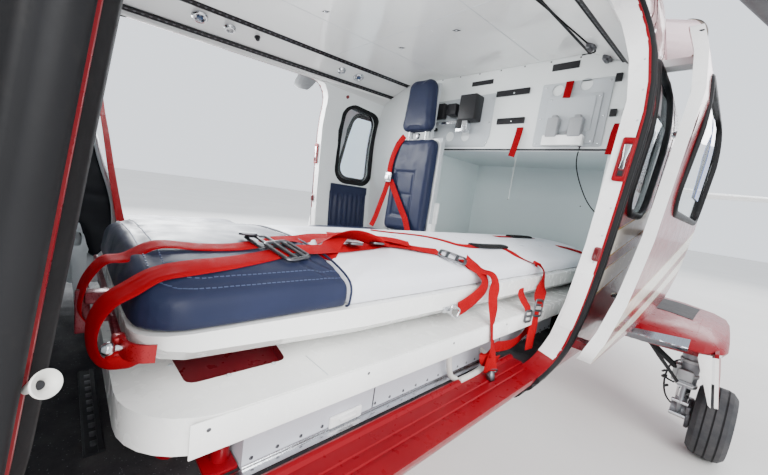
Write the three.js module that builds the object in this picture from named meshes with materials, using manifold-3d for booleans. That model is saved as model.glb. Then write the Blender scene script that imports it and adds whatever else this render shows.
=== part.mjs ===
// Twin-engine air ambulance helicopter on its wheels, with both cabin doors slid back and a stretcher aboard.
// Millimetres. +Z is up from the ground, +Y runs aft from the nose, +X is the port side.
// Everything is laid out by station (distance aft of the nose); the group then moves the origin
// to the middle of the whole length at ground level.
import * as THREE from "three";
import Module from "manifold-3d";
import { mergeVertices } from "three/addons/utils/BufferGeometryUtils.js";

const wasm = await Module();
wasm.setup();

// Driving dimensions
const floorZ = 650; // cabin floor above the ground
const jamb = 3610; // station of the cabin door's aft jamb
const wall = 45; // thickness of the cabin wall and doors
const gap = 0.3; // between pieces that touch
const doorGap = 7; // round a hinged door
const rearWall = jamb + 438; // station of the cabin's aft wall
const noseWall = 990; // station of the instrument bulkhead
const bayWall = jamb + 960; // end of the bay behind the aft wall, which takes the stretcher's foot
const boomStart = 6450;
const boomEnd = 9900;
const tailEnd = 11440;
const mastStation = 3900;
const hubZ = 3080;
const rotorRadius = 5500;
const bladeChord = 335;
const bladeRest = THREE.MathUtils.degToRad(19); // first blade lies this far off the tail, to port
const wheelStation = 4960; // main wheels
const noseWheelStation = 1420;
const mainTyreRadius = 188;
const noseTyreRadius = 165;
const tailRotorStation = 10560;
const tailRotorZ = 1900;
const tailRotorRadius = 1000;

const palette = {
  red: [0x8f0f1a, 0.25, 0.0],
  white: [0xe9e9e6, 0.35, 0.0],
  panelGrey: [0xb9c2c0, 0.5, 0.0],
  floorGrey: [0x2b2e33, 0.9, 0.0],
  navy: [0x232f4d, 0.45, 0.0],
  black: [0x17181a, 0.6, 0.0],
  rubber: [0x303134, 0.85, 0.0],
  metal: [0xb4b7ba, 0.35, 0.9],
  darkMetal: [0x4a4b4e, 0.5, 0.8],
  glass: [0x9db4c4, 0.08, 0.0],
};
const materials = {};
for (const [name, [color, roughness, metalness]] of Object.entries(palette)) {
  materials[name] = new THREE.MeshStandardMaterial({ color, roughness, metalness });
}

// Closed three.js geometry to a solid that can be joined and cut, and back
function solid(geometry) {
  const bare = geometry.index ? geometry.toNonIndexed() : geometry.clone();
  const only = new THREE.BufferGeometry().setAttribute("position", bare.getAttribute("position"));
  const merged = mergeVertices(only, 1e-3);
  return new wasm.Manifold(
    new wasm.Mesh({
      numProp: 3,
      vertProperties: merged.attributes.position.array,
      triVerts: new Uint32Array(merged.index.array),
    }),
  );
}
function geometryOf(made) {
  const mesh = made.getMesh();
  const geometry = new THREE.BufferGeometry();
  geometry.setAttribute("position", new THREE.BufferAttribute(mesh.vertProperties, 3));
  geometry.setIndex(new THREE.BufferAttribute(mesh.triVerts, 1));
  return geometry;
}

const aircraft = new THREE.Group();
const place = new THREE.Group(); // carries the shift from station to row frame
aircraft.add(place);
function node(name, made, material) {
  const mesh = new THREE.Mesh(geometryOf(made), materials[material]);
  mesh.name = name;
  place.add(mesh);
}
const sides = [
  ["left", 1],
  ["right", -1],
];
function flip(made, side) {
  return side > 0 ? made : made.mirror([1, 0, 0]);
}

// Plain blocks, plates, rods and rings
function block(x0, x1, y0, y1, z0, z1) {
  const geometry = new THREE.BoxGeometry(x1 - x0, y1 - y0, z1 - z0);
  geometry.translate((x0 + x1) / 2, (y0 + y1) / 2, (z0 + z1) / 2);
  return solid(geometry);
}
function rounded(points, radius, steps = 5) {
  // corners become arcs; radius is one number or one for each corner
  const out = [];
  points.forEach((corner, i) => {
    const before = new THREE.Vector2(...points[(i + points.length - 1) % points.length]);
    const at = new THREE.Vector2(...corner);
    const after = new THREE.Vector2(...points[(i + 1) % points.length]);
    const r = Array.isArray(radius) ? radius[i] : radius;
    if (r <= 0) {
      out.push([at.x, at.y]);
      return;
    }
    const a = before.clone().sub(at).normalize();
    const b = after.clone().sub(at).normalize();
    const half = Math.acos(THREE.MathUtils.clamp(a.dot(b), -1, 1)) / 2;
    const middle = a.clone().add(b).normalize();
    const centre = at.clone().add(middle.multiplyScalar(r / Math.sin(half)));
    const from = at.clone().add(a.multiplyScalar(r / Math.tan(half))).sub(centre);
    const to = at.clone().add(b.multiplyScalar(r / Math.tan(half))).sub(centre);
    let start = from.angle();
    let turn = to.angle() - start;
    if (turn > Math.PI) turn -= 2 * Math.PI;
    if (turn < -Math.PI) turn += 2 * Math.PI;
    for (let k = 0; k <= steps; k++) {
      const t = start + (turn * k) / steps;
      out.push([centre.x + r * Math.cos(t), centre.y + r * Math.sin(t)]);
    }
  });
  return out;
}
function inset(points, d) {
  // a convex outline moved inwards by d (outwards when d is negative)
  const area = points.reduce((sum, p, i) => {
    const q = points[(i + 1) % points.length];
    return sum + p[0] * q[1] - q[0] * p[1];
  }, 0);
  const turn = area > 0 ? 1 : -1;
  return points.map((p, i) => {
    const a = points[(i + points.length - 1) % points.length];
    const b = points[(i + 1) % points.length];
    const u = new THREE.Vector2(p[0] - a[0], p[1] - a[1]).normalize();
    const v = new THREE.Vector2(b[0] - p[0], b[1] - p[1]).normalize();
    const nu = new THREE.Vector2(-u.y, u.x).multiplyScalar(turn);
    const nv = new THREE.Vector2(-v.y, v.x).multiplyScalar(turn);
    const bisector = nu.clone().add(nv).normalize();
    const reach = d / bisector.dot(nu);
    return [p[0] + bisector.x * reach, p[1] + bisector.y * reach];
  });
}
function extrude(points, depth) {
  const shape = new THREE.Shape(points.map((p) => new THREE.Vector2(...p)));
  return new THREE.ExtrudeGeometry(shape, { depth, bevelEnabled: false, steps: 1 });
}
// outline in (y, z), pushed along x
function plateX(points, x0, x1) {
  const geometry = extrude(points, x1 - x0);
  const swap = new THREE.Matrix4().set(0, 0, 1, x0, 1, 0, 0, 0, 0, 1, 0, 0, 0, 0, 0, 1);
  return solid(geometry.applyMatrix4(swap));
}
// outline in (x, y), pushed along z
function plateZ(points, z0, z1) {
  return solid(extrude(points, z1 - z0).translate(0, 0, z0));
}
// outline in (x, z), pushed along y
function plateY(points, y0, y1) {
  const geometry = extrude(points, y1 - y0);
  const swap = new THREE.Matrix4().set(1, 0, 0, 0, 0, 0, -1, y1, 0, 1, 0, 0, 0, 0, 0, 1);
  return solid(geometry.applyMatrix4(swap));
}
function rod(from, to, radius, sections = 14, endRadius = radius) {
  const a = new THREE.Vector3(...from);
  const b = new THREE.Vector3(...to);
  const geometry = new THREE.CylinderGeometry(endRadius, radius, a.distanceTo(b), sections);
  const turn = new THREE.Quaternion().setFromUnitVectors(
    new THREE.Vector3(0, 1, 0),
    b.clone().sub(a).normalize(),
  );
  geometry.applyQuaternion(turn);
  const middle = a.add(b).multiplyScalar(0.5);
  geometry.translate(middle.x, middle.y, middle.z);
  return solid(geometry);
}
function join(...parts) {
  return parts.reduce((all, part) => all.add(part));
}
// profile in (radius, height) turned about a line along x through (y, z)
function turned(profile, x, y, z, sections = 22) {
  const points = profile.map((p) => new THREE.Vector2(...p));
  const geometry = new THREE.LatheGeometry([...points, points[0]], sections);
  geometry.rotateZ(-Math.PI / 2);
  geometry.translate(x, y, z);
  const made = solid(geometry);
  return made;
}

// Skin through rings of points, closed at both ends
function skin(rings) {
  const count = rings[0].length;
  const positions = rings.flat(2);
  const index = [];
  for (let k = 0; k + 1 < rings.length; k++) {
    for (let i = 0; i < count; i++) {
      const j = (i + 1) % count;
      const a = k * count + i;
      const b = k * count + j;
      const c = a + count;
      const d = b + count;
      index.push(a, b, c, b, d, c);
    }
  }
  for (const [k, side] of [
    [0, -1],
    [rings.length - 1, 1],
  ]) {
    const ring = rings[k];
    const middle = [0, 1, 2].map((n) => ring.reduce((sum, p) => sum + p[n], 0) / count);
    const centre = positions.length / 3;
    positions.push(...middle);
    for (let i = 0; i < count; i++) {
      const a = k * count + i;
      const b = k * count + ((i + 1) % count);
      if (side > 0) index.push(a, b, centre);
      else index.push(b, a, centre);
    }
  }
  const geometry = new THREE.BufferGeometry();
  geometry.setAttribute("position", new THREE.Float32BufferAttribute(positions, 3));
  geometry.setIndex(index);
  const made = solid(geometry);
  if (made.volume() > 0) return made;
  const back = index.slice();
  for (let i = 0; i < back.length; i += 3) [back[i + 1], back[i + 2]] = [back[i + 2], back[i + 1]];
  geometry.setIndex(back);
  return solid(geometry);
}

// Body sections: full rounded boxes whose upper and lower halves bulge by their own exponents,
// and whose sides lean in towards the belly
const upperBulge = 2.4;
const lowerBulge = 5;
const lean = 0.08;
function bodyRing({ station, half, bottom, widest, top }, grow, around) {
  const ring = [];
  for (let i = 0; i < around; i++) {
    const t = (2 * Math.PI * (i + 0.5)) / around;
    const bulge = Math.sin(t) > 0 ? upperBulge : lowerBulge;
    const high = Math.sin(t) > 0 ? top + grow - widest : widest - bottom + grow;
    const rise = Math.sign(Math.sin(t)) * Math.abs(Math.sin(t)) ** (2 / bulge);
    const inwards = rise < 0 ? 1 + lean * rise : 1;
    const x = Math.sign(Math.cos(t)) * Math.abs(Math.cos(t)) ** (2 / bulge) * (half * inwards + grow);
    const z = widest + rise * high;
    ring.push([x, station, z]);
  }
  return ring;
}
function body(table, grow = 0, around = 40) {
  return skin(table.map((row) => bodyRing(row, grow, around)));
}
const columns = ["station", "half", "bottom", "widest", "top"];
function rows(table) {
  return table.map((row) => Object.fromEntries(columns.map((name, i) => [name, row[i]])));
}
// station, half width, bottom, widest height, top
const hullTable = rows([
  [0, 60, 880, 930, 985],
  [110, 215, 745, 935, 1110],
  [330, 385, 610, 965, 1245],
  [650, 530, 510, 1020, 1370],
  [950, 630, 460, 1090, 1455],
  [1230, 708, 435, 1170, 1672],
  [1550, 765, 422, 1260, 1868],
  [1900, 800, 420, 1330, 1985],
  [2350, 812, 420, 1375, 2035],
  [4100, 812, 420, 1400, 2050],
  [4700, 785, 445, 1430, 2050],
  [5300, 680, 570, 1480, 2035],
  [5900, 510, 830, 1545, 1995],
  [boomStart, 365, 1090, 1595, 1950],
]);
const boomTable = rows([
  [boomStart, 365, 1090, 1595, 1950],
  [7150, 285, 1270, 1625, 1905],
  [8300, 225, 1400, 1660, 1890],
  [boomEnd, 170, 1540, 1710, 1880],
]);
const cowlTable = rows([
  [2060, 240, 1850, 1900, 2062],
  [2450, 450, 1850, 1930, 2215],
  [2950, 570, 1850, 1950, 2410],
  [3500, 620, 1850, 1960, 2545],
  [4600, 620, 1850, 1960, 2600],
  [5300, 560, 1850, 1950, 2540],
  [5900, 430, 1850, 1930, 2375],
  [6450, 270, 1850, 1915, 2120],
  [6800, 130, 1850, 1890, 1975],
]);
const hull = body(hullTable);
const hullNear = body(hullTable, gap); // what lies on the hull is cut by this
const hullInside = body(hullTable, -wall);
const boomNear = body(boomTable, gap, 28);

// Openings in the sides, outlines in (station, height)
const cabinOpening = [
  [jamb - 1200, floorZ],
  [jamb, floorZ],
  [jamb, floorZ + 1060],
  [jamb - 1050, floorZ + 1012],
  [jamb - 1097, floorZ + 560],
  [jamb - 1134, floorZ + 268],
];
const cabinCorners = [50, 100, 110, 120, 400, 400];
const cockpitOpening = [
  [1265, 655],
  [2290, 655],
  [2400, 1735],
  [1800, 1760],
  [1265, 1330],
];
const cockpitCorners = [50, 50, 60, 60, 70];
const cockpitWindow = [
  [1360, 1270],
  [2250, 1215],
  [2300, 1660],
  [1815, 1675],
  [1360, 1335],
];
const cockpitWindowCorners = [28, 60, 60, 60, 40];
const screenOpening = [
  [noseWall + 20, 1440],
  [1190, 1395],
  [1780, 1850],
  [1700, 2200],
  [noseWall + 20, 2200],
];
const cabinWindow = [
  [jamb - 1000, floorZ + 480],
  [jamb - 120, floorZ + 480],
  [jamb - 120, floorZ + 950],
  [jamb - 900, floorZ + 905],
];
const rearWindow = [
  [jamb + 132, floorZ + 520],
  [jamb + 400, floorZ + 520],
  [jamb + 412, floorZ + 965],
  [jamb + 146, floorZ + 985],
];
const baggageOpening = [
  [4960, 1010],
  [5660, 1080],
  [5660, 1560],
  [4960, 1560],
];
const screenPost = 26; // half the width of the post between the windscreens
const reach = 1200; // past the widest part of the hull

function through(outline, corner, side, from = 250) {
  return flip(plateX(rounded(outline, corner), from, reach), side);
}

// The hollow of cockpit and cabin: under the liner, above the floor
const ceilingRise = 0.058; // the liner climbs this much for each step aft
const linerZ = (station) => floorZ + 1134 + (station - jamb) * ceilingRise;
const cavityOutline = [
  [noseWall, floorZ],
  [rearWall, floorZ],
  [rearWall, linerZ(rearWall)],
  [2480, linerZ(2480)],
  [2330, 2300],
  [noseWall, 2300],
];
const cavity = hullInside.intersect(plateX(cavityOutline, -reach, reach));
const stretcherBay = block(-255, 640, rearWall - 2, bayWall, floorZ, floorZ + 755);
const baggageTaper = 12.9; // the hull narrows this many degrees behind the cabin
const baggageHinge = 739; // the skin's distance from the middle at the door's front edge
function acrossSkin(made) {
  // from a plate square to the middle plane to one square to the tapering skin
  const [y] = baggageOpening[0];
  return made.translate([-baggageHinge, -y, 0]).rotate([0, 0, baggageTaper]).translate([baggageHinge, y, 0]);
}
const baggageBay = acrossSkin(plateX(rounded(baggageOpening, 50), 190, reach));

let cabin = hull.subtract(cavity);
for (const [, side] of sides) {
  cabin = cabin.subtract(through(cabinOpening, cabinCorners, side));
  cabin = cabin.subtract(through(inset(cockpitOpening, -doorGap), cockpitCorners, side));
  cabin = cabin.subtract(through(screenOpening, 0, side, screenPost));
  cabin = cabin.subtract(through(rearWindow, 70, side));
}
// A hinge is a stack of three knuckles on an upright axis: the middle one is the door's
function hinge(side, x, y, z, towards, reachIn) {
  const knuckle = (z0, z1, y0, y1) =>
    join(
      rod([x, y, z0], [x, y, z1], 8, 12),
      block(x - reachIn, x, Math.min(y0, y1), Math.max(y0, y1), z0, z1),
    );
  const high = 24;
  const fixed = join(
    knuckle(z - 1.5 * high, z - high / 2 - gap, y - 3, y - towards),
    knuckle(z + high / 2 + gap, z + 1.5 * high, y - 3, y - towards),
  );
  const moving = knuckle(z - high / 2, z + high / 2, y, y + towards);
  return { fixed: flip(fixed, side), moving: flip(moving, side) };
}
const cockpitHinge = { x: 726, y: 1262, heights: [880, 1240], leaf: 24, reachIn: 62 };
const baggageHingeAt = { x: 754, y: 4962, heights: [1190, 1440], leaf: 22, reachIn: 42 };
function hinges({ x, y, heights, leaf, reachIn }, side) {
  const made = heights.map((z) => hinge(side, x, y, z, leaf, reachIn));
  return { fixed: join(...made.map((h) => h.fixed)), moving: join(...made.map((h) => h.moving)) };
}
function slice(made, from, to) {
  return made.intersect(block(-2000, 2000, from, to, -100, 4000));
}
let frame = slice(cabin, noseWall + gap, rearWall - gap);
const hullHollow = hullInside.intersect(plateX(cavityOutline, -reach, reach));
for (const [, side] of sides) frame = frame.add(hinges(cockpitHinge, side).fixed.subtract(hullHollow));
const belowFloor = block(-2000, 2000, -100, 12000, 0, floorZ - gap / 2);
const aboveFloor = block(-2000, 2000, -100, 12000, floorZ + gap / 2, 4000);
const noseGearWell = block(-95, 95, 1180, 1610, 300, 560);
node("nose_cone", slice(hull, -10, noseWall), "red");
node("belly_and_floor", frame.intersect(belowFloor).subtract(noseGearWell), "red");
node("cabin_frame", frame.intersect(aboveFloor), "red");
const aftHull = slice(hull, rearWall, boomStart)
  .subtract(stretcherBay)
  .subtract(baggageBay)
  .add(hinges(baggageHingeAt, 1).fixed);
node("aft_fuselage", aftHull, "red");

const boomHollow = slice(body(boomTable, -14, 28), boomStart - 10, boomEnd - 30);
const boomShell = slice(body(boomTable, 0, 28), boomStart + gap, boomEnd).subtract(boomHollow);

// A wing, fin or blade section in (chordwise, thickness), nose first
function foil(chord, thick, steps = 7) {
  const upper = [];
  const lower = [];
  for (let i = 0; i <= steps; i++) {
    const c = (1 - Math.cos((Math.PI * i) / steps)) / 2;
    const half = thick * 1.05 * (1.48 * Math.sqrt(c) - 0.63 * c - 1.7 * c ** 2 + 1.0 * c ** 3 - 0.13 * c ** 4);
    upper.push([c * chord, Math.max(half, 1.2)]);
    lower.push([c * chord, -Math.max(half, 1.2)]);
  }
  return [...upper, ...lower.reverse()];
}

// Fins: rows of leading edge station, height, chord, thickness
const finTable = [
  [9700, 1560, 1290, 130],
  [9850, 1800, 1150, 130],
  [10420, 2470, 780, 85],
  [10920, 3190, 490, 50],
  [10990, 3235, 400, 30],
];
const ventralTable = [
  [9940, 1700, 860, 100],
  [10180, 1250, 700, 70],
  [10420, 830, 560, 45],
];
function upright(table) {
  return skin(table.map(([lead, z, chord, thick]) => foil(chord, thick).map(([c, t]) => [t, lead + c, z])));
}
const tailSkid = rod([0, 10500, 860], [0, 10960, 800], 14);
const finTip = plateX(
  rounded(
    [
      [11120, 3040],
      [tailEnd, 3190],
      [tailEnd, 3250],
      [11120, 3250],
    ],
    10,
  ),
  -9,
  9,
);
const gearboxPod = rod([-110, tailRotorStation, tailRotorZ], [150, tailRotorStation, tailRotorZ], 115, 20, 90);
const fin = join(upright(finTable), upright(ventralTable), tailSkid, finTip, gearboxPod);
node("tail_fin", fin.subtract(boomNear), "red");

// Stabilisers: rows of reach, leading edge station, height, chord, thickness
const stabiliserTable = [
  [60, 8330, 1690, 700, 90],
  [1080, 8480, 1700, 520, 60],
  [1400, 8540, 1702, 420, 46],
  [1440, 8600, 1702, 300, 22],
];
function wingSkin(table, grow = 0) {
  const half = table.map(([x, lead, z, chord, thick]) =>
    foil(chord + 2 * grow, thick + 2 * grow).map(([c, t]) => [x, lead - grow + c, z + t]),
  );
  const far = half.map((ring) => ring.map(([x, y, z]) => [-x, y, z])).reverse();
  return skin([...far, ...half]);
}
node("stabiliser", wingSkin(stabiliserTable), "white");
node("tail_boom", boomShell.subtract(wingSkin(stabiliserTable, gap)), "red");

// Engine deck: a front fairing and the engine cowling, with intakes and room for the mast
const cowlOut = body(cowlTable, 0, 32);
const cowlIn = body(cowlTable, -28, 32);
const mastHole = rod([0, mastStation, 2200], [0, mastStation, 2800], 105, 24);
const cowlSplit = 3300;
let cowl = cowlOut.subtract(cowlIn).subtract(hullNear).subtract(boomNear).subtract(mastHole);
const intakeOutline = rounded(
  [
    [3560, 2130],
    [3880, 2130],
    [3850, 2330],
    [3600, 2330],
  ],
  45,
);
const exhaustPath = [
  [330, 4930, 2260],
  [430, 5150, 2310],
  [570, 5420, 2370],
];
for (const [, side] of sides) {
  cowl = cowl.subtract(flip(plateX(intakeOutline, 300, reach), side));
  const hole = join(
    rod([285, 4830, 2238], exhaustPath[1], 130, 20),
    rod([420, 5130, 2306], [640, 5555, 2400], 134, 20, 142),
  );
  cowl = cowl.subtract(flip(hole, side));
}
node("front_fairing", slice(cowl, 2000, cowlSplit - gap), "red");
const rearCowl = slice(cowl, cowlSplit, 6900).decompose();
rearCowl.sort((a, b) => b.volume() - a.volume());
node("engine_cowling", rearCowl[0], "red");
const gearbox = block(-260, 260, mastStation - 260, mastStation + 300, 2010, 2420);
const gearboxTop = rod([0, mastStation, 2400], [0, mastStation, 2500], 150, 20, 110);
let engines = join(gearbox, gearboxTop);
for (const [, side] of sides) {
  const engine = block(80, 440, 4260, 4980, 2040, 2335);
  const link = block(60, 260, 4150, 4300, 2100, 2300);
  engines = engines.add(flip(join(engine, link), side));
}
for (const [, side] of sides) {
  const pipe = join(
    rod(exhaustPath[0], exhaustPath[1], 118, 20),
    rod(exhaustPath[1], exhaustPath[2], 118, 20, 128),
  );
  const bore = rod([402, 5096, 2298], [602, 5482, 2384], 104, 20, 116);
  engines = engines.add(flip(pipe.subtract(bore), side));
}
node("engines_and_gearbox", engines.subtract(hullNear), "darkMetal");

// Rotor: mast and hub with four grips, four drooping blades
const bladeDroop = 0.034;
function aroundMast(made, turn) {
  return made
    .translate([0, -mastStation, 0])
    .rotate([0, 0, turn])
    .translate([0, mastStation, 0]);
}
const bladeTurns = [0, 1, 2, 3].map((n) => n * 90 - THREE.MathUtils.radToDeg(bladeRest));
let hub = join(
  rod([0, mastStation, 2500 + gap], [0, mastStation, hubZ - 100], 62, 20, 52),
  rod([0, mastStation, hubZ - 110], [0, mastStation, hubZ - 60], 120, 20),
  rod([0, mastStation, hubZ - 60], [0, mastStation, hubZ + 60], 200, 24, 190),
  rod([0, mastStation, hubZ + 60], [0, mastStation, hubZ + 165], 120, 20, 70),
);
const gripEnd = 860;
for (const turn of bladeTurns) {
  const arm = block(-62, 62, mastStation + 120, mastStation + 520, hubZ - 62, hubZ + 34);
  const upperPlate = block(-80, 80, mastStation + 480, mastStation + gripEnd, hubZ + 5.2, hubZ + 28);
  const lowerPlate = block(-80, 80, mastStation + 480, mastStation + gripEnd, hubZ - 70, hubZ - 52);
  const damper = rod([112, mastStation + 230, hubZ], [112, mastStation + 560, hubZ - 14], 30, 12);
  const lug = block(40, 112, mastStation + 490, mastStation + 550, hubZ - 40, hubZ + 8);
  hub = hub.add(aroundMast(join(arm, upperPlate, lowerPlate, damper, lug), turn));
}
node("rotor_hub", hub, "darkMetal");
// radius, chord, thickness, sweep of the leading edge
const bladeTable = [
  [560, 120, 40, 60],
  [820, 130, 36, 55],
  [1150, bladeChord, 44, 0],
  [5150, bladeChord, 34, 0],
  [5380, 290, 26, 30],
  [rotorRadius, 190, 14, 110],
];
const bladeRoot = 560;
function blade() {
  const rings = bladeTable.map(([r, chord, thick, sweep]) => {
    const lead = -bladeChord * 0.32 + sweep;
    const drop = bladeDroop * (r - bladeRoot) + 16;
    return foil(chord, thick, 6).map(([c, t]) => [lead + c, mastStation + r, hubZ + t - drop]);
  });
  return skin(rings);
}
bladeTurns.forEach((turn, n) => {
  node(`rotor_blade_${n + 1}`, aroundMast(blade(), turn), "black");
});

// Tail rotor on the port side of the fin
const tailHubX = 150;
let tailRotor = join(
  rod([tailHubX + gap, tailRotorStation, tailRotorZ], [265, tailRotorStation, tailRotorZ], 45, 16),
  rod([215, tailRotorStation, tailRotorZ], [262, tailRotorStation, tailRotorZ], 85, 18),
);
const tailBlade = skin(
  [
    [70, 90, 26],
    [220, 200, 24],
    [tailRotorRadius - 60, 200, 16],
    [tailRotorRadius, 150, 8],
  ].map(([r, chord, thick]) =>
    foil(chord, thick, 5).map(([c, t]) => [239 + t, tailRotorStation - chord * 0.35 + c, tailRotorZ + r]),
  ),
);
for (const turn of [24, 204]) {
  const made = tailBlade
    .translate([0, -tailRotorStation, -tailRotorZ])
    .rotate([turn, 0, 0])
    .translate([0, tailRotorStation, tailRotorZ]);
  tailRotor = tailRotor.add(made);
}
node("tail_rotor", tailRotor, "white");

// Stub wings that carry the main gear: rows of reach, leading edge, chord, height, thickness
const stubTable = [
  [560, 4600, 1600, 600, 165],
  [860, 4640, 1480, 597, 155],
  [1040, 4700, 1300, 590, 130],
  [1105, 4800, 1080, 585, 90],
  [1125, 4900, 800, 582, 45],
];
const legX = 1005;
const wheelX = 1135;
const axleZ = mainTyreRadius;
// gear door in (station from the wheel, height from its hinge); it leans out and clears the tyre
const gearDoorLean = 10;
const gearDoorOutline = [
  [-250, 0],
  [190, 0],
  [190, -206],
  [-100, -212],
  [-195, -262],
  [-240, -262],
];
const wheelWell = block(930, 1075, wheelStation - 110, wheelStation + 260, 400, 580);
for (const [name, side] of sides) {
  const stub = skin(
    stubTable.map(([x, lead, chord, z, thick]) => foil(chord, thick, 8).map(([c, t]) => [x, lead + c, z + t])),
  );
  const gearDoor = plateX(rounded(gearDoorOutline, 18, 3), 0, 14)
    .rotate([0, -gearDoorLean, 0])
    .translate([1078, wheelStation, 600]);
  node(`stub_wing_${name}`, flip(stub.subtract(wheelWell).add(gearDoor), side).subtract(hullNear), "red");
  const leg = join(
    rod([legX, wheelStation + 10, 580 - gap], [legX, wheelStation + 4, 330], 42, 16),
    rod([legX, wheelStation + 4, 340], [legX, wheelStation, axleZ - 20], 27, 14),
    rod([legX, wheelStation, axleZ], [wheelX + 50, wheelStation, axleZ], 24, 14),
    rod([legX - 35, wheelStation, axleZ], [legX + 40, wheelStation, axleZ], 44, 14),
    rod([legX, wheelStation - 60, 350], [legX, wheelStation - 95, 262], 11, 10),
    rod([legX, wheelStation - 95, 266], [legX, wheelStation - 30, 178], 11, 10),
    block(legX - 30, legX + 30, wheelStation - 72, wheelStation, 336, 366),
    block(legX - 25, legX + 25, wheelStation - 45, wheelStation, 168, 200),
    rod([legX, wheelStation, 372], [790, wheelStation - 130, 560], 15, 12),
  );
  const clear = join(flip(stub.subtract(wheelWell), 1).add(gearDoor), hull);
  const legs = leg.subtract(clear).decompose();
  legs.sort((a, b) => b.volume() - a.volume());
  node(`main_gear_leg_${name}`, flip(legs[0], side), "metal");
  wheel(`main`, name, side * wheelX, wheelStation, mainTyreRadius, 76, 95, 24);
}
// A wheel is a rim with a bore and a tyre round it; half widths
function wheel(kind, name, x, y, radius, half, rimRadius, bore) {
  const rim = turned(
    [
      [bore + 0.6, -half * 0.7],
      [bore + 26, -half * 0.7],
      [bore + 30, -half * 0.25],
      [rimRadius - 14, -half * 0.3],
      [rimRadius - 8, -half * 0.8],
      [rimRadius, -half * 0.8],
      [rimRadius, half * 0.8],
      [rimRadius - 8, half * 0.8],
      [rimRadius - 14, half * 0.3],
      [bore + 30, half * 0.25],
      [bore + 26, half * 0.7],
      [bore + 0.6, half * 0.7],
    ],
    x,
    y,
    radius,
  );
  const shoulder = radius - rimRadius;
  const tyre = turned(
    [
      [rimRadius + gap, -half * 0.78],
      [rimRadius + shoulder * 0.3, -half],
      [rimRadius + shoulder * 0.68, -half * 0.97],
      [radius - 7, -half * 0.72],
      [radius, -half * 0.45],
      [radius, half * 0.45],
      [radius - 7, half * 0.72],
      [rimRadius + shoulder * 0.68, half * 0.97],
      [rimRadius + shoulder * 0.3, half],
      [rimRadius + gap, half * 0.78],
    ],
    x,
    y,
    radius,
  );
  const suffix = name ? `_${name}` : "";
  node(`${kind}_wheel${suffix}`, rim, "metal");
  node(`${kind}_tyre${suffix}`, tyre, "rubber");
}

// Nose gear: fixed leg, swivelling fork, wheel
const forkTop = 375;
const forkX = 68;
const noseLeg = join(
  rod([0, noseWheelStation, forkTop + gap], [0, noseWheelStation, 580], 38, 16),
  rod([0, noseWheelStation, 440], [0, noseWheelStation - 190, 580], 14, 12),
);
const roomInWell = block(-94, 94, 1181, 1609, 300, 560 - gap);
node("nose_gear_leg", noseLeg.subtract(hullNear.subtract(roomInWell)), "metal");
const trail = 45; // the axle lies this far behind the swivel
const noseAxle = noseWheelStation + trail;
let fork = join(
  rod([0, noseWheelStation, 350], [0, noseWheelStation, forkTop], 40, 16),
  block(-forkX - 9, forkX + 9, noseWheelStation - 32, noseWheelStation + 40, 345, 362),
);
for (const side of [-1, 1]) {
  const blade = plateX(
    [
      [noseWheelStation - 26, 356],
      [noseAxle - 24, noseTyreRadius - 20],
      [noseAxle + 24, noseTyreRadius - 20],
      [noseWheelStation + 36, 356],
    ],
    forkX - 8,
    forkX + 8,
  );
  const stubAxle = rod([side * (forkX + 14), noseAxle, noseTyreRadius], [side * 40, noseAxle, noseTyreRadius], 14, 14);
  fork = fork.add(flip(blade, side)).add(stubAxle);
}
const axlePin = rod([-46, noseAxle, noseTyreRadius], [46, noseAxle, noseTyreRadius], 14, 14);
node("nose_fork", fork.add(axlePin), "metal");
wheel("nose", "", 0, noseAxle, noseTyreRadius, 52, 78, 14);

// Doors: the same wall as the hull, cut to the opening
const doorInside = body(hullTable, -wall + 4);
const shellWall = hull.subtract(doorInside);
const doorStandOff = 100;
const doorBack = 1210;
const doorRise = 62; // the rails climb as they run aft
const slidDoorThick = 30;
const slidInside = body(hullTable, -slidDoorThick);
function pane(outline, corner, side, from = 250) {
  // glass lies in its opening, a little under the outer face
  const glass = body(hullTable, -8).subtract(body(hullTable, -14));
  return glass.intersect(through(inset(outline, 0.4), corner, side, from));
}
for (const [name, side] of sides) {
  const cockpitDoor = shellWall
    .intersect(through(cockpitOpening, cockpitCorners, side))
    .subtract(through(cockpitWindow, cockpitWindowCorners, side))
    .add(hinges(cockpitHinge, side).moving.subtract(doorInside));
  node(`cockpit_door_${name}`, cockpitDoor, "red");
  node(`cockpit_door_glass_${name}`, pane(cockpitWindow, cockpitWindowCorners, side), "glass");
  const slide = [side * doorStandOff, doorBack, doorRise];
  const cabinDoor = hull
    .subtract(slidInside)
    .intersect(through(inset(cabinOpening, -12), cabinCorners, side))
    .subtract(through(cabinWindow, 70, side));
  const arms = join(
    block(700, 872, jamb + 40, jamb + 85, 732, 758),
    block(700, 880, jamb + 1080, jamb + 1150, 1085, 1120),
    block(700, 868, jamb + 260, jamb + 310, 1640, 1662),
  ).subtract(hullNear);
  const reached = flip(arms, side).intersect(body(hullTable, -8).translate(slide));
  const slid = cabinDoor.translate(slide).add(reached);
  node(`cabin_door_${name}`, slid, "red");
  node(`cabin_door_glass_${name}`, pane(cabinWindow, 70, side).translate(slide), "glass");
  node(`rear_window_${name}`, pane(rearWindow, 70, side), "glass");
  node(`windscreen_${name}`, pane(screenOpening, 0, side, screenPost + 0.4), "glass");
}
const baggageDoor = hull
  .subtract(body(hullTable, -22))
  .intersect(acrossSkin(plateX(rounded(inset(baggageOpening, 6), 45), 190, reach)))
  .add(hinges(baggageHingeAt, 1).moving);
node("baggage_door", baggageDoor, "red");

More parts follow.
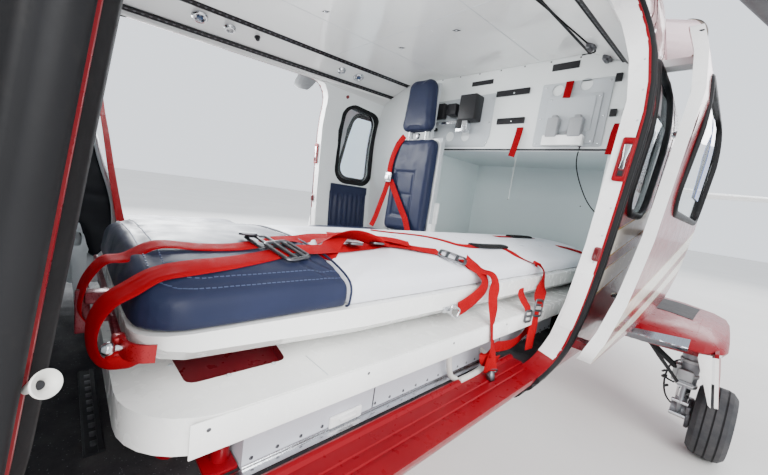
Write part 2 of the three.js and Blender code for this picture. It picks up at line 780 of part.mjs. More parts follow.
// Cabin lining
const at = (aft) => jamb + aft; // station from the aft jamb
const up = (z) => floorZ + z; // height from the floor
const linerThick = 12;
function liner(x0, x1, lowX0, lowX1, from, to) {
  // a plate under the sloping ceiling; outline in (x, drop below the liner line)
  const ring = (station) => {
    const z = linerZ(station);
    return [
      [x0, station, z - gap - lowX0],
      [x1, station, z - gap - lowX1],
      [x1, station, z - gap - lowX1 - linerThick],
      [x0, station, z - gap - lowX0 - linerThick],
    ];
  };
  return skin([ring(from), ring(to)]);
}
const linerFrom = 2500;
const linerTo = rearWall - 24;
let ceiling = liner(-505, 505, 0, 0, linerFrom, linerTo);
for (const [, side] of sides) {
  ceiling = ceiling.add(flip(liner(498, 652, 0, 66, linerFrom + 60, linerTo), side));
}
node("ceiling_lining", ceiling.intersect(body(hullTable, -wall - 1)), "white");
const wallOutline = plateY(
  [
    [-760, up(2)],
    [760, up(2)],
    [760, up(1200)],
    [-760, up(1200)],
  ],
  rearWall - 20,
  rearWall - gap,
);
const wallPanel = wallOutline
  .intersect(body(hullTable, -wall - 1))
  .intersect(plateX([[rearWall - 40, up(2)], [rearWall + 40, up(2)], [rearWall + 40, linerZ(rearWall) - 3], [rearWall - 40, linerZ(rearWall) - 3]], -reach, reach))
  .subtract(block(-256, 641, rearWall - 60, rearWall + 60, 0, up(755)));
node("aft_wall_panel", wallPanel, "white");

// Stretcher: floor box, turning deck on a leg, litter pan, mattress in two pads
const boxTop = 119;
node("stretcher_floor_box", block(110, 571, at(-900), at(400), up(0.6), up(boxTop)), "metal");
const deckOutline = rounded(
  [
    [30, at(-1062)],
    [643, at(-1062)],
    [643, at(300)],
    [604, at(420)],
    [604, at(850)],
    [30, at(850)],
  ],
  [60, 110, 60, 20, 40, 40],
  8,
);
const plateHole = rounded(
  [
    [330, at(-990)],
    [560, at(-985)],
    [560, at(-835)],
    [330, at(-800)],
  ],
  14,
  3,
);
node("stretcher_deck", plateZ(deckOutline, up(boxTop + gap), up(170)).subtract(plateZ(plateHole, up(150), up(171))), "white");
const legTube = (x) => rod([x, at(-985), up(0.6)], [x, at(-955), up(boxTop)], 17, 12);
const deckLeg = join(
  legTube(470),
  legTube(220),
  rod([220, at(-970), up(60)], [470, at(-970), up(60)], 14, 12),
  rod([470, at(-970), up(60)], [390, at(-940), up(boxTop)], 12, 12),
);
node("stretcher_deck_leg", deckLeg.intersect(block(-reach, reach, 0, 9000, up(gap), up(boxTop))), "red");
// rows of station, half width, bottom height, top height
const panTable = [
  [at(-1052), 218, 232, 258],
  [at(-1047), 240, 228, 259],
  [at(-1035), 258, 222, 260],
  [at(-1018), 270, 216, 261],
  [at(-990), 277, 211, 262],
  [at(-700), 280, 196, 262],
  [at(600), 276, 186, 262],
  [at(856), 246, 186, 262],
];
const panMiddle = 322;
function panRing([station, half, low, high]) {
  const edge = 26;
  return [
    [-half, high],
    [-half, low + edge],
    [-half + edge * 1.3, low],
    [half - edge * 1.3, low],
    [half, low + edge],
    [half, high],
  ].map(([x, z]) => [panMiddle + x, station, up(z)]);
}
const keel = block(panMiddle - 70, panMiddle + 70, at(-760), at(820), up(170 + gap), up(215));
node("litter_pan", skin(panTable.map(panRing)).add(keel), "white");
// the pads are crowned: half width of the pad, height
const padCrown = [
  [278, 262 + gap],
  [278, 300],
  [240, 322],
  [160, 340],
  [55, 348],
];
const crownOutline = [
  ...padCrown.map(([half, z]) => [panMiddle + half, up(z)]),
  ...padCrown.map(([half, z]) => [panMiddle - half, up(z)]).reverse(),
];
const headPad = rounded([[44, at(-1052)], [600, at(-1052)], [600, at(-745)], [44, at(-745)]], [60, 60, 8, 8], 6);
const bodyPad = rounded([[44, at(-744)], [600, at(-744)], [575, at(852)], [69, at(852)]], [8, 8, 80, 80], 6);
for (const [name, outline, material] of [
  ["mattress_head_pad", headPad, "navy"],
  ["mattress_body_pad", bodyPad, "white"],
]) {
  const crowned = plateY(crownOutline, at(-1060), at(860));
  node(name, plateZ(outline, up(262), up(360)).intersect(crowned), material);
}

// Cabin seat against the aft wall: frame, cushions, headrest
const seatMiddle = -258;
const seatFrame = join(
  block(seatMiddle - 150, seatMiddle + 150, at(-150), at(300), up(0.6), up(168)),
  block(seatMiddle - 161, seatMiddle + 161, at(318), at(342), up(120), up(800)),
  block(seatMiddle - 60, seatMiddle + 60, at(340), rearWall - 20 - gap, up(770), up(800)),
  block(seatMiddle - 150, seatMiddle + 150, at(280), at(342), up(60), up(168)),
  rod([seatMiddle - 75, at(330), up(795)], [seatMiddle - 75, at(322), up(880)], 8, 10),
  rod([seatMiddle + 75, at(330), up(795)], [seatMiddle + 75, at(322), up(880)], 8, 10),
  block(seatMiddle - 84, seatMiddle + 84, at(318), at(334), up(850), up(1090)),
);
node("cabin_seat_frame", seatFrame, "panelGrey");
function cushion(x0, x1, y0, y1, z0, z1, corner) {
  return plateX(rounded([[y0, z0], [y1, z0], [y1, z1], [y0, z1]], corner, 4), x0, x1);
}
node("cabin_seat_cushion", cushion(seatMiddle - 225, seatMiddle + 225, at(-235), at(300), up(168 + gap), up(262), 30), "navy");
node("cabin_seat_back", cushion(seatMiddle - 150, seatMiddle + 150, at(262), at(318 - gap), up(272), up(790), 20), "navy");
node("cabin_seat_headrest", cushion(seatMiddle - 110, seatMiddle + 110, at(258), at(314 - gap), up(830), up(1105), 22), "navy");

// Crew seat at the front of the cabin, facing aft
const crewMiddle = -330;
const crewBack = [
  [at(-1110), up(120)],
  [at(-1005), up(120)],
  [at(-1018), up(350)],
  [at(-1072), up(560)],
  [at(-1098), up(900)],
  [at(-1150), up(900)],
];
node(
  "crew_seat_frame",
  join(
    block(crewMiddle - 150, crewMiddle + 150, at(-1020), at(-640), up(0.6), up(168)),
    plateX(rounded(crewBack, [20, 4, 90, 60, 20, 20], 4), crewMiddle - 200, crewMiddle + 200),
    block(crewMiddle - 150, crewMiddle + 150, at(-1040), at(-900), up(120), up(168)),
  ),
  "black",
);
node("crew_seat_cushion", cushion(crewMiddle - 215, crewMiddle + 215, at(-1001), at(-560), up(168 + gap), up(262), 30), "navy");

// Cockpit: two seats and the instrument console
for (const [name, side] of sides) {
  const middle = 380;
  const seat = join(
    block(middle - 130, middle + 130, 1830, 2150, up(0.6), up(170)),
    cushion(middle - 225, middle + 225, 1740, 2240, up(165), up(270), 40),
    plateX(rounded([[2150, up(180)], [2250, up(180)], [2330, up(800)], [2250, up(810)]], 25, 4), middle - 220, middle + 220),
    plateX(rounded([[2262, up(760)], [2310, up(760)], [2345, up(985)], [2290, up(985)]], 18, 4), middle - 120, middle + 120),
  );
  node(`pilot_seat_${name}`, flip(seat, side), "navy");
}
const glareShield = plateX(
  rounded([[noseWall + 1, up(300)], [1330, up(300)], [1345, up(640)], [1290, up(700)], [1130, up(730)], [noseWall + 1, up(640)]], [0, 20, 20, 20, 20, 0], 3),
  -520,
  520,
);
const pedestal = block(-105, 105, 1290, 1800, up(0.6), up(250));
const column = block(-105, 105, noseWall + 1, 1330, up(0.6), up(400));
const console_ = join(glareShield, pedestal, column).intersect(body(hullTable, -wall - gap));
node("instrument_console", console_, "black");

// Origin: the middle of the whole length, on the ground
const tipReach = rotorRadius * Math.cos(bladeRest);
const originStation = (mastStation - tipReach + tailEnd) / 2;
place.position.set(0, -originStation, 0);

export default aircraft;
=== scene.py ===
# Looks of a light air ambulance helicopter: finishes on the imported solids, soft pads, straps and fittings.
# Metres in the row frame. cab() takes places measured in the cabin: port, aft of the aft door jamb, up from
# the floor. mm() takes millimetres: port, from the nose, above the ground.
import bpy
import bmesh
import math
import random
from mathutils import Matrix, Vector, noise
from mathutils.bvhtree import BVHTree


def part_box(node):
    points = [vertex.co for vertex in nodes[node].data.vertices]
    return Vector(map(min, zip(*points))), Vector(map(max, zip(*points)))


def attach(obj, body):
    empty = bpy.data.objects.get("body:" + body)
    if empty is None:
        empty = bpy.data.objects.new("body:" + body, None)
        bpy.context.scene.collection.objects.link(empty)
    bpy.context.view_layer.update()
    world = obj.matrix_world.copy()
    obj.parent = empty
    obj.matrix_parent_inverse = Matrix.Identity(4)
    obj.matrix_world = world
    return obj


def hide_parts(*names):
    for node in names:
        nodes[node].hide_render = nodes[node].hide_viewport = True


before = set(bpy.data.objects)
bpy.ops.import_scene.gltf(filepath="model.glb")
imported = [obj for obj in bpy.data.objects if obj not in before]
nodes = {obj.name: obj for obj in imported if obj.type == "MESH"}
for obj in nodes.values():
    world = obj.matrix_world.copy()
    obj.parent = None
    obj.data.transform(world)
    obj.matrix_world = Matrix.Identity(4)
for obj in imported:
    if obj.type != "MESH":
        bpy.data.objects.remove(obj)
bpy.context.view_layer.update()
scene = bpy.context.scene
random.seed(7)
print("frame loaded", len(nodes))

originStation = 5.069824  # the row's origin, from the nose
floorUp = 0.65
jambAft = originStation - 3.61
doorSlide = (0.1, 1.21, 0.062)  # the cabin doors stand open by this: out, aft, up
eye = (1.0377, -1.1104, 0.4691)  # the photograph's camera, in cabin measures


def cab(port, aft, up):
    return Vector((port, aft - jambAft, up + floorUp))


def cabPath(points):
    return [cab(*p) for p in points]


# camera at the photograph's place
camera = bpy.data.objects.new("viewCamera", bpy.data.cameras.new("viewCamera"))
scene.collection.objects.link(camera)
cameraLook = {
    "lens": 15.67, "sensor": 36, "nearest": 0.02,
    "turn": ((0.67708, -0.18948, 0.7111), (0.72233, -0.01369, -0.69142), (0.14075, 0.98179, 0.1276)),
}
camera.data.lens = cameraLook["lens"]
camera.data.sensor_width = cameraLook["sensor"]
camera.data.clip_start = cameraLook["nearest"]
camera.matrix_world = Matrix.Translation(cab(*eye)) @ Matrix(cameraLook["turn"]).to_4x4()
scene.camera = camera

# section of the body, the same rows as the solids: station, half width, bottom, widest height, top
hullRows = [(0, 60, 880, 930, 985), (110, 215, 745, 935, 1110), (330, 385, 610, 965, 1245),
    (650, 530, 510, 1020, 1370), (950, 630, 460, 1090, 1455), (1230, 708, 435, 1170, 1672),
    (1550, 765, 422, 1260, 1868), (1900, 800, 420, 1330, 1985), (2350, 812, 420, 1375, 2035),
    (4100, 812, 420, 1400, 2050), (4700, 785, 445, 1430, 2050), (5300, 680, 570, 1480, 2035),
    (5900, 510, 830, 1545, 1995), (6450, 365, 1090, 1595, 1950)]


def sectionAt(rows, aft):
    station = (aft + originStation) * 1000
    for a, b in zip(rows, rows[1:]):
        if station <= b[0]:
            break
    t = min(max((station - a[0]) / (b[0] - a[0]), 0), 1)
    return [(p + (q - p) * t) / 1000 for p, q in zip(a, b)]


def skinX(aft, up, rows=hullRows):
    # half width of the body at this place along it and this height, row frame
    _, half, bottom, widest, top = sectionAt(rows, aft)
    if up >= widest:
        rise = min((up - widest) / (top - widest), 1)
        return half * (1 - rise ** 2.4) ** (1 / 2.4)
    fall = min((widest - up) / (widest - bottom), 1)
    return half * (1 - 0.08 * fall) * (1 - fall ** 5) ** 0.2


def skinPoint(aft, up, off=0.0, side=1):
    return Vector((side * (skinX(aft, up) + off), aft, up))


def skinFacing(aft, up, side=1):
    e = 0.004
    alongUp = Vector((skinX(aft, up + e) - skinX(aft, up - e), 0, 2 * e))
    alongAft = Vector((skinX(aft + e, up) - skinX(aft - e, up), 2 * e, 0))
    n = alongAft.cross(alongUp).normalized()
    return Vector((side * n.x, n.y, n.z))


# finishes
class Finish:
    # a Principled surface and short ways to build what feeds it, all on Object coordinates
    def __init__(self, name, **fixed):
        self.material = bpy.data.materials.new(name)
        self.material.use_nodes = True
        self.tree = self.material.node_tree
        self.tree.nodes.clear()
        out = self.node("ShaderNodeOutputMaterial")
        self.shader = self.node("ShaderNodeBsdfPrincipled")
        self.join(self.shader.outputs[0], out.inputs[0])
        self.place = self.node("ShaderNodeTexCoord").outputs["Object"]
        for socket, value in fixed.items():
            self.shader.inputs[socket.replace("_", " ")].default_value = value

    def node(self, kind, inputs=None, **settings):
        made = self.tree.nodes.new(kind)
        for key, value in settings.items():
            setattr(made, key, value)
        for key, value in (inputs or {}).items():
            self.feed(made.inputs[key], value)
        return made

    def join(self, a, b):
        self.tree.links.new(a, b)

    def feed(self, socket, value):
        if hasattr(value, "is_linked"):
            self.join(value, socket)
        else:
            socket.default_value = value

    def mapped(self, scale=(1, 1, 1), shift=(0, 0, 0)):
        return self.node("ShaderNodeMapping", {0: self.place, "Scale": scale, "Location": shift}).outputs[0]

    def noise(self, scale, detail=3, rough=0.5, at=None):
        inputs = {"Vector": at or self.place, "Scale": scale, "Detail": detail, "Roughness": rough}
        return self.node("ShaderNodeTexNoise", inputs).outputs[0]

    def cells(self, scale, feature="F1"):
        return self.node("ShaderNodeTexVoronoi", {"Vector": self.place, "Scale": scale},
            feature=feature).outputs[0]

    def math(self, operation, a, b=0.0):
        return self.node("ShaderNodeMath", {0: a, 1: b}, operation=operation).outputs[0]

    def ranged(self, value, low, high, toLow=0.0, toHigh=1.0):
        inputs = {"Value": value, "From Min": low, "From Max": high, "To Min": toLow, "To Max": toHigh}
        return self.node("ShaderNodeMapRange", inputs).outputs[0]

    def mixed(self, share, a, b):
        a, b = ((*one, 1) if isinstance(one, tuple) and len(one) == 3 else one for one in (a, b))
        return self.node("ShaderNodeMix", {0: share, 6: a, 7: b}, data_type="RGBA").outputs[2]

    def axes(self, at=None):
        return self.node("ShaderNodeSeparateXYZ", {0: at or self.place}).outputs

    def bump(self, height, depth, strength=1.0, under=None):
        made = self.node("ShaderNodeBump", {"Strength": strength, "Distance": depth, "Height": height})
        if under:
            self.join(under, made.inputs["Normal"])
        return made.outputs[0]

    def set(self, color=None, rough=None, normal=None):
        for key, value in (("Base Color", color), ("Roughness", rough), ("Normal", normal)):
            if value is not None:
                self.feed(self.shader.inputs[key], value)
        return self


def shade(color, by):
    return tuple(min(max(c * by, 0), 1) for c in color)


def surface(name, color, rough, spread=0.1, patch=3.0, grain=300.0, depth=0.00008, dirt=0.06, **fixed):
    # the common finish: soft patches of colour, grime in the low noise, a fine grain in the bump
    made = Finish(name, **fixed)
    wide = made.noise(patch, 4)
    fine = made.noise(grain, 3, 0.6)
    tone = made.mixed(made.ranged(wide, 0.3, 0.7), shade(color, 1 - spread), shade(color, 1 + spread))
    stain = made.ranged(made.noise(patch * 7, 6, 0.7), 0.56, 0.8)
    tone = made.mixed(made.math("MULTIPLY", stain, dirt), tone, (0.1, 0.085, 0.07))
    roughness = made.ranged(made.noise(patch * 12, 5, 0.65), 0.3, 0.75, max(rough - 0.07, 0.03),
        min(rough + 0.09, 1))
    made.set(tone, roughness, made.bump(fine, depth, 0.6))
    return made.material


liveryLook = {
    "red": (0.185, 0.0025, 0.007),
    "cream": (0.74, 0.7, 0.6),
    "gold": (0.42, 0.25, 0.07),
    "bandHalf": 0.037,
    "bandApart": 0.128,
    "goldEdge": 0.008,
    "mask": {"aft": (-2.67, -1.205), "up": (1.165, 1.8)},  # dark surround of the cockpit glazing
}
# the lower band's middle: place aft of the aft jamb, height above the ground
bandRun = [(-3.6, 0.36), (-2.8, 0.4), (-1.6, 0.6), (0.0, 0.92), (0.9, 1.12), (2.1, 1.37), (3.0, 1.52),
    (4.0, 1.58), (6.0, 1.62), (6.5, 1.78), (7.4, 2.9)]


def liveryPaint(name, shift=(0, 0, 0), mask=True):
    look = liveryLook
    made = Finish(name, Coat_Weight=0.3, Coat_Roughness=0.06, Specular_IOR_Level=0.35)
    moved = made.mapped(shift=(shift[0], shift[1] + jambAft, shift[2]))  # counts from the aft jamb
    y, z = made.axes(moved)[1:3]
    curve = made.node("ShaderNodeFloatCurve")
    points = curve.mapping.curves[0].points
    ends = [((aft + 5) / 13, up / 4) for aft, up in bandRun]
    points[0].location, points[1].location = ends[0], ends[-1]
    for aft, up in ends[1:-1]:
        points.new(aft, up)
    curve.mapping.update()
    made.join(made.ranged(y, -5, 8), curve.inputs["Value"])
    middle = made.math("MULTIPLY", curve.outputs[0], 4.0)
    wide = made.noise(1.6, 3)
    tone = made.mixed(made.ranged(wide, 0.3, 0.7), shade(look["red"], 0.9), shade(look["red"], 1.12))
    if mask:
        fore, aft = look["mask"]["aft"]
        low, high = look["mask"]["up"]
        dark = made.math("MULTIPLY", made.ranged(z, low, low + 0.005), made.ranged(y, aft, aft + 0.005, 1, 0))
        dark = made.math("MULTIPLY", dark, made.ranged(z, high, high + 0.005, 1, 0))
        dark = made.math("MULTIPLY", dark, made.ranged(y, fore, fore + 0.15))
        tone = made.mixed(dark, tone, (0.01, 0.011, 0.016))
        made.feed(made.shader.inputs["Coat Weight"], made.ranged(dark, 0, 1, 0.3, 0.04))
        made.feed(made.shader.inputs["Specular IOR Level"], made.ranged(dark, 0, 1, 0.35, 0.2))
    for step in (0, look["bandApart"]):
        off = made.math("ABSOLUTE", made.math("SUBTRACT", z, made.math("ADD", middle, step)))
        for reach, colour in ((look["bandHalf"] + look["goldEdge"] - 0.0005, look["gold"]),
                (look["bandHalf"], look["cream"])):
            tone = made.mixed(made.ranged(off, reach, reach + 0.001, 1, 0), tone, colour)
    lowDown = made.ranged(z, 0.45, 1.0, 1, 0)
    stain = made.math("MULTIPLY", made.ranged(made.noise(9, 6, 0.7), 0.5, 0.8),
        made.math("MULTIPLY", lowDown, 0.25))
    tone = made.mixed(stain, tone, (0.16, 0.12, 0.1))
    roughness = made.ranged(made.noise(24, 5, 0.6), 0.3, 0.75, 0.16, 0.3)
    made.set(tone, roughness, made.bump(made.noise(60, 2), 0.00012, 0.35))
    return made.material


def wornPaint(name, color, rough, wear=(0.35, 0.34, 0.33), **fixed):
    made = Finish(name, **fixed)
    tone = made.mixed(made.ranged(made.noise(4, 4), 0.3, 0.7), shade(color, 0.88), shade(color, 1.1))
    scratch = made.noise(26, 8, 0.75, made.mapped(scale=(1, 0.16, 1)))
    tone = made.mixed(made.ranged(scratch, 0.66, 0.72, 0, 0.45), tone, wear)
    roughness = made.ranged(made.noise(40, 5), 0.3, 0.7, max(rough - 0.06, 0.03), rough + 0.1)
    made.set(tone, roughness, made.bump(made.noise(220, 3), 0.00006, 0.5))
    return made.material


def speckled(name, base, flecks, rough):
    # rolled floor covering: dark ground, fine light flecks, a pressed grain
    made = Finish(name, Specular_IOR_Level=0.3)
    spots = made.ranged(made.cells(260), 0.18, 0.24, 1, 0)
    pick = made.ranged(made.noise(140, 2), 0.55, 0.6)
    tone = made.mixed(made.math("MULTIPLY", spots, pick), base, flecks)
    dust = made.math("MULTIPLY", made.ranged(made.noise(5, 6, 0.7), 0.45, 0.75), 0.35)
    tone = made.mixed(dust, tone, (0.12, 0.115, 0.11))
    made.set(tone, made.ranged(made.noise(30, 4), 0.3, 0.7, rough - 0.1, rough + 0.08),
             made.bump(made.cells(420), 0.0003, 0.6))
    return made.material


def leatherLike(name, color, rough=0.36, crease=0.0012, **fixed):
    # coated seat cloth: pebble grain, broad soft creases, paler rubbed patches
    made = Finish(name, Specular_IOR_Level=0.2, **fixed)
    pebble = made.cells(700, "SMOOTH_F1")
    folds = made.noise(9, 3, 0.5, made.mapped(scale=(1, 0.5, 1)))
    rubbed = made.ranged(made.noise(6, 5, 0.6), 0.5, 0.8, 0, 0.35)
    tone = made.mixed(rubbed, color, shade(color, 1.9))
    fine = made.bump(pebble, 0.00022, 0.55)
    made.set(tone, made.ranged(made.noise(18, 4), 0.3, 0.7, rough - 0.08, rough + 0.12),
             made.bump(folds, crease, 0.5, fine))
    return made.material


def webbingCloth(name, color):
    # woven strap: ribs across and a herringbone of threads, read from the piece's own UV map
    made = Finish(name, Specular_IOR_Level=0.03)
    uv = made.node("ShaderNodeUVMap", uv_map="UVMap").outputs[0]
    u, v = made.axes(uv)[:2]
    zig = made.math("ABSOLUTE", made.math("SUBTRACT", made.math("FRACT", made.math("MULTIPLY", u, 4)), 0.5))
    run = made.math("ADD", made.math("MULTIPLY", v, 900), made.math("MULTIPLY", zig, 9))
    rib = made.math("ABSOLUTE", made.math("SUBTRACT", made.math("FRACT", run), 0.5))
    tone = made.mixed(made.ranged(rib, 0.0, 0.5), shade(color, 0.62), shade(color, 1.12))
    fade = made.ranged(made.noise(14, 4), 0.4, 0.75, 0, 0.3)
    tone = made.mixed(fade, tone, shade(color, 1.35))
    made.set(tone, made.ranged(made.noise(60, 3), 0.3, 0.7, 0.55, 0.75), made.bump(rib, 0.0005, 0.8))
    return made.material


def brushed(name, color, rough, scale=(1, 40, 1), **fixed):
    made = Finish(name, Metallic=1.0, **fixed)
    lines = made.noise(18, 5, 0.6, made.mapped(scale=scale))
    tone = made.mixed(made.ranged(lines, 0.3, 0.7), shade(color, 0.86), shade(color, 1.08))
    made.set(tone, made.ranged(made.noise(9, 5, 0.7), 0.3, 0.75, max(rough - 0.1, 0.05), rough + 0.12),
             made.bump(lines, 0.00008, 0.5))
    return made.material


def clearGlass(name, tint):
    made = Finish(name, Transmission_Weight=1.0, IOR=1.45, Specular_IOR_Level=0.5)
    dust = made.ranged(made.noise(5, 6, 0.7), 0.5, 0.9, 0.02, 0.1)
    made.set(made.mixed(made.ranged(made.noise(3, 2), 0.3, 0.7), shade(tint, 0.94), tint), dust)
    return made.material


def tyreRubber(name, middle=0.0, grooves=(-0.034, 0.0, 0.034)):
    made = Finish(name, Specular_IOR_Level=0.2)
    across = made.math("SUBTRACT", made.math("ABSOLUTE", made.axes()[0]), middle)
    grooveShadeMask = None
    for groove in grooves:
        near = made.ranged(made.math("ABSOLUTE", made.math("SUBTRACT", across, groove)), 0.0022, 0.004, 1, 0)
        grooveShadeMask = near if grooveShadeMask is None else made.math("MAXIMUM", grooveShadeMask, near)
    dust = made.ranged(made.noise(7, 6, 0.7), 0.4, 0.75)
    tone = made.mixed(made.math("MULTIPLY", dust, 0.5), (0.04, 0.041, 0.045), (0.13, 0.12, 0.115))
    # the grooves are painted near black: painted shade in the grooves
    tone = made.mixed(grooveShadeMask, tone, (0.008, 0.008, 0.009))
    fine = made.bump(made.noise(260, 4, 0.7), 0.0003, 0.7)
    made.set(tone, made.ranged(made.noise(30, 4), 0.3, 0.7, 0.66, 0.88),
        made.bump(made.math("SUBTRACT", 1.0, grooveShadeMask), 0.004, 1.0, fine))
    return made.material


red = liveryPaint("liveryRed")
redDoor = liveryPaint("liveryRedSlidDoor", shift=(0, -doorSlide[1], -doorSlide[2]), mask=False)
plainRed = wornPaint("sillRed", (0.21, 0.002, 0.007), 0.3, wear=(0.34, 0.1, 0.1), Coat_Weight=0.08,
    Coat_Roughness=0.08, Specular_IOR_Level=0.15)
darkRed = wornPaint("recessRed", (0.16, 0.006, 0.012), 0.3, wear=(0.3, 0.05, 0.05), Coat_Weight=0.5)
lining = surface("liningWhite", (0.8, 0.83, 0.82), 0.42, 0.04, 2.5, 420, 0.00006, 0.05)
ceilingWhite = surface("ceilingGloss", (0.8, 0.81, 0.79), 0.2, 0.03, 1.5, 120, 0.00004, 0.04, Coat_Weight=0.4)
postWhite = wornPaint("postWhite", (0.88, 0.88, 0.87), 0.3, wear=(0.62, 0.61, 0.6))
# the bay's walls: a grey-green of their own, made darker than the lining as painted shade of the recess
bayGreyShaded = surface("bayGreyGreenShaded", (0.66, 0.74, 0.74), 0.46, 0.04, 1.4, 300, 0.00006, 0.06)
shellWhite = wornPaint("trayIvory", (0.9, 0.9, 0.88), 0.22, wear=(0.6, 0.59, 0.56), Coat_Weight=0.5,
    Coat_Roughness=0.1)
floorCloth = speckled("floorSpeckle", (0.016, 0.015, 0.018), (0.11, 0.11, 0.125), 0.8)
navy = leatherLike("navyLeather", (0.016, 0.021, 0.05), 0.4)
blackLeather = leatherLike("blackLeather", (0.008, 0.009, 0.012), 0.38)
whiteVinyl = leatherLike("whiteVinyl", (0.8, 0.81, 0.87), 0.34, 0.0016)
greyPlate = surface("plateGrey", (0.5, 0.53, 0.55), 0.48, 0.05, 3, 500, 0.00008, 0.1)
tagRed = webbingCloth("tagRed", (0.3, 0.003, 0.008))
webRed = webbingCloth("webbingRed", (0.36, 0.003, 0.008))
blackPlastic = surface("blackPlastic", (0.012, 0.012, 0.014), 0.45, 0.15, 8, 600, 0.0001, 0.03,
    Specular_IOR_Level=0.3)
sealRubber = surface("sealRubber", (0.012, 0.0115, 0.012), 0.72, 0.2, 5, 260, 0.00014, 0.12,
    Specular_IOR_Level=0.1)
sealGloss = surface("sealGloss", (0.012, 0.012, 0.013), 0.46, 0.15, 6, 220, 0.0001, 0.06,
    Specular_IOR_Level=0.09)
whiteRubber = surface("whiteRubber", (0.62, 0.61, 0.57), 0.5, 0.06, 8, 200, 0.0001, 0.3)
brightMetal = brushed("brightMetal", (0.62, 0.63, 0.65), 0.24)
darkMetal = brushed("darkMetal", (0.13, 0.13, 0.14), 0.42)
boxMetal = surface("boxLavender", (0.56, 0.57, 0.62), 0.4, 0.05, 5, 400, 0.00008, 0.12)
innerGloss = surface("doorInnerGloss", (0.78, 0.72, 0.72), 0.16, 0.04, 2, 200, 0.00005, 0.05, Coat_Weight=0.5)
# exhaust shrouds: white paint tinted pink, the pink tint a painted reflection of the red skin
shroudWhitePaintedReflection = surface("shroudWhitePaintedReflection", (0.74, 0.58, 0.61), 0.2, 0.08, 3, 200, 0.0001, 0.15, Coat_Weight=0.4)
stripMetal = brushed("stripMetal", (0.3, 0.32, 0.35), 0.16, scale=(30, 1, 1))
blueFilm = surface("blueFilm", (0.03, 0.1, 0.42), 0.18, 0.1, 12, 200, 0.0001, 0.02, Coat_Weight=0.6)
legMetal = wornPaint("legGrey", (0.3, 0.31, 0.33), 0.36, Metallic=0.4)
hotMetal = brushed("exhaustMetal", (0.24, 0.2, 0.17), 0.36, scale=(6, 1, 6))
glass = clearGlass("clearPane", (0.86, 0.93, 0.96))
tyre = tyreRubber("tyreRubber", 1.135)
noseTyre = tyreRubber("noseTyreRubber", 0.0, (-0.02, 0.02))
bladeBlack = surface("bladeGrey", (0.035, 0.037, 0.042), 0.4, 0.12, 2, 300, 0.00008, 0.1)
print("finishes made", len(bpy.data.materials))


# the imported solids: smooth shading and finishes, meshes untouched
def smoothTree():
    tree = bpy.data.node_groups.new("smoothSolid", "GeometryNodeTree")
    face = tree.interface
    face.new_socket("Geometry", in_out="INPUT", socket_type="NodeSocketGeometry")
    angle = face.new_socket("Sharp angle", in_out="INPUT", socket_type="NodeSocketFloat")
    angle.default_value = math.radians(28)
    face.new_socket("Geometry", in_out="OUTPUT", socket_type="NodeSocketGeometry")
    new = tree.nodes.new
    first, last = new("NodeGroupInput"), new("NodeGroupOutput")
    merge = new("GeometryNodeMergeByDistance")
    merge.inputs["Distance"].default_value = 0.00002
    drop = new("GeometryNodeRemoveAttribute")
    drop.inputs["Name"].default_value = "custom_normal"
    allSmooth = new("GeometryNodeSetShadeSmooth")
    sharp = new("GeometryNodeSetShadeSmooth")
    sharp.domain = "EDGE"
    bend = new("GeometryNodeInputMeshEdgeAngle")
    compare = new("FunctionNodeCompare")
    compare.operation = "LESS_EQUAL"
    link = tree.links.new
    link(first.outputs[0], merge.inputs["Geometry"])
    link(merge.outputs[0], drop.inputs[0])
    link(drop.outputs[0], allSmooth.inputs["Geometry"])
    link(allSmooth.outputs[0], sharp.inputs["Geometry"])
    link(bend.outputs["Unsigned Angle"], compare.inputs["A"])
    link(first.outputs[1], compare.inputs["B"])
    link(compare.outputs[0], sharp.inputs["Shade Smooth"])
    link(sharp.outputs[0], last.inputs[0])
    return tree


smoothing = smoothTree()


def smoothNode(name):
    nodes[name].modifiers.new("smooth", "NODES").node_group = smoothing


def paintNode(name, choose):
    # choose(centre, normal) gives the finish of each face
    mesh = nodes[name].data
    mesh.materials.clear()
    order = []
    picks = []
    for face in mesh.polygons:
        finish = choose(face.center, face.normal)
        if finish not in order:
            order.append(finish)
        picks.append(order.index(finish))
    for finish in order:
        mesh.materials.append(finish)
    mesh.polygons.foreach_set("material_index", picks)
    mesh.update()


def outerSkin(at, slack=0.006):
    return abs(at.x) > skinX(at.y, at.z) - slack


def cabinFrameFinish(at, n):
    if isLowerArm(at):
        return darkRed
    inDoor = cab(0, -1.24, 0).y < at.y < cab(0, 0.02, 0).y
    if at.z > 1.95 and n.z > 0.2:
        return red
    if outerSkin(at, 0.012):
        return red
    if n.z < -0.7 and at.z > 1.7:
        return lining
    if abs(at.x) > 0.66 and inDoor and abs(n.x) < 0.6:
        return plainRed if at.z < 0.7 else postWhite
    if at.y < cab(0, -1.24, 0).y and abs(n.x) < 0.7 and abs(at.x) > 0.6:
        return blackPlastic
    return lining


def bellyFinish(at, n):
    if n.z > 0.9 and at.z > 0.6:
        return floorCloth
    return red


def aftFinish(at, n):
    inBay = -0.262 < at.x < 0.645 and at.y < cab(0, 0.965, 0).y and at.z < 1.41
    if inBay and not outerSkin(at):
        # the bay's walls get the grey-green with its painted shade
        return floorCloth if n.z > 0.9 else bayGreyShaded
    if at.x > 0.15 and cab(0, 1.3, 0).y < at.y < cab(0, 2.1, 0).y and at.x < skinX(at.y, at.z) - 0.012:
        return lining
    return red


def doorFinish(outer):
    def choose(at, n):
        if abs(n.x) < 0.3:
            return sealRubber
        return outer if n.x * at.x > 0 else postWhite
    return choose


def isLowerArm(at):
    return 0.7 < abs(at.x) < 0.876 and 0.725 < at.z < 0.765 and cab(0, 0.03, 0).y < at.y < cab(0, 0.095, 0).y


def slidDoorFinish(at, n):
    if isLowerArm(at):
        return darkRed
    skin = skinX(at.y - doorSlide[1], at.z - doorSlide[2]) + doorSlide[0]
    if abs(at.x) > skin - 0.008 and n.x * at.x > 0:
        return redDoor
    return postWhite if abs(n.x) < 0.5 else innerGloss


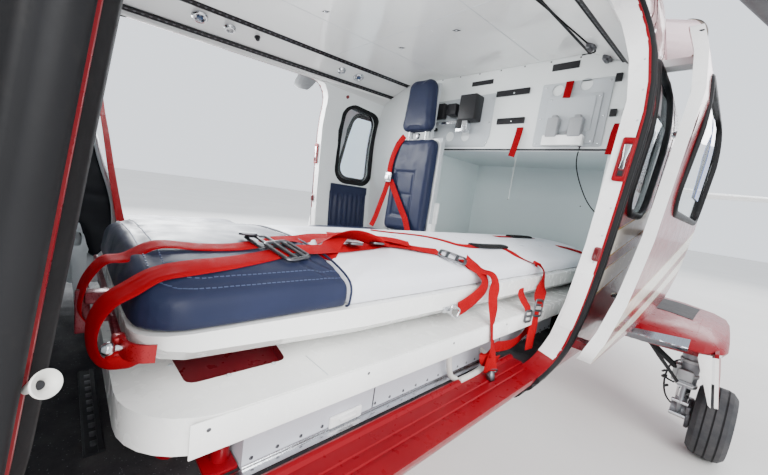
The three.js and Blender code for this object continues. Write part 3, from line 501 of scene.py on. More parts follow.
def deckFinish(at, n):
    inRecess = 0.325 < at.x < 0.565 and cab(0, -0.995, 0).y < at.y < cab(0, -0.795, 0).y
    return darkRed if inRecess and floorUp + 0.149 < at.z < floorUp + 0.1692 else shellWhite


def stubFinish(at, n):
    side = abs(at.x)
    if side > 1.078 and at.z < 0.588 and abs(n.x) > 0.7:
        return shellWhite if n.x * at.x < 0 else plainRed
    if side > 1.07 and at.z < 0.585:
        return shellWhite
    if 0.93 < side < 1.08 and n.z < 0.6 and at.z < 0.575 and 1.22 < at.y + jambAft < 1.63:
        return darkMetal
    return plainRed


def legFinish(at, n):
    return blackPlastic if abs(at.x) < 0.955 and at.z > 0.36 else legMetal


def engineFinish(at, n):
    if abs(at.x) > 0.3 and at.y + jambAft > 1.3:
        inside = n.dot(at - Vector((math.copysign(0.5, at.x), 0.215, 2.34))) < 0
        # the shrouds' outside carries the white paint with its pink painted reflection
        return hotMetal if inside else shroudWhitePaintedReflection
    return darkMetal


plainFinishes = (
    (red, "nose_cone tail_fin tail_boom front_fairing engine_cowling baggage_door"),
    (postWhite, "stabiliser tail_rotor main_wheel_left main_wheel_right nose_wheel"),
    (bladeBlack, "rotor_blade_1 rotor_blade_2 rotor_blade_3 rotor_blade_4"),
    (darkMetal, "rotor_hub"),
    (legMetal, "nose_gear_leg nose_fork"),
    (tyre, "main_tyre_left main_tyre_right"),
    (noseTyre, "nose_tyre"),
    (ceilingWhite, "ceiling_lining"),
    (lining, "aft_wall_panel"),
    (boxMetal, "stretcher_floor_box"),
    (plainRed, "stretcher_deck_leg"),
    (shellWhite, "litter_pan"),
    (greyPlate, "cabin_seat_frame crew_seat_frame"),
    (blackPlastic, "instrument_console"),
    (glass, "cabin_door_glass_left cabin_door_glass_right cockpit_door_glass_left cockpit_door_glass_right"),
    (glass, "rear_window_left rear_window_right windscreen_left windscreen_right"),
)
for finish, names in plainFinishes:
    for name in names.split():
        paintNode(name, lambda at, n, finish=finish: finish)
chosenFinishes = {
    "cabin_frame": cabinFrameFinish, "belly_and_floor": bellyFinish, "aft_fuselage": aftFinish,
    "main_gear_leg_left": legFinish, "main_gear_leg_right": legFinish, "stretcher_deck": deckFinish,
    "cockpit_door_left": doorFinish(red), "cockpit_door_right": doorFinish(red),
    "cabin_door_left": slidDoorFinish, "cabin_door_right": slidDoorFinish,
    "stub_wing_left": stubFinish, "stub_wing_right": stubFinish, "engines_and_gearbox": engineFinish,
}
for name, choose in chosenFinishes.items():
    paintNode(name, choose)
for name in nodes:
    smoothNode(name)
print("solids finished")


# ways to build pieces
def addPiece(name, verts, faces, finish, body="airframe", sharp=32, uvs=None, tidy=True):
    mesh = bpy.data.meshes.new(name)
    mesh.from_pydata([tuple(v) for v in verts], [], faces)
    if uvs:
        layer = mesh.uv_layers.new(name="UVMap")
        for loop in mesh.loops:
            layer.data[loop.index].uv = uvs[loop.vertex_index]
    return settle(name, mesh, finish, body, sharp, tidy)


def settle(name, mesh, finish, body="airframe", sharp=32, tidy=True):
    if tidy:
        bm = bmesh.new()
        bm.from_mesh(mesh)
        bmesh.ops.remove_doubles(bm, verts=bm.verts, dist=0.00001)
        bmesh.ops.recalc_face_normals(bm, faces=bm.faces)
        bm.to_mesh(mesh)
        bm.free()
    for one in finish if isinstance(finish, (list, tuple)) else [finish]:
        mesh.materials.append(one)
    mesh.polygons.foreach_set("use_smooth", [True] * len(mesh.polygons))
    mesh.set_sharp_from_angle(angle=math.radians(sharp))
    made = bpy.data.objects.new(name, mesh)
    scene.collection.objects.link(made)
    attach(made, body)
    return made


def joined(parts):
    # several (verts, faces) lists as one
    verts, faces = [], []
    for v, f in parts:
        start = len(verts)
        verts += v
        faces += [[i + start for i in face] for face in f]
    return verts, faces


def addJoined(name, parts, finish, body="airframe", sharp=32):
    return addPiece(name, *joined(parts), finish, body, sharp)


def loft(rings):
    n = len(rings[0])
    faces = [[i * n + k, i * n + (k + 1) % n, (i + 1) * n + (k + 1) % n, (i + 1) * n + k]
             for i in range(len(rings) - 1) for k in range(n)]
    faces += [list(range(n))[::-1], [(len(rings) - 1) * n + k for k in range(n)]]
    return [p for ring in rings for p in ring], faces


def bevelled(lo, hi, bevel, steps=2):
    # a block with rounded edges, as verts and faces
    bm = bmesh.new()
    bmesh.ops.create_cube(bm, size=1)
    lo, hi = Vector(lo), Vector(hi)
    for v in bm.verts:
        v.co = Vector(((v.co[i] + 0.5) * (hi[i] - lo[i]) + lo[i]) for i in range(3))
    if bevel:
        bevel = min(bevel, 0.45 * min(hi[i] - lo[i] for i in range(3)))
        bmesh.ops.bevel(bm, geom=bm.edges[:], offset=bevel, segments=steps, affect="EDGES", profile=0.5)
    bm.verts.index_update()
    out = [v.co.copy() for v in bm.verts], [[v.index for v in f.verts] for f in bm.faces]
    bm.free()
    return out


def cabBlock(lo, hi, bevel, steps=2):
    return bevelled(cab(*lo), cab(*hi), bevel, steps)


def blocks(name, boxes, finish, bevel=0.002):
    # boxes in cabin measures: x0, x1, aft0, aft1, up0, up1
    return addJoined(name,
        [cabBlock((x0, a0, u0), (x1, a1, u1), bevel) for x0, x1, a0, a1, u0, u1 in boxes], finish)


def smoothPath(points, steps=6):
    # a curve through every point
    pts = [Vector(p) for p in points]
    if len(pts) < 3:
        return pts
    pts = [pts[0] * 2 - pts[1], *pts, pts[-1] * 2 - pts[-2]]
    out = []
    for p0, p1, p2, p3 in zip(pts, pts[1:], pts[2:], pts[3:]):
        for k in range(steps):
            t = k / steps
            out.append(0.5 * (2 * p1 + (p2 - p0) * t + (2 * p0 - 5 * p1 + 4 * p2 - p3) * t * t
                              + (3 * p1 - p0 - 3 * p2 + p3) * t ** 3))
    return out + [pts[-2]]


def sweepLists(path, outs, profile, closed=False):
    # a closed profile (across, outwards) carried along the path; outs are the outward directions
    count, ring = len(path), len(profile)
    verts, uvs = [], []
    run = 0.0
    for i, p in enumerate(path):
        before = path[i - 1] if i > 0 or closed else p
        after = path[(i + 1) % count] if i + 1 < count or closed else p
        ahead = (after - before).normalized()
        out = (outs[i] - ahead * outs[i].dot(ahead)).normalized()
        across = ahead.cross(out)
        if i:
            run += (p - path[i - 1]).length
        for k, (a, b) in enumerate(profile):
            verts.append(p + across * a + out * b)
            uvs.append((a, run))
    faces = []
    for i in range(count if closed else count - 1):
        j = (i + 1) % count
        for k in range(ring):
            m = (k + 1) % ring
            faces.append([i * ring + k, i * ring + m, j * ring + m, j * ring + k])
    if not closed:
        faces.append(list(range(ring))[::-1])
        faces.append([(count - 1) * ring + k for k in range(ring)])
    return verts, faces, uvs


def sweep(name, path, outs, profile, finish, closed=False, sharp=40):
    return addPiece(name, *sweepLists(path, outs, profile, closed)[:2], finish, sharp=sharp)


def disc(radius, sections=10, squash=1.0):
    return [
        (radius * math.cos(2 * math.pi * k / sections),
         radius * squash * math.sin(2 * math.pi * k / sections)) for k in range(sections)
    ]


def aheadAt(path, i):
    return (path[min(i + 1, len(path) - 1)] - path[max(i - 1, 0)]).normalized()


def flatProfile(half, low, high):
    return [(-half, low), (-half, high), (half, high), (half, low)]


def easedProfile(half, inner, low, edge, high):
    return [(-half, low), (-half, edge), (-inner, high), (inner, high), (half, edge), (half, low)]


def collarProfile(bore, radius, half):
    return [(bore, -half), (radius, -half), (radius + 0.002, 0.003 - half),
        (radius + 0.002, half - 0.003), (radius, half), (bore, half)]


def spareOut(path):
    # outward directions that turn as little as possible along the path
    outs = []
    last = Vector((0.13, 0.21, 1.0))
    for i in range(len(path)):
        ahead = aheadAt(path, i)
        last = (last - ahead * last.dot(ahead)).normalized()
        outs.append(last)
    return outs


def rodLists(path, radius, sections, squash=1.0):
    return sweepLists(path, spareOut(path), disc(radius, sections, squash))[:2]


def tube(name, points, radius, finish, sections=10, steps=6):
    path = smoothPath(points, steps)
    return sweep(name, path, spareOut(path), disc(radius, sections), finish)


def tubes(name, runs, finish, sections=10, steps=5, body="airframe"):
    # several round rods in one piece: (points, radius)
    parts = []
    for points, radius in runs:
        parts.append(rodLists(smoothPath(points, steps), radius, sections))
    return addJoined(name, parts, finish, body)


def axisFrame(axis):
    w = Vector(axis).normalized()
    u = Vector((0, 0, 1)).cross(w)
    if u.length < 0.05:
        u = Vector((0, 1, 0)).cross(w)
    u.normalize()
    return u, w.cross(u), w


def turnedLists(profile, place, axis, sections=24):
    # profile of (radius, height) turned round an axis
    u, v, w = axisFrame(axis)
    verts, faces = [], []
    ring = len(profile)
    for k in range(sections):
        t = 2 * math.pi * k / sections
        spoke = u * math.cos(t) + v * math.sin(t)
        verts += [Vector(place) + spoke * r + w * h for r, h in profile]
    for k in range(sections):
        j = (k + 1) % sections
        for i in range(ring - 1):
            faces.append([k * ring + i, j * ring + i, j * ring + i + 1, k * ring + i + 1])
    return verts, faces


def turnedPiece(name, profile, place, axis, finish, sections=24, body="airframe", sharp=32):
    return addPiece(name, *turnedLists(profile, place, axis, sections), finish, body, sharp)


def square(x0, x1, z0, z1):
    return [(x0, z0), (x1, z0), (x1, z1), (x0, z1)]


def roundedOutline(points, radii, steps=5):
    out = []
    for i, corner in enumerate(points):
        r = radii[i] if isinstance(radii, (list, tuple)) else radii
        at = Vector(corner)
        if r <= 0:
            out.append(tuple(at))
            continue
        a = (Vector(points[i - 1]) - at).normalized()
        b = (Vector(points[(i + 1) % len(points)]) - at).normalized()
        half = math.acos(max(-1, min(1, a.dot(b)))) / 2
        centre = at + (a + b).normalized() * (r / math.sin(half))
        start = at + a * (r / math.tan(half)) - centre
        end = at + b * (r / math.tan(half)) - centre
        t0 = math.atan2(start.y, start.x)
        sweepBy = (math.atan2(end.y, end.x) - t0 + math.pi) % (2 * math.pi) - math.pi
        for k in range(steps + 1):
            t = t0 + sweepBy * k / steps
            out.append((centre.x + r * math.cos(t), centre.y + r * math.sin(t)))
    return out


def grownOutline(points, d):
    # outline moved outwards by d
    area = sum(p[0] * q[1] - q[0] * p[1] for p, q in zip(points, points[1:] + points[:1]))
    turnSign = 1 if area > 0 else -1
    out = []
    for i, p in enumerate(points):
        a, b = Vector(points[i - 1]), Vector(points[(i + 1) % len(points)])
        u, v = (Vector(p) - a).normalized(), (b - Vector(p)).normalized()
        nu, nv = Vector((u.y, -u.x)) * turnSign, Vector((v.y, -v.x)) * turnSign
        middle = (nu + nv).normalized()
        out.append(tuple(Vector(p) + middle * (d / middle.dot(nu))))
    return out


def cutPlate(name, outline, place, u, v, thick, finish, bevel=0.0015, holes=()):
    # a flat outline with holes, thickened and with eased edges; faces along u x v
    return addPiece(name, *plateLists(outline, place, u, v, thick, bevel, holes), finish)


def plateLists(outline, place, u, v, thick, bevel=0.0015, holes=()):
    u, v = Vector(u).normalized(), Vector(v).normalized()
    w = u.cross(v).normalized()
    curve = bpy.data.curves.new("plateOutline", "CURVE")
    curve.dimensions = "2D"
    curve.fill_mode = "BOTH"
    for loop in (outline, *holes):
        spline = curve.splines.new("POLY")
        spline.points.add(len(loop) - 1)
        for point, (a, b) in zip(spline.points, loop):
            point.co = (a, b, 0, 1)
        spline.use_cyclic_u = True
    curve.extrude = max(thick / 2 - bevel, 0.0001)
    curve.bevel_depth = bevel
    curve.bevel_resolution = 1
    curve.offset = -bevel
    holder = bpy.data.objects.new("plateOutline", curve)
    scene.collection.objects.link(holder)
    graph = bpy.context.evaluated_depsgraph_get()
    mesh = bpy.data.meshes.new_from_object(holder.evaluated_get(graph))
    verts = [Vector(place) + u * p.co.x + v * p.co.y + w * (p.co.z + thick / 2) for p in mesh.vertices]
    faces = [list(p.vertices) for p in mesh.polygons]
    bpy.data.objects.remove(holder)
    bpy.data.curves.remove(curve)
    bpy.data.meshes.remove(mesh)
    return verts, faces


# Geometry Nodes: one small part set on every guide point, turned to the point's own direction
repeatShapes = {
    "dome": ("GeometryNodeMeshUVSphere", {"Segments": 7, "Rings": 4, "Radius": 0.5}),
    "screw": ("GeometryNodeMeshCylinder", {"Vertices": 10, "Radius": 0.5, "Depth": 1.0}),
    "slot": ("GeometryNodeMeshCube", {}),
}


def repeatTree(kind):
    tree = bpy.data.node_groups.new("repeat_" + kind, "GeometryNodeTree")
    face = tree.interface
    face.new_socket("Guide", in_out="INPUT", socket_type="NodeSocketGeometry")
    for label, value in (("Width", 0.004), ("Length", 0.004), ("Height", 0.001)):
        face.new_socket(label, in_out="INPUT", socket_type="NodeSocketFloat").default_value = value
    face.new_socket("Finish", in_out="INPUT", socket_type="NodeSocketMaterial")
    face.new_socket("Geometry", in_out="OUTPUT", socket_type="NodeSocketGeometry")
    new, link = tree.nodes.new, tree.links.new
    first, last = new("NodeGroupInput"), new("NodeGroupOutput")
    shape, sizes = repeatShapes[kind]
    part = new(shape)
    for label, value in sizes.items():
        part.inputs[label].default_value = value
    size = new("ShaderNodeCombineXYZ")
    for axis in range(3):
        link(first.outputs[axis + 1], size.inputs[axis])
    facing, along = new("GeometryNodeInputNamedAttribute"), new("GeometryNodeInputNamedAttribute")
    for read, label in ((facing, "facing"), (along, "along")):
        read.data_type = "FLOAT_VECTOR"
        read.inputs["Name"].default_value = label
    stand, aim = new("FunctionNodeAlignRotationToVector"), new("FunctionNodeAlignRotationToVector")
    stand.axis = "Z"
    aim.axis = "Y"
    aim.pivot_axis = "Z"
    spread = new("GeometryNodeInstanceOnPoints")
    real = new("GeometryNodeRealizeInstances")
    coat = new("GeometryNodeSetMaterial")
    link(first.outputs[4], coat.inputs["Material"])
    for a, b, socket in ((facing, stand, "Vector"), (stand, aim, "Rotation"), (along, aim, "Vector"),
            (first, spread, "Points"), (part, spread, "Instance"), (aim, spread, "Rotation"),
            (size, spread, "Scale"), (spread, real, 0), (real, coat, 0), (coat, last, 0)):
        link(a.outputs[0], b.inputs[socket])
    return tree


repeatTrees = {kind: repeatTree(kind) for kind in repeatShapes}


def repeated(name, kind, spots, size, finish, body="airframe"):
    # spots: (place, facing) or (place, facing, along)
    mesh = bpy.data.meshes.new(name + "Guide")
    mesh.from_pydata([tuple(s[0]) for s in spots], [], [])
    for label, pick in (("facing", 1), ("along", 2)):
        layer = mesh.attributes.new(label, "FLOAT_VECTOR", "POINT")
        for i, s in enumerate(spots):
            layer.data[i].vector = s[pick] if len(s) > pick else (0, 1, 0.001)
    guide = bpy.data.objects.new(name + "Guide", mesh)
    scene.collection.objects.link(guide)
    layout = guide.modifiers.new("repeat", "NODES")
    tree = repeatTrees[kind]
    layout.node_group = tree
    given = {"Width": size[0], "Length": size[1], "Height": size[2], "Finish": finish}
    for item in tree.interface.items_tree:
        if item.item_type == "SOCKET" and item.in_out == "INPUT" and item.name in given:
            layout[item.identifier] = given[item.name]
    graph = bpy.context.evaluated_depsgraph_get()
    result = bpy.data.meshes.new_from_object(guide.evaluated_get(graph))
    bpy.data.objects.remove(guide)
    result.materials.clear()
    return settle(name, result, finish, body, 32, tidy=False)


def spaced(a, b, step):
    # evenly spaced places from a to b
    a, b = Vector(a), Vector(b)
    count = max(1, round((b - a).length / step))
    return [a.lerp(b, k / count) for k in range(count + 1)]


def placed(lists, place, along, out):
    # lists measured (along, across, out) put at a place on a skin
    out = Vector(out).normalized()
    along = (Vector(along) - out * Vector(along).dot(out)).normalized()
    across = out.cross(along)
    return [Vector(place) + along * v[0] + across * v[1] + out * v[2] for v in lists[0]], lists[1]


print("shape helpers ready")


# free cords: the cable down the bay, the tag's string, the brake hoses
def freeCord(name, points, diameter, finish, steps=4):
    path = smoothPath(points, steps)
    made = sweep(name, path, spareOut(path), disc(diameter / 2, 8), finish)
    return made


cordLook = {"cable": 0.005, "string": 0.0016, "hose": 0.009}
cableRun = [(0.534, 0.409, 0.79), (0.535, 0.413, 0.768), (0.524, 0.44, 0.735), (0.518, 0.478, 0.7),
    (0.522, 0.515, 0.66), (0.534, 0.542, 0.62), (0.553, 0.56, 0.578), (0.576, 0.574, 0.543),
    (0.601, 0.588, 0.518), (0.626, 0.602, 0.505), (0.65, 0.614, 0.5)]
grommet = turnedPiece("cableGrommet",
    [(0.0028, 0.006), (0.006, 0.005), (0.007, 0.002), (0.007, -0.004), (0.0028, -0.004), (0.0028, 0.006)],
    cab(0.534, 0.412, 0.777), (0, 0.2, -1), blackPlastic, 14)
freeCord("bayCable", cabPath(cableRun), cordLook["cable"], blackPlastic)
stringRun = [(0.272, 0.4145, 0.747 - 0.0143 * k) for k in range(16)]
knot = turnedPiece("stringKnot",
    [(0.0, 0.003), (0.0022, 0.002), (0.003, 0.0), (0.0022, -0.003), (0.0, -0.004)],
    cab(0.272, 0.4145, 0.531), (0, 0, -1), whiteRubber, 10)
freeCord("tagString", cabPath(stringRun), cordLook["string"], whiteRubber,
    steps=2)
for word, side in (("Left", 1), ("Right", -1)):
    run = [(0.964, 4.935, 0.46), (0.95, 4.93, 0.452), (0.934, 4.926, 0.43), (0.924, 4.925, 0.395),
        (0.92, 4.928, 0.352), (0.922, 4.932, 0.308), (0.93, 4.938, 0.266), (0.946, 4.944, 0.23),
        (0.97, 4.95, 0.206), (1.0, 4.955, 0.193), (1.022, 4.958, 0.189)]
    freeCord(f"brakeHose{word}",
        [Vector((side * x, station - originStation, z)) for x, station, z in run], cordLook["hose"],
        blackPlastic)
print("cords laid")


# bands of rubber and trim that follow an opening in the body's side
def edgePoints(outline, radii, d, cuts=10, steps=6):
    # the outline grown by d with round corners, and points along its straight runs
    grown = grownOutline(outline, d)
    radii = radii if isinstance(radii, (list, tuple)) else [radii] * len(outline)
    ring = roundedOutline(grown, [max(r + d, 0.001) for r in radii], steps)
    out = []
    for i, p in enumerate(ring):
        out.append(p)
        if i % (steps + 1) == steps:
            q = ring[(i + 1) % len(ring)]
            out += [
                (p[0] + (q[0] - p[0]) * k / cuts, p[1] + (q[1] - p[1]) * k / cuts) for k in range(1, cuts)
            ]
    return out, steps + cuts


def bandLists(outline, radii, profile, side=1, run=None, slide=(0, 0, 0), depth=0.0, facing=1):
    # profile (out from the edge, proud); run = (first corner, last corner) or None for all round;
    # depth inwards of the skin
    loops = []
    for d, high in profile:
        ring, per = edgePoints(outline, radii, d)
        if run:
            count = ((run[1] - run[0]) % len(outline)) * per + 7
            ring = (ring[run[0] * per:] + ring[:run[0] * per])[:count]
        loop = []
        for aft, up in ring:
            at = cab(0, aft, up)
            loop.append(
                skinPoint(at.y, at.z, facing * high - depth, side)
                + Vector((side * slide[0], slide[1], slide[2])))
        loops.append(loop)
    count, n = len(loops[0]), len(loops)
    verts = [loops[k][i] for i in range(count) for k in range(n)]
    faces = [[i * n + k, i * n + (k + 1) % n, (i + 1) % count * n + (k + 1) % n, (i + 1) % count * n + k]
             for i in range(count if not run else count - 1) for k in range(n)]
    if run:
        faces += [list(range(n)), [(count - 1) * n + k for k in range(n)]]
    return verts, faces


def humped(half, high):
    # a soft rubber rib: flat foot, round back
    out = [(-half, -0.003)]
    for k in range(7):
        t = math.pi * k / 6
        out.append((-half * math.cos(t), high * (0.25 + 0.75 * math.sin(t))))
    return out + [(half, -0.003)]


# cabin door openings: seals, edge line, reveal, sill, both sides
doorLook = {
    "outline": [(-1.2, 0), (0, 0), (0, 1.06), (-1.05, 1.012), (-1.097, 0.56), (-1.134, 0.268)],
    "corners": [0.05, 0.1, 0.11, 0.12, 0.4, 0.4],
    "seal": [(0.0008, -0.002), (0.0008, 0.01), (0.004, 0.0135), (0.011, 0.0145), (0.018, 0.012),
        (0.022, 0.006), (0.027, 0.006), (0.032, 0.0105), (0.04, 0.0125), (0.049, 0.0095), (0.054, 0.003),
        (0.062, 0.0025), (0.068, 0.005), (0.078, 0.006), (0.088, 0.004), (0.093, 0.0012),
        (0.094, -0.002)],
    "sillInner": 0.604,
    "revealDeep": 0.031,
    "revealRibs": [(-0.029, -0.001), (-0.029, 0.002), (-0.024, 0.006), (-0.016, 0.0075), (-0.008, 0.006),
        (-0.004, 0.0025), (0.001, 0.0025), (0.005, 0.006), (0.013, 0.0085), (0.021, 0.0065),
        (0.027, 0.002), (0.029, -0.001)],
}


def revealRun(side, first, last):
    # along the reveal, inboard of the skin; facing into the opening
    ring, per = edgePoints(doorLook["outline"], doorLook["corners"], -0.0008)
    ring = (ring[first * per:] + ring[:first * per])[:(last - first) * per + 7]
    places = []
    for aft, up in ring:
        at = cab(0, aft, up)
        places.append(skinPoint(at.y, at.z, -doorLook["revealDeep"], side))
    middle = cab(0, -0.55, 0.5)
    inward = []
    for i, p in enumerate(places):
        ahead = aheadAt(places, i)
        n = ahead.cross(Vector((1, 0, 0))).normalized()
        inward.append(n if n.dot(middle - p) > 0 else -n)
    return places, inward


for word, side in (("Left", 1), ("Right", -1)):
    look = doorLook
    addPiece(f"doorSeals{word}", *bandLists(look["outline"], look["corners"], look["seal"], side, (1, 5)),
        sealGloss, sharp=60)
    lines = []
    for wide, run in ((0.0012, (3, 5)), (0.0006, (1, 3))):
        lines.append(
            bandLists(look["outline"], look["corners"],
                [(-wide, -0.003), (-wide, 0.0012), (-wide / 2, 0.0028), (0.001, 0.003), (0.001, -0.003)],
                side, run))
    addJoined(f"doorEdgeLine{word}", lines, plainRed, sharp=60)
    ring, inward = revealRun(side, 3, 5)
    sweep(f"doorReveal{word}", ring, inward, look["revealRibs"], sealRubber, sharp=60)
    # sill: lip, grooves and the flange that turns down over the skin
    inner = look["sillInner"]
    edge = [(inner, -0.001), (inner, 0.009), (inner + 0.006, 0.012), (inner + 0.013, 0.01),
        (inner + 0.018, 0.0035), (inner + 0.045, 0.0035), (inner + 0.047, 0.0008),
        (inner + 0.053, 0.0008), (inner + 0.055, 0.0035), (inner + 0.07, 0.0035), (inner + 0.072, 0.0008),
        (inner + 0.078, 0.0008), (inner + 0.08, 0.0035)]
    for up in (0.0035, 0.001, -0.006, -0.016, -0.028):
        at = cab(0, -0.6, up)
        edge.append((skinX(at.y, at.z) + (0.001 if up > 0 else 0.003), up))
    edge += [(skinX(cab(0, -0.6, 0).y, 0.622) - 0.001, -0.028), (inner + 0.09, -0.001)]
    stations = (-1.165, -1.0, -0.8, -0.6, -0.4, -0.2, -0.045)
    addPiece(f"doorSill{word}", *loft([[cab(side * x, aft, up) for x, up in edge] for aft in stations]),
        plainRed, sharp=25)

# rivets down the white post, a corner trim, a clearance lamp and a recessed red handle plate, both sides
postLook = {
    "rivets": (0.2, 0.245, 0.29, 0.36, 0.44, 0.52, 0.6, 0.76, 0.84, 0.92), "plate": (0.595, 0.715),
    "lamp": 0.385,
}


def onPost(side, up, inboard, proud=0.0):
    # on the reveal's aft face, inboard of the skin
    at = cab(0, 0, up)
    return skinPoint(at.y, at.z, -inboard, side) + Vector((0, -proud, 0))


rivets, plates, levers, pockets, slots, lamps, bezels, trims = ([] for k in range(8))
for side in (1, -1):
    for up in postLook["rivets"]:
        for inboard in ((0.012,) if up > 0.3 else (0.01, 0.034)):
            rivets.append((onPost(side, up, inboard), Vector((0, -1, 0))))
    low, high = postLook["plate"]
    a, b = onPost(side, low, 0.0155), onPost(side, high, 0.0155)
    lean = (b - a).normalized()
    across = Vector((0, 1, 0)).cross(lean) * side
    middle = (a + b) / 2 + Vector((0, -0.0052, 0))
    size = (b - a).length / 2
    rim = roundedOutline(square(-size, size, -0.0165, 0.0165), 0.006, 4)
    hole = roundedOutline(square(-size * 0.78, size * 0.74, -0.01, 0.01), 0.004, 3)
    plates.append(plateLists(rim, middle, lean, across, 0.0055, 0.0015, [hole]))
    pockets.append(
        plateLists(grownOutline(hole, 0.001), middle + Vector((0, 0.0035, 0)), lean, across, 0.0015,
            0.0003))
    slot = square(-size * 0.74, -size * 0.5, -0.006, 0.006)
    slots.append(plateLists(slot, middle + Vector((0, 0.002, 0)), lean, across, 0.0025, 0.0004))
    lever = roundedOutline(
        [(-size * 0.45, -0.006), (-size * 0.3, -0.006), (0, -0.0045), (size * 0.35, -0.0075),
         (size * 0.68, -0.0085), (size * 0.68, 0.0085), (size * 0.35, 0.0075), (0, 0.0045),
         (-size * 0.3, 0.006), (-size * 0.45, 0.006)], 0.002, 2)
    levers.append(plateLists(lever, middle + Vector((0, -0.001, 0)), lean, across, 0.006, 0.0015))
    lamp = onPost(side, postLook["lamp"], 0.01)
    tall = roundedOutline(square(-0.021, 0.021, -0.01, 0.01), 0.007, 4)
    up3 = (onPost(side, 0.42, 0.01) - onPost(side, 0.36, 0.01)).normalized()
    side3 = Vector((0, 1, 0)).cross(up3) * side
    bezels.append(plateLists(tall, lamp + Vector((0, -0.004, 0)), up3, side3, 0.005, 0.0015))
    lamps.append(
        plateLists(grownOutline(tall, -0.004), lamp + Vector((0, -0.009, 0)), up3, side3, 0.006, 0.0025))
    # joggled plates where the post meets the sill
    strip = []
    for k in range(9):
        up = 0.145 + 0.18 * k / 8
        strip.append(
            [onPost(side, up, i, 0.0022 if 0 < j < 3 else 0.0)
             for j, i in enumerate((0.001, 0.002, 0.043, 0.0445))])
    trims.append(loft(strip))
repeated("postRivets", "dome", rivets, (0.0062, 0.0062, 0.003), greyPlate)
addJoined("handlePlates", plates, plainRed)
addJoined("handlePockets", pockets, darkRed)
addJoined("handleSlots", slots, blackPlastic)
addJoined("handleLevers", levers, brightMetal)
addJoined("sillLampBezels", bezels, darkRed)
addJoined("sillLampLenses", lamps,
    surface("lampRed", (0.1, 0.008, 0.01), 0.12, 0.1, 20, 300, Coat_Weight=0.8))
addJoined("postTrims", trims, postWhite, sharp=30)
# white coves between the lining's lower edge and the top of the door openings
ceilingLook = {"up": 1.1217, "slope": 0.058, "edge": 0.498, "fall": 0.4286}
coves = []
for side in (1, -1):
    rings = []
    for k in range(13):
        aft = -1.09 + 1.5 * k / 12
        lowEdge = ceilingLook["up"] + ceilingLook["slope"] * aft - ceilingLook["fall"] * 0.154 - 0.004
        top = min(1.055, 1.012 + 0.048 * (aft + 1.05) / 1.05)
        at = cab(0, aft, top)
        wallX = skinX(at.y, at.z) - 0.046
        rings.append(
            [cab(side * x, aft, up)
             for x, up in ((0.64, lowEdge + 0.01), (0.652, lowEdge - 0.006), (wallX - 0.012, top - 0.006),
                 (wallX, top - 0.014), (wallX, top + 0.004), (0.655, lowEdge + 0.014))])
    coves.append(loft(rings))
addJoined("ceilingCoves", coves, ceilingWhite, sharp=24)
print("door frames done")

# cream trumpet stop on the front post, hollow, with a black plug in its throat as painted shade deep in the
# hollow
stopAt, stopAxis = cab(0.79, -1.1195, 0.337), (0.72, 0.56, 0.4)
turnedPiece("doorStop",
    [(0.0, -0.006), (0.002, -0.005), (0.0023, 0.0), (0.0039, 0.0039), (0.0064, 0.006), (0.0076, 0.0064),
     (0.0081, 0.0058), (0.0079, 0.0048), (0.0059, 0.0031), (0.004, 0.0), (0.0034, -0.006),
     (0.0038, -0.03), (0.0, -0.03)], stopAt, stopAxis, whiteRubber, 28)
turnedPiece("doorStopThroatShade",
    [(0.0, 0.001), (0.0024, 0.001), (0.0027, 0.0004), (0.0027, -0.002), (0.0, -0.002)], stopAt, stopAxis,
    blackPlastic, 20)

# window rubbers: rear side windows inside and out, slid door windows, cockpit door windows
windowLook = {
    "corner": 0.07,
    "rear": [(0.132, 0.52), (0.4, 0.52), (0.412, 0.965), (0.146, 0.985)],
    "cabin": [(-1.0, 0.48), (-0.12, 0.48), (-0.12, 0.95), (-0.9, 0.905)],
    "cockpit": [(-2.25, 0.62), (-1.36, 0.565), (-1.31, 1.01), (-1.795, 1.025), (-2.25, 0.685)],
    "cockpitCorners": [0.028, 0.06, 0.06, 0.06, 0.04],
    "rubber": [(-0.007, -0.012), (-0.007, 0.002), (-0.003, 0.0055), (0.006, 0.0065), (0.012, 0.0045),
        (0.015, 0.0), (0.015, -0.004)],
    "insideRubber": [(-0.0075, -0.014), (-0.0075, 0.002), (-0.003, 0.006), (0.008, 0.007),
        (0.019, 0.0055), (0.025, 0.0), (0.025, -0.004)],
}
for word, side in (("Left", 1), ("Right", -1)):
    look = windowLook
    for name, opening, slide, depth in ((f"rearWindowRubber{word}", look["rear"], (0, 0, 0), 0.045),
                                        (f"slidWindowRubber{word}", look["cabin"], doorSlide, 0.03)):
        outside = bandLists(opening, look["corner"], look["rubber"], side, slide=slide)
        inside = bandLists(opening, look["corner"], look["insideRubber"], side, slide=slide, depth=depth,
            facing=-1)
        addJoined(name, [outside, inside], sealGloss, sharp=50)
    addPiece(f"cockpitWindowRubber{word}",
        *bandLists(look["cockpit"], look["cockpitCorners"], look["rubber"], side), sealGloss,
        f"cockpit_door_{word.lower()}", sharp=50)
print("window rubbers done")


# cabin: ceiling rails, wall plates, tags, tracks
def underCeiling(x, aft, drop=0.0):
    # a point on the ceiling lining, and the way it faces
    slope, edge, fall = (ceilingLook[key] for key in ("slope", "edge", "fall"))
    up = ceilingLook["up"] + slope * aft
    facing = Vector((0, slope, -1)).normalized()
    if abs(x) > edge:
        up -= fall * (abs(x) - edge)
        facing = Vector((-math.copysign(fall, x), slope, -1)).normalized()
    return cab(x, aft, up) + facing * drop, facing


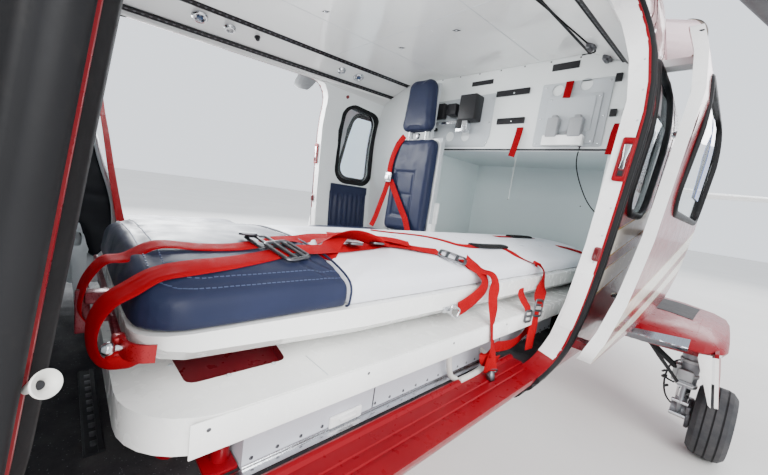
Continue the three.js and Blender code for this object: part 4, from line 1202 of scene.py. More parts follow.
railLook = {"upper": 0.503, "lower": 0.634, "half": 0.013, "holeStep": 0.0254, "from": -1.06, "to": 0.41}
for word, side in (("Left", 1), ("Right", -1)):
    rails, holes = [], []
    for x in (railLook["upper"], railLook["lower"]):
        path, outs = [], []
        for k in range(8):
            at, facing = underCeiling(side * x,
                railLook["from"] + (railLook["to"] - railLook["from"]) * k / 7)
            path.append(at)
            outs.append(facing)
        thin = side > 0 and x < 0.6
        h = 0.0035 if thin else railLook["half"]
        rails.append(
            sweepLists(path, outs,
                [(-h, -0.001), (-h, 0.004), (-h * 0.55, 0.006), (-h * 0.4, 0.003), (h * 0.4, 0.003),
                 (h * 0.55, 0.006), (h, 0.004), (h, -0.001)])[:2])
        if thin:
            continue
        count = int((railLook["to"] - railLook["from"]) / railLook["holeStep"])
        for k in range(1, count):
            at, facing = underCeiling(side * x, railLook["from"] + k * railLook["holeStep"], 0.003)
            holes.append((at, facing, (0, 1, ceilingLook["slope"])))
    addJoined(f"ceilingRails{word}", rails, blackPlastic, sharp=25)
    repeated(f"ceilingRailHoles{word}", "dome", holes, (0.011, 0.011, 0.0016), darkMetal)

ceilingFittings = {
    "ventRing": [(0.012, 0.006), (0.018, 0.003), (0.021, 0.008), (0.026, 0.009), (0.03, 0.005),
        (0.031, -0.002), (0.012, -0.002), (0.012, 0.006)],
    "ventCore": [(0.0, 0.012), (0.006, 0.0115), (0.01, 0.008), (0.0125, 0.002), (0.0125, -0.001),
        (0, -0.001)],
    "spotRing": [(0.011, 0.004), (0.014, 0.012), (0.018, 0.012), (0.021, 0.007), (0.024, 0.003),
        (0.024, -0.002), (0.011, -0.002), (0.011, 0.004)],
    "spotLens": [(0.0, 0.007), (0.007, 0.0065), (0.011, 0.004), (0.0115, -0.001), (0, -0.001)],
    "vents": ((-0.556, -0.736), (-0.568, 0.075)), "spots": ((-0.559, -0.622), (-0.564, -0.045)),
    "knob": (-0.553, -0.508),
    "fasteners": ((-0.137, -0.428), (-0.128, -0.036), (0.171, -0.043), (0.16, -0.43)),
}
parts, glows, blues = [], [], []
for kind, ring, ringSides, middle, middleSides, middles in (
        ("vents", "ventRing", 26, "ventCore", 20, blues), ("spots", "spotRing", 24, "spotLens", 18, glows)):
    for x, aft in ceilingFittings[kind]:
        at, facing = underCeiling(x, aft)
        parts.append(turnedLists(ceilingFittings[ring], at, facing, ringSides))
        middles.append(turnedLists(ceilingFittings[middle], at, facing, middleSides))
addJoined("ceilingRings", parts, brightMetal)
addJoined("ceilingVentCores", blues, surface("ventBlue", (0.05, 0.09, 0.18), 0.25, 0.1, 20, 400))
addJoined("ceilingSpotLenses", glows,
    surface("lensWhite", (0.85, 0.86, 0.84), 0.12, 0.03, 20, 300, Coat_Weight=0.6))
turnedPiece("ceilingKnobs",
    [(0.0, 0.016), (0.006, 0.016), (0.009, 0.013), (0.01, 0.004), (0.013, 0.002), (0.013, -0.001),
     (0, -0.001)], *underCeiling(*ceilingFittings["knob"]), blackPlastic, 20)
# quarter-turn fasteners: a dark diamond plate with a bright head
diamonds, heads = [], []
for x, aft in ceilingFittings["fasteners"]:
    at, facing = underCeiling(x, aft, 0.0008)
    u = Vector((1, 0.6, 0)).normalized()
    v = facing.cross(u).normalized()
    diamonds.append(
        plateLists([(0.016, 0), (0, 0.01), (-0.016, 0), (0, -0.01)], at - facing * 0.0012, u, v, 0.0018,
            0.0005))
    heads.append((at + facing * 0.0008, facing))
addJoined("ceilingFastenerPlates", diamonds, darkMetal)
repeated("ceilingFastenerHeads", "dome", heads, (0.01, 0.01, 0.004), brightMetal)
dots = []
for aft in (-0.9, -0.66, -0.24, 0.14, 0.34):
    for x in (-0.36, 0.0, 0.36):
        at, facing = underCeiling(x, aft, 0.0002)
        dots.append((at, facing))
repeated("ceilingDots", "dome", dots, (0.007, 0.007, 0.0016), greyPlate)
# joints between the lining's panels
seams = []
for x0, a0, x1, a1 in ((-0.49, -0.15, 0.49, -0.15), (-0.49, -0.78, 0.49, -0.78), (-0.2, -0.78, -0.2, 0.4),
        (0.3, -0.78, 0.3, 0.4)):
    run = [underCeiling(x0 + (x1 - x0) * k / 6, a0 + (a1 - a0) * k / 6, 0.0001) for k in range(7)]
    seams.append(
        sweepLists([p for p, _ in run], [f for _, f in run], flatProfile(0.0011, -0.001, 0.0004))[:2])
addJoined("ceilingSeams", seams, greyPlate)
# access hatch over the near side: dark rubber line and its latches
hatchRun = ((0.44, -0.55), (0.48, -0.2), (0.507, 0.061), (0.53, 0.25), (0.539, 0.35), (0.5, 0.415),
    (0.47, 0.416))
hatch = [underCeiling(x, aft, 0.0008)[0] for x, aft in hatchRun]
sweep("ceilingHatchSeal", smoothPath(hatch, 5),
    [Vector((0, ceilingLook["slope"], -1))] * (len(hatch) * 5 - 4), humped(0.0035, 0.003), sealRubber)
latches = []
for x, aft in ((0.545, 0.286), (0.572, 0.4)):
    at, facing = underCeiling(x, aft)
    latches.append(bevelled(at - Vector((0.014, 0.02, 0.016)), at + Vector((0.014, 0.02, 0.003)), 0.003))
    latches.append(bevelled(at - Vector((0.006, 0.03, 0.024)), at + Vector((0.006, 0.008, -0.012)), 0.002))
addJoined("ceilingLatches", latches, darkMetal)


def onPlane(x, up, plane, face):
    # measured in the photograph on a plane this far aft, moved along its line of sight to the real face
    k = (face - eye[1]) / (plane - eye[1])
    return cab(eye[0] + (x - eye[0]) * k, face, eye[2] + (up - eye[2]) * k)


def onWall(x, up, proud=0.0):
    return onPlane(x, up, 0.438, 0.4177 - proud)


def onBay(x, up, proud=0.0):
    return onPlane(x, up, 0.85, 0.9597 - proud)


def wallPlate(name, corners, thick, finish, radius=0.008, base=0.0, holes=()):
    # corners (x, up) measured in the photograph; the plate stands base off the wall
    flat = [onWall(x, up, base) for x, up in corners]
    outline = [(p.x, p.z) for p in flat]
    cuts = []
    for cx, cz, r in holes:
        middle = onWall(cx, cz, base)
        cuts.append(
            [(middle.x + r * math.cos(t), middle.z + r * math.sin(t))
             for t in (2 * math.pi * k / 20 for k in range(20))])
    return cutPlate(name, roundedOutline(outline, radius, 4), (0, flat[0].y, 0), (1, 0, 0), (0, 0, 1),
        thick, finish, holes=cuts)


wallPlate("wallPlateLeft", [(-0.3, 0.779), (0.08, 0.779), (0.098, 0.83), (0.098, 1.043), (-0.3, 1.03)],
    0.004, greyPlate, holes=((-0.145, 0.835, 0.026), (-0.045, 0.835, 0.026)))
wallPlate("wallPlateRight", square(0.327, 0.604, 0.777, 1.049), 0.005, greyPlate,
    holes=((0.395, 1.018, 0.023), (0.505, 1.03, 0.023)))
for name, corners, thick, finish, radius, base in (
        ("wallPlateInner", (0.363, 0.574, 0.79, 0.993), 0.006, greyPlate, 0.008, 0.006),
        ("wallPlateTop", (0.385, 0.552, 0.84, 0.985), 0.004, greyPlate, 0.008, 0.0125),
        ("wallSlotLeft", (-0.056, 0.068, 1.091, 1.114), 0.003, blackPlastic, 0.002, 0),
        ("wallSlotRight", (0.351, 0.462, 1.104, 1.134), 0.003, blackPlastic, 0.002, 0),
        ("wallRailUpper", (0.102, 0.268, 1.02, 1.047), 0.01, blackPlastic, 0.001, 0),
        ("wallRailLower", (0.13, 0.268, 0.886, 0.914), 0.01, blackPlastic, 0.001, 0),
        ("wallRailStubs", (0.606, 0.628, 1.026, 1.056), 0.012, blackPlastic, 0.001, 0),
        ("wallRailStubLow", (0.612, 0.634, 0.893, 0.921), 0.012, blackPlastic, 0.001, 0),
        ("wallTray", (0.377, 0.54, 0.779, 0.821), 0.034, shellWhite, 0.004, 0.012),
        # thin black strip under the upper panel's lower edge: the painted shadow of its overhang
        ("wallShadowLine", (-0.175, 0.652, 0.7605, 0.7685), 0.003, blackPlastic, 0.001, 0)):
    wallPlate(name, square(*corners), thick, finish, radius, base)
# folding arm with its head on the left plate
parts = []
for lo, hi, y0, y1 in (((-0.308, 0.94), (-0.19, 1.012), 0.01, 0.045),
        ((-0.2, 0.955), (-0.1, 1.0), 0.02, 0.07), ((-0.12, 0.924), (0.034, 1.03), 0.008, 0.08),
        ((-0.31, 0.87), (-0.24, 0.885), 0.004, 0.02)):
    a, b = onWall(*lo, y1), onWall(*hi, y0)
    parts.append(bevelled((a.x, a.y, a.z), (b.x, b.y, b.z), 0.006, 3))
a = onWall(-0.09, 0.895, 0.055)
parts.append(
    turnedLists([(0, 0.03), (0.02, 0.03), (0.024, 0.024), (0.024, -0.02), (0.0, -0.02)], a, (0, 0, 1),
        20))
addJoined("wallArm", parts, blackPlastic)
parts = []
for lo, hi, y0, y1 in (((-0.121, 0.862), (-0.021, 0.919), 0.03, 0.07),
        ((-0.29, 0.905), (-0.1, 0.917), 0.058, 0.072)):
    a, b = onWall(*lo, y1), onWall(*hi, y0)
    parts.append(bevelled((a.x, a.y, a.z), (b.x, b.y, b.z), 0.003, 2))
addJoined("wallArmBright", parts, brightMetal)
# bottle clips on the right plate
parts = []
for x0, x1, z0, z1 in ((0.371, 0.433, 0.823, 0.896), (0.464, 0.528, 0.823, 0.892)):
    for inner in (0.0, 1.0):
        lo, hi = onWall(x0 + inner * 0.012, z0, 0.052), onWall(x1 - inner * 0.012, z1 + inner * 0.014, 0.018)
        parts.append(bevelled(lo + Vector((0, inner * 0.01, 0)), hi, 0.005, 3))
addJoined("wallClips", parts, surface("clipGrey", (0.33, 0.34, 0.35), 0.5, 0.08, 12, 400))
screws = []
for x, z, base in ((-0.27, 0.8, 0.004), (-0.27, 1.01, 0.004), (0.085, 0.8, 0.004), (0.085, 0.9, 0.004),
        (0.085, 1.02, 0.004), (0.34, 0.79, 0.005), (0.34, 0.9, 0.005), (0.34, 1.035, 0.005),
        (0.59, 0.79, 0.005), (0.59, 0.9, 0.005), (0.59, 1.037, 0.005), (0.375, 0.8, 0.012),
        (0.375, 0.98, 0.012), (0.562, 0.8, 0.012), (0.562, 0.98, 0.012), (0.19, 1.033, 0.01),
        (0.2, 0.9, 0.01)):
    screws.append((onWall(x, z, base), Vector((0, -1, 0))))
repeated("wallScrews", "dome", screws, (0.0085, 0.0085, 0.0045), brightMetal)
print("wall plates done")
# dots along the wall's top joint, marks and clips on the bay's back wall
marks = []
for k in range(9):
    marks.append((onWall(-0.5 + 0.12 * k, 1.1575 - 0.0015 * k, 0.0005), Vector((0, -1, 0))))
for x, z in ((0.052, 0.546), (0.455, 0.551), (-0.235, 0.548)):
    marks.append((onBay(x, z, 0.001), Vector((0, -1, 0))))
repeated("wallDots", "dome", marks, (0.008, 0.008, 0.004), darkMetal)
ticks = []
for k in range(7):
    z = 0.74 - 0.062 * k
    lean = 0.25 if k % 2 else -0.2
    ticks.append(
        (onBay(-0.236 + 0.03 * (0.754 - z) / 0.42 + (0.006 if k % 2 else 0), z, 0.0006),
         Vector((0, -1, 0)), Vector((lean, 0, 1))))
repeated("bayStitches", "slot", ticks, (0.0026, 0.03, 0.0016), blackPlastic)
seam = [onBay(-0.238, 0.754, 0.0004), onBay(-0.222, 0.55, 0.0004), onBay(-0.205, 0.3, 0.0004)]
sweep("baySeam", smoothPath(seam, 6), [Vector((0, -1, 0))] * 13, flatProfile(0.0012, -0.0005, 0.0006),
    greyPlate)


def ribbonLists(points, across, width, thick=0.0013, steps=6):
    # webbing: a flat woven strap through the points, its width lying along each point's across direction
    path = smoothPath(points, steps)
    wide = smoothPath(
        [Vector(a).normalized()
         for a in (across if isinstance(across, list) else [across] * len(points))], steps)
    verts, uvs, faces = [], [], []
    run = 0.0
    for i, p in enumerate(path):
        if i:
            run += (p - path[i - 1]).length
        ahead = aheadAt(path, i)
        a = (wide[i] - ahead * wide[i].dot(ahead)).normalized()
        out = ahead.cross(a)
        for s, h in ((-0.5, -0.35), (-0.46, 0.5), (-0.2, 0.62), (0.2, 0.62), (0.46, 0.5), (0.5, -0.35),
                (0.2, -0.5), (-0.2, -0.5)):
            verts.append(p + a * (s * width) + out * (h * thick))
            uvs.append((s + 0.5, run))
    for i in range(len(path) - 1):
        for k in range(8):
            m = (k + 1) % 8
            faces.append([i * 8 + k, i * 8 + m, i * 8 + 8 + m, i * 8 + 8 + k])
    faces.append(list(range(8))[::-1])
    faces.append([(len(path) - 1) * 8 + k for k in range(8)])
    return verts, faces, uvs


def ribbons(name, runs, width, finish, thick=0.0013):
    made = [ribbonLists(points, across, width, thick) for points, across in runs]
    uvs = [uv for one in made for uv in one[2]]
    return addPiece(name, *joined([one[:2] for one in made]), finish, sharp=50, uvs=uvs, tidy=False)


# red pull tags on the wall
tagRuns = (
    (0.15,
     ((0.252, 0.868, 0.004), (0.25, 0.84, 0.016), (0.243, 0.79, 0.022), (0.236, 0.748, 0.018),
      (0.233, 0.733, 0.016))),
    (-0.1, ((0.648, 0.866, 0.006), (0.642, 0.83, 0.014), (0.64, 0.79, 0.018), (0.637, 0.747, 0.015))),
    (0.1, ((0.437, 1.052, 0.014), (0.436, 1.028, 0.02), (0.433, 0.985, 0.022))))
tags = [([onWall(*p) for p in run], (1, lean, 0)) for lean, run in tagRuns]
ribbons("wallTags", tags, 0.03, tagRed, 0.003)


# soft pads: pressed out a little by air, pulled in where they are stitched
padLook = {
    "pressure": 4.0, "frames": 14, "reach": 0.0035, "quality": 3, "mass": 0.3, "stretch": 14, "shear": 6,
    "bend": 1.2, "middle": 0.322, "half": 0.2775,
}


def baked(obj):
    made = bpy.data.meshes.new_from_object(obj.evaluated_get(bpy.context.evaluated_depsgraph_get()))
    obj.modifiers.clear()
    return made


def puffed(name, base, voxel, held, drawnIn, finish, replaced=(), waves=0.0):
    # held(place) says what stays put; drawnIn(place) gives the depth of the stitched dents
    mesh = bpy.data.meshes.new(name)
    mesh.from_pydata(base[0], [], base[1])
    tool = bmesh.new()
    tool.from_mesh(mesh)
    bmesh.ops.recalc_face_normals(tool, faces=tool.faces)
    tool.to_mesh(mesh)
    tool.free()
    obj = bpy.data.objects.new(name + "Work", mesh)
    scene.collection.objects.link(obj)
    remesh = obj.modifiers.new("even", "REMESH")
    remesh.mode, remesh.voxel_size = "VOXEL", voxel
    made = baked(obj)
    obj.data = made
    start = [v.co.copy() for v in made.vertices]
    group = obj.vertex_groups.new(name="held")
    group.add([v.index for v in made.vertices if held(v.co)], 1.0, "REPLACE")
    cloth = obj.modifiers.new("air", "CLOTH")
    now = cloth.settings
    now.quality, now.mass = padLook["quality"], padLook["mass"]
    now.tension_stiffness = now.compression_stiffness = padLook["stretch"]
    now.shear_stiffness, now.bending_stiffness = padLook["shear"], padLook["bend"]
    now.use_pressure, now.uniform_pressure_force = True, padLook["pressure"]
    now.vertex_group_mass = "held"
    now.effector_weights.gravity = 0
    cloth.point_cache.frame_start, cloth.point_cache.frame_end = 1, padLook["frames"]
    for frameNow in range(1, padLook["frames"] + 1):
        scene.frame_set(frameNow)
    pressed = baked(obj)
    scene.frame_set(1)
    for v, was in zip(pressed.vertices, start):
        moved = v.co - was
        if moved.length > padLook["reach"]:
            v.co = was + moved * (padLook["reach"] / moved.length)
    obj.data = made = pressed
    normals = [v.normal.copy() for v in made.vertices]
    for v, was, normal in zip(made.vertices, start, normals):
        depth = drawnIn(was) if drawnIn else 0.0
        if waves:
            swell = noise.noise(was * 9.0) + 0.5 * noise.noise(was * 23.0)
            depth -= waves * (swell - 0.4)
        v.co -= normal * depth
    obj.modifiers.new("finer", "SUBSURF").levels = 1
    obj.data = made = baked(obj)
    for face in made.polygons:
        face.use_smooth = True
    bpy.data.objects.remove(obj)
    piece = settle(name, made, finish, "airframe", 60, tidy=False)
    if replaced:
        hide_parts(*replaced)
    return piece


def valley(distance, width, depth):
    return depth * math.exp(-(distance / width) ** 2)


mattressProfile = [(-0.268, 0.2626), (0.268, 0.2626), (0.2755, 0.268), (0.2775, 0.285), (0.2768, 0.297),
    (0.27, 0.308), (0.252, 0.318), (0.21, 0.331), (0.16, 0.3395), (0.1, 0.345), (0.04, 0.3475),
    (0.0, 0.348)]
mattressProfile += [(-x, up) for x, up in mattressProfile[:-1][::-1] if up > 0.2627]


def mattressRings(first, last, headRadius, footRadius, footHalf):
    rings = []
    stations = [0.0, 0.0015, 0.005, 0.011, 0.02, 0.032, 0.046, 0.06]
    run = last - first
    cuts = stations + [run * k / 12 for k in range(2, 11)] + [run - s for s in stations[::-1]]
    for t in cuts:
        aft = first + t
        half = padLook["half"] + (footHalf - padLook["half"]) * t / run
        drop = 0.0
        for gap, radius in ((t, headRadius), (run - t, footRadius)):
            if gap < radius:
                half -= radius - math.sqrt(max(0.0, radius ** 2 - (radius - gap) ** 2))
            soft = min(radius, 0.026)
            if gap < soft:
                drop = max(drop, (soft - math.sqrt(max(0.0, soft ** 2 - (soft - gap) ** 2))) * 0.8)
        ring = []
        for x, up in mattressProfile:
            ring.append(
                cab(padLook["middle"] + x * half / padLook["half"], aft,
                    up - drop * max(0.0, (up - 0.285) / 0.063)))
        rings.append(ring)
    return loft(rings)


def local(at):
    # back to cabin measures
    return at.x, at.y + jambAft, at.z - floorUp


def headEdge(at):
    x, aft = local(at)[:2]
    return min(padLook["half"] - abs(x - padLook["middle"]), aft + 1.052)


def headDrawn(at):
    if local(at)[2] < 0.3:
        return 0.0
    inset = headEdge(at)
    return valley(inset - 0.027, 0.0035, 0.0016) + valley(inset - 0.037, 0.0035, 0.0013)


def bodyDrawn(at):
    x, _, up = local(at)
    return valley(up - 0.271, 0.004, 0.0012) if abs(x - padLook["middle"]) > 0.2 else 0.0


headPad = puffed("mattressHead", mattressRings(-1.052, -0.7455, 0.06, 0.006, padLook["half"]), 0.0075,
                 lambda at: at.z < floorUp + 0.268 or at.y + jambAft > -0.749,
                 headDrawn, navy, replaced=("mattress_head_pad",), waves=0.0007)
bodyPad = puffed("mattressBody", mattressRings(-0.7435, 0.85, 0.006, 0.08, 0.253), 0.0105,
                 lambda at: at.z < floorUp + 0.268 or at.y + jambAft < -0.74,
                 bodyDrawn, whiteVinyl, replaced=("mattress_body_pad",), waves=0.0012)
tops = [BVHTree.FromObject(pad, bpy.context.evaluated_depsgraph_get()) for pad in (headPad, bodyPad)]


def onTop(x, aft, lift=0.0, floor=0.0):
    # height of the mattress under (x, aft), or floor where there is none
    best = floor
    for tree in tops:
        hit = tree.ray_cast(cab(x, aft, 0.5), Vector((0, 0, -1)))
        if hit[0] is not None:
            best = max(best, hit[0].z - floorUp + lift)
    return best


def rail(points, out):
    # horizontal direction square to the path, pointing to the near side where it can
    path = []
    for i in range(len(points)):
        a, b = Vector(points[max(i - 1, 0)]), Vector(points[min(i + 1, len(points) - 1)])
        flat = Vector(((b - a).x, (b - a).y, 0))
        if flat.length < 0.15 * (b - a).length:
            path.append(path[-1] if path else Vector(out))
            continue
        side = Vector((flat.y, -flat.x, 0)).normalized()
        if path and side.dot(path[-1]) < 0 or not path and side.dot(Vector(out)) < 0:
            side = -side
        path.append(side)
    return path


# piping round the joint between the pads, stitching along the head pad's edges
joint = []
for x, up in mattressProfile[1:]:
    joint.append(cab(padLook["middle"] + x, -0.7445, up + 0.0005))
tube("mattressPiping", joint, 0.0022, navy, 8, 2)
stitches = []
for inset in (0.0232, 0.0408):
    run = [(padLook["middle"] + padLook["half"] - inset, -0.752)]
    reach, corner = padLook["half"] - inset, 0.06 - inset * 0.6
    run.append((padLook["middle"] + reach, -1.052 + inset + corner))
    for k in range(1, 6):
        turn = math.pi / 2 * k / 6
        run.append(
            (padLook["middle"] + reach - corner * (1 - math.cos(turn)),
             -1.052 + inset + corner * (1 - math.sin(turn))))
    run.append((padLook["middle"] + reach - corner, -1.052 + inset))
    run += [(2 * padLook["middle"] - x, aft) for x, aft in run[::-1]]
    for a, b in zip(run, run[1:]):
        a, b = Vector(a), Vector(b)
        count = max(1, round((b - a).length / 0.0078))
        for k in range(count):
            at = a.lerp(b, (k + 0.5) / count)
            ahead = (b - a).normalized()
            stitches.append(
                (cab(at.x, at.y, onTop(at.x, at.y, 0.0001, 0.3)), Vector((0, 0, 1)),
                 (ahead.x, ahead.y, 0)))
repeated("mattressStitches", "slot", stitches, (0.0017, 0.0052, 0.0012),
    surface("thread", (0.055, 0.075, 0.15), 0.6, 0.1, 20, 600))
print("mattress done")


# seat cushions: boxes with rounded edges, channels where they are sewn down
def boxRings(lo, hi, radius, edge=0.02):
    # rings from bottom to top of a block with rounded plan corners and softened rims
    x0, y0, z0 = lo
    x1, y1, z1 = hi
    rings = []
    rises = [(0.0, 1.0), (0.25, 0.45), (0.6, 0.12), (1.0, 0.0)]
    levels = [(z0 + edge * r, edge * s * 0.7) for r, s in rises] + [
        (z1 - edge * r, edge * s * 0.7) for r, s in rises[::-1]]
    for z, inset in levels:
        outline = roundedOutline(square(x0 + inset, x1 - inset, y0 + inset, y1 - inset),
            max(0.004, radius - inset * 0.5), 5)
        rings.append([Vector((x, y, z)) for x, y in outline])
    return loft(rings)


def cabBase(base):
    return [cab(*p) for p in base[0]], base[1]


# cabin seat, its middle 0.258 to starboard: back with sewn panels, headrest, cushion
seatLook = {"middle": -0.258, "panel": (-0.345, -0.215)}


def backDrawn(at):
    x, aft, up = local(at)
    if aft > 0.3:
        return 0.0
    deep = 0.0
    left, right = seatLook["panel"]
    inside = left - 0.006 < x < right + 0.006
    for line in (0.605, 0.485, 0.365):
        if inside:
            deep = max(deep, valley(up - line, 0.0045, 0.0042))
    if 0.36 < up < 0.61:
        for line in (left, right):
            deep = max(deep, valley(x - line, 0.0045, 0.0042))
    return deep


backBase = boxRings((-0.407, -0.79, 0.2635), (-0.109, -0.273, 0.3165), 0.034, 0.019)
backBase = ([cab(p.x, p.z, -p.y) for p in backBase[0]], backBase[1])
puffed("cabinSeatBack", backBase, 0.0065,
    lambda at: at.y + jambAft > 0.309 or backDrawn(at) > 0.001, backDrawn, navy,
    replaced=("cabin_seat_back",), waves=0.0006)
restBase = []
for k, (inset, y) in enumerate(
        ((0.014, 0.3132), (0.004, 0.309), (0.0, 0.3), (0.0, 0.275), (0.006, 0.265), (0.018, 0.2595))):
    outline = roundedOutline(
        [(-0.367 + inset, 0.832 + inset), (-0.149 - inset, 0.832 + inset),
         (-0.172 - inset, 1.103 - inset), (-0.344 + inset, 1.103 - inset)], [0.035, 0.035, 0.045, 0.045],
        6)
    restBase.append([cab(x, y, up) for x, up in outline])
puffed("cabinSeatHeadrest", loft(restBase), 0.006, lambda at: at.y + jambAft > 0.307, None, navy,
    replaced=("cabin_seat_headrest",), waves=0.0006)


def cushionDrawn(at):
    x, _, up = local(at)
    if up < 0.2:
        return 0.0
    return max(valley(x - seatLook["middle"] - 0.13, 0.005, 0.004),
        valley(x - seatLook["middle"] + 0.13, 0.005, 0.004), valley(up - 0.2, 0.004, 0.001))


puffed("cabinSeatCushion",
    cabBase(boxRings((-0.482, -0.234, 0.1685), (-0.034, 0.258, 0.261), 0.05, 0.028)), 0.008,
    lambda at: at.z < floorUp + 0.18, cushionDrawn, navy,
    replaced=("cabin_seat_cushion",), waves=0.0009)
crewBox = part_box("crew_seat_cushion")
lo, hi = Vector(crewBox[0]), Vector(crewBox[1])
crewCushion = boxRings(lo + Vector((0.001, 0.001, 0.0004)), hi - Vector((0.001, 0.001, 0.001)), 0.05, 0.03)
puffed("crewSeatCushion", crewCushion, 0.0085, lambda at: at.z < lo.z + 0.01, None, navy,
       replaced=("crew_seat_cushion",), waves=0.0009)
print("cabin seats done")


# webbing, buckles and the litter's end fittings
def laid(points, lift=0.0016):
    # straps lie on the mattress where it is under them; a point may carry its own lift
    places = []
    for point in points:
        x, aft, up = point[:3]
        more = point[3] if len(point) > 3 else 0.0
        top = onTop(x, aft, lift + more)
        places.append((x, aft, top if top > 0.2 and up > 0.295 else up))
    return places


def crossed(points, given=None):
    # across directions: flat on the mattress, following its slope, unless the point gives its own
    base = rail(points, (1, 0, 0))
    result = []
    for i, (x, aft, up) in enumerate(points):
        a = base[i]
        if given and given.get(i) is not None:
            result.append(Vector(given[i]).normalized())
            continue
        left = onTop(x - a.x * 0.02, aft - a.y * 0.02)
        right = onTop(x + a.x * 0.02, aft + a.y * 0.02)
        if left > 0.2 and right > 0.2 and up > 0.295:
            a = Vector((a.x * 0.04, a.y * 0.04, right - left)).normalized()
        result.append(a)
    return result


def strapRun(points, given=None):
    places = laid(points)
    return cabPath(places), crossed(places, given)


strapLook = {"width": 0.041, "thick": 0.0016}
# near strap: from its adjuster over the head pad, round the corner and down to the clamp;
# far strap: over the end of the pad and down to the red end frame
headStraps = [
    strapRun(
        [(0.498, -0.826, 0.334, 0.002), (0.512, -0.87, 0.33), (0.53, -0.93, 0.325), (0.538, -0.98, 0.322),
         (0.54, -1.022, 0.319, 0.003), (0.55, -1.052, 0.3125), (0.556, -1.071, 0.302),
         (0.56, -1.083, 0.285), (0.562, -1.087, 0.263), (0.563, -1.083, 0.24), (0.566, -1.073, 0.228),
         (0.572, -1.061, 0.23), (0.578, -1.05, 0.238)],
        {4: (0.93, 0.22, -0.22), 5: (0.94, 0.24, -0.2), 6: (0.95, 0.24, -0.12), 7: (0.96, 0.24, -0.04),
         8: (0.97, 0.22, 0.03), 9: (0.93, 0.26, 0.22), 10: (0.78, 0.26, 0.56), 11: (0.55, 0.1, 0.82),
         12: (0.4, 0.1, 0.9)}),
    strapRun(
        [(0.457, -0.86, 0.341, 0.002), (0.466, -0.905, 0.339), (0.466, -0.955, 0.34),
         (0.456, -1.01, 0.343, 0.003), (0.452, -1.046, 0.338, 0.002), (0.451, -1.07, 0.325),
         (0.451, -1.086, 0.304), (0.452, -1.094, 0.28), (0.452, -1.0955, 0.256), (0.45, -1.088, 0.24)],
        {3: (0.98, 0.1, -0.1), 4: (0.98, 0.14, -0.1), 5: (0.98, 0.14, -0.06), 6: (0.98, 0.15, 0.0),
         7: (0.98, 0.15, 0.0), 8: (0.98, 0.14, 0.0), 9: (0.98, 0.12, 0.0)}),
]
ribbons("headStraps", headStraps, 0.038, webRed, strapLook["thick"])

bunch = [
    strapRun(
        [(0.489, -0.815, 0.332, 0.003), (0.492, -0.77, 0.332, 0.004), (0.486, -0.7, 0.334, 0.003),
         (0.474, -0.62, 0.337, 0.002), (0.462, -0.55, 0.34, 0.003), (0.48, -0.5, 0.337, 0.004),
         (0.5, -0.45, 0.333, 0.003), (0.52, -0.4, 0.328, 0.003)]),
    strapRun(
        [(0.458, -0.84, 0.34, 0.003), (0.43, -0.8, 0.344, 0.004), (0.402, -0.745, 0.347, 0.003),
         (0.383, -0.69, 0.349, 0.001), (0.372, -0.62, 0.349, 0.001), (0.392, -0.55, 0.348, 0.004),
         (0.425, -0.485, 0.345, 0.006), (0.455, -0.45, 0.341, 0.004)]),
    strapRun(
        [(0.505, -0.745, 0.33, 0.008), (0.468, -0.7, 0.338, 0.01), (0.43, -0.655, 0.343, 0.014),
         (0.405, -0.61, 0.346, 0.012), (0.415, -0.56, 0.345, 0.009), (0.452, -0.52, 0.341, 0.009),
         (0.478, -0.48, 0.337, 0.007)]),
    strapRun(
        [(0.43, -0.72, 0.344, 0.005), (0.452, -0.672, 0.341, 0.02), (0.468, -0.64, 0.339, 0.026),
         (0.48, -0.604, 0.337, 0.018), (0.474, -0.57, 0.337, 0.006), (0.445, -0.545, 0.341, 0.006)],
        {1: (0.8, -0.3, 0.5), 2: (0.75, -0.2, 0.62), 3: (0.8, 0.0, 0.55)}),
    strapRun(
        [(0.352, -0.64, 0.349, 0.002), (0.372, -0.6, 0.349, 0.004), (0.41, -0.552, 0.346, 0.007),
         (0.452, -0.52, 0.341, 0.01), (0.47, -0.47, 0.338, 0.006)]),
]
ribbons("bunchedStraps", bunch, strapLook["width"], webRed, strapLook["thick"])

# over the near edge: down to the ring on the pan, and the loose end down to its fitting on the sill
edgeStraps = [
    strapRun(
        [(0.556, -0.356, 0.316, 0.004), (0.578, -0.33, 0.31, 0.006), (0.596, -0.312, 0.303),
         (0.608, -0.3, 0.284), (0.613, -0.306, 0.262), (0.612, -0.338, 0.24), (0.609, -0.378, 0.222),
         (0.6065, -0.402, 0.214)],
        {1: (0.3, 0.95, -0.1), 2: (0.1, 0.98, -0.15), 3: (0.0, 0.95, -0.3), 4: (0.0, 0.88, -0.45),
         5: (0.0, 0.72, -0.69), 6: (0.0, 0.55, -0.83), 7: (0.0, 0.5, -0.86), 0: (0.45, 0.85, -0.3)}),
    strapRun(
        [(0.566, -0.34, 0.314, 0.008), (0.588, -0.302, 0.308, 0.006), (0.606, -0.268, 0.292),
         (0.616, -0.25, 0.268), (0.628, -0.276, 0.24), (0.642, -0.288, 0.205), (0.646, -0.282, 0.16),
         (0.647, -0.268, 0.11), (0.646, -0.258, 0.07), (0.645, -0.25, 0.042), (0.645, -0.243, 0.024)],
        {0: (0.4, 0.88, -0.2), 1: (0.2, 0.95, -0.2), 2: (0.1, 0.95, -0.3), 3: (0.1, 0.97, -0.2),
         4: (0.15, 0.97, -0.2), 5: (0.0, 0.99, 0.1), 6: (-0.3, 0.95, 0.0), 7: (-0.3, 0.95, 0.0),
         8: (0.1, 0.99, 0.0), 9: (0.35, 0.93, 0.0), 10: (0.5, 0.86, 0.0)}),
]
ribbons("edgeStraps", edgeStraps, strapLook["width"], webRed, strapLook["thick"])

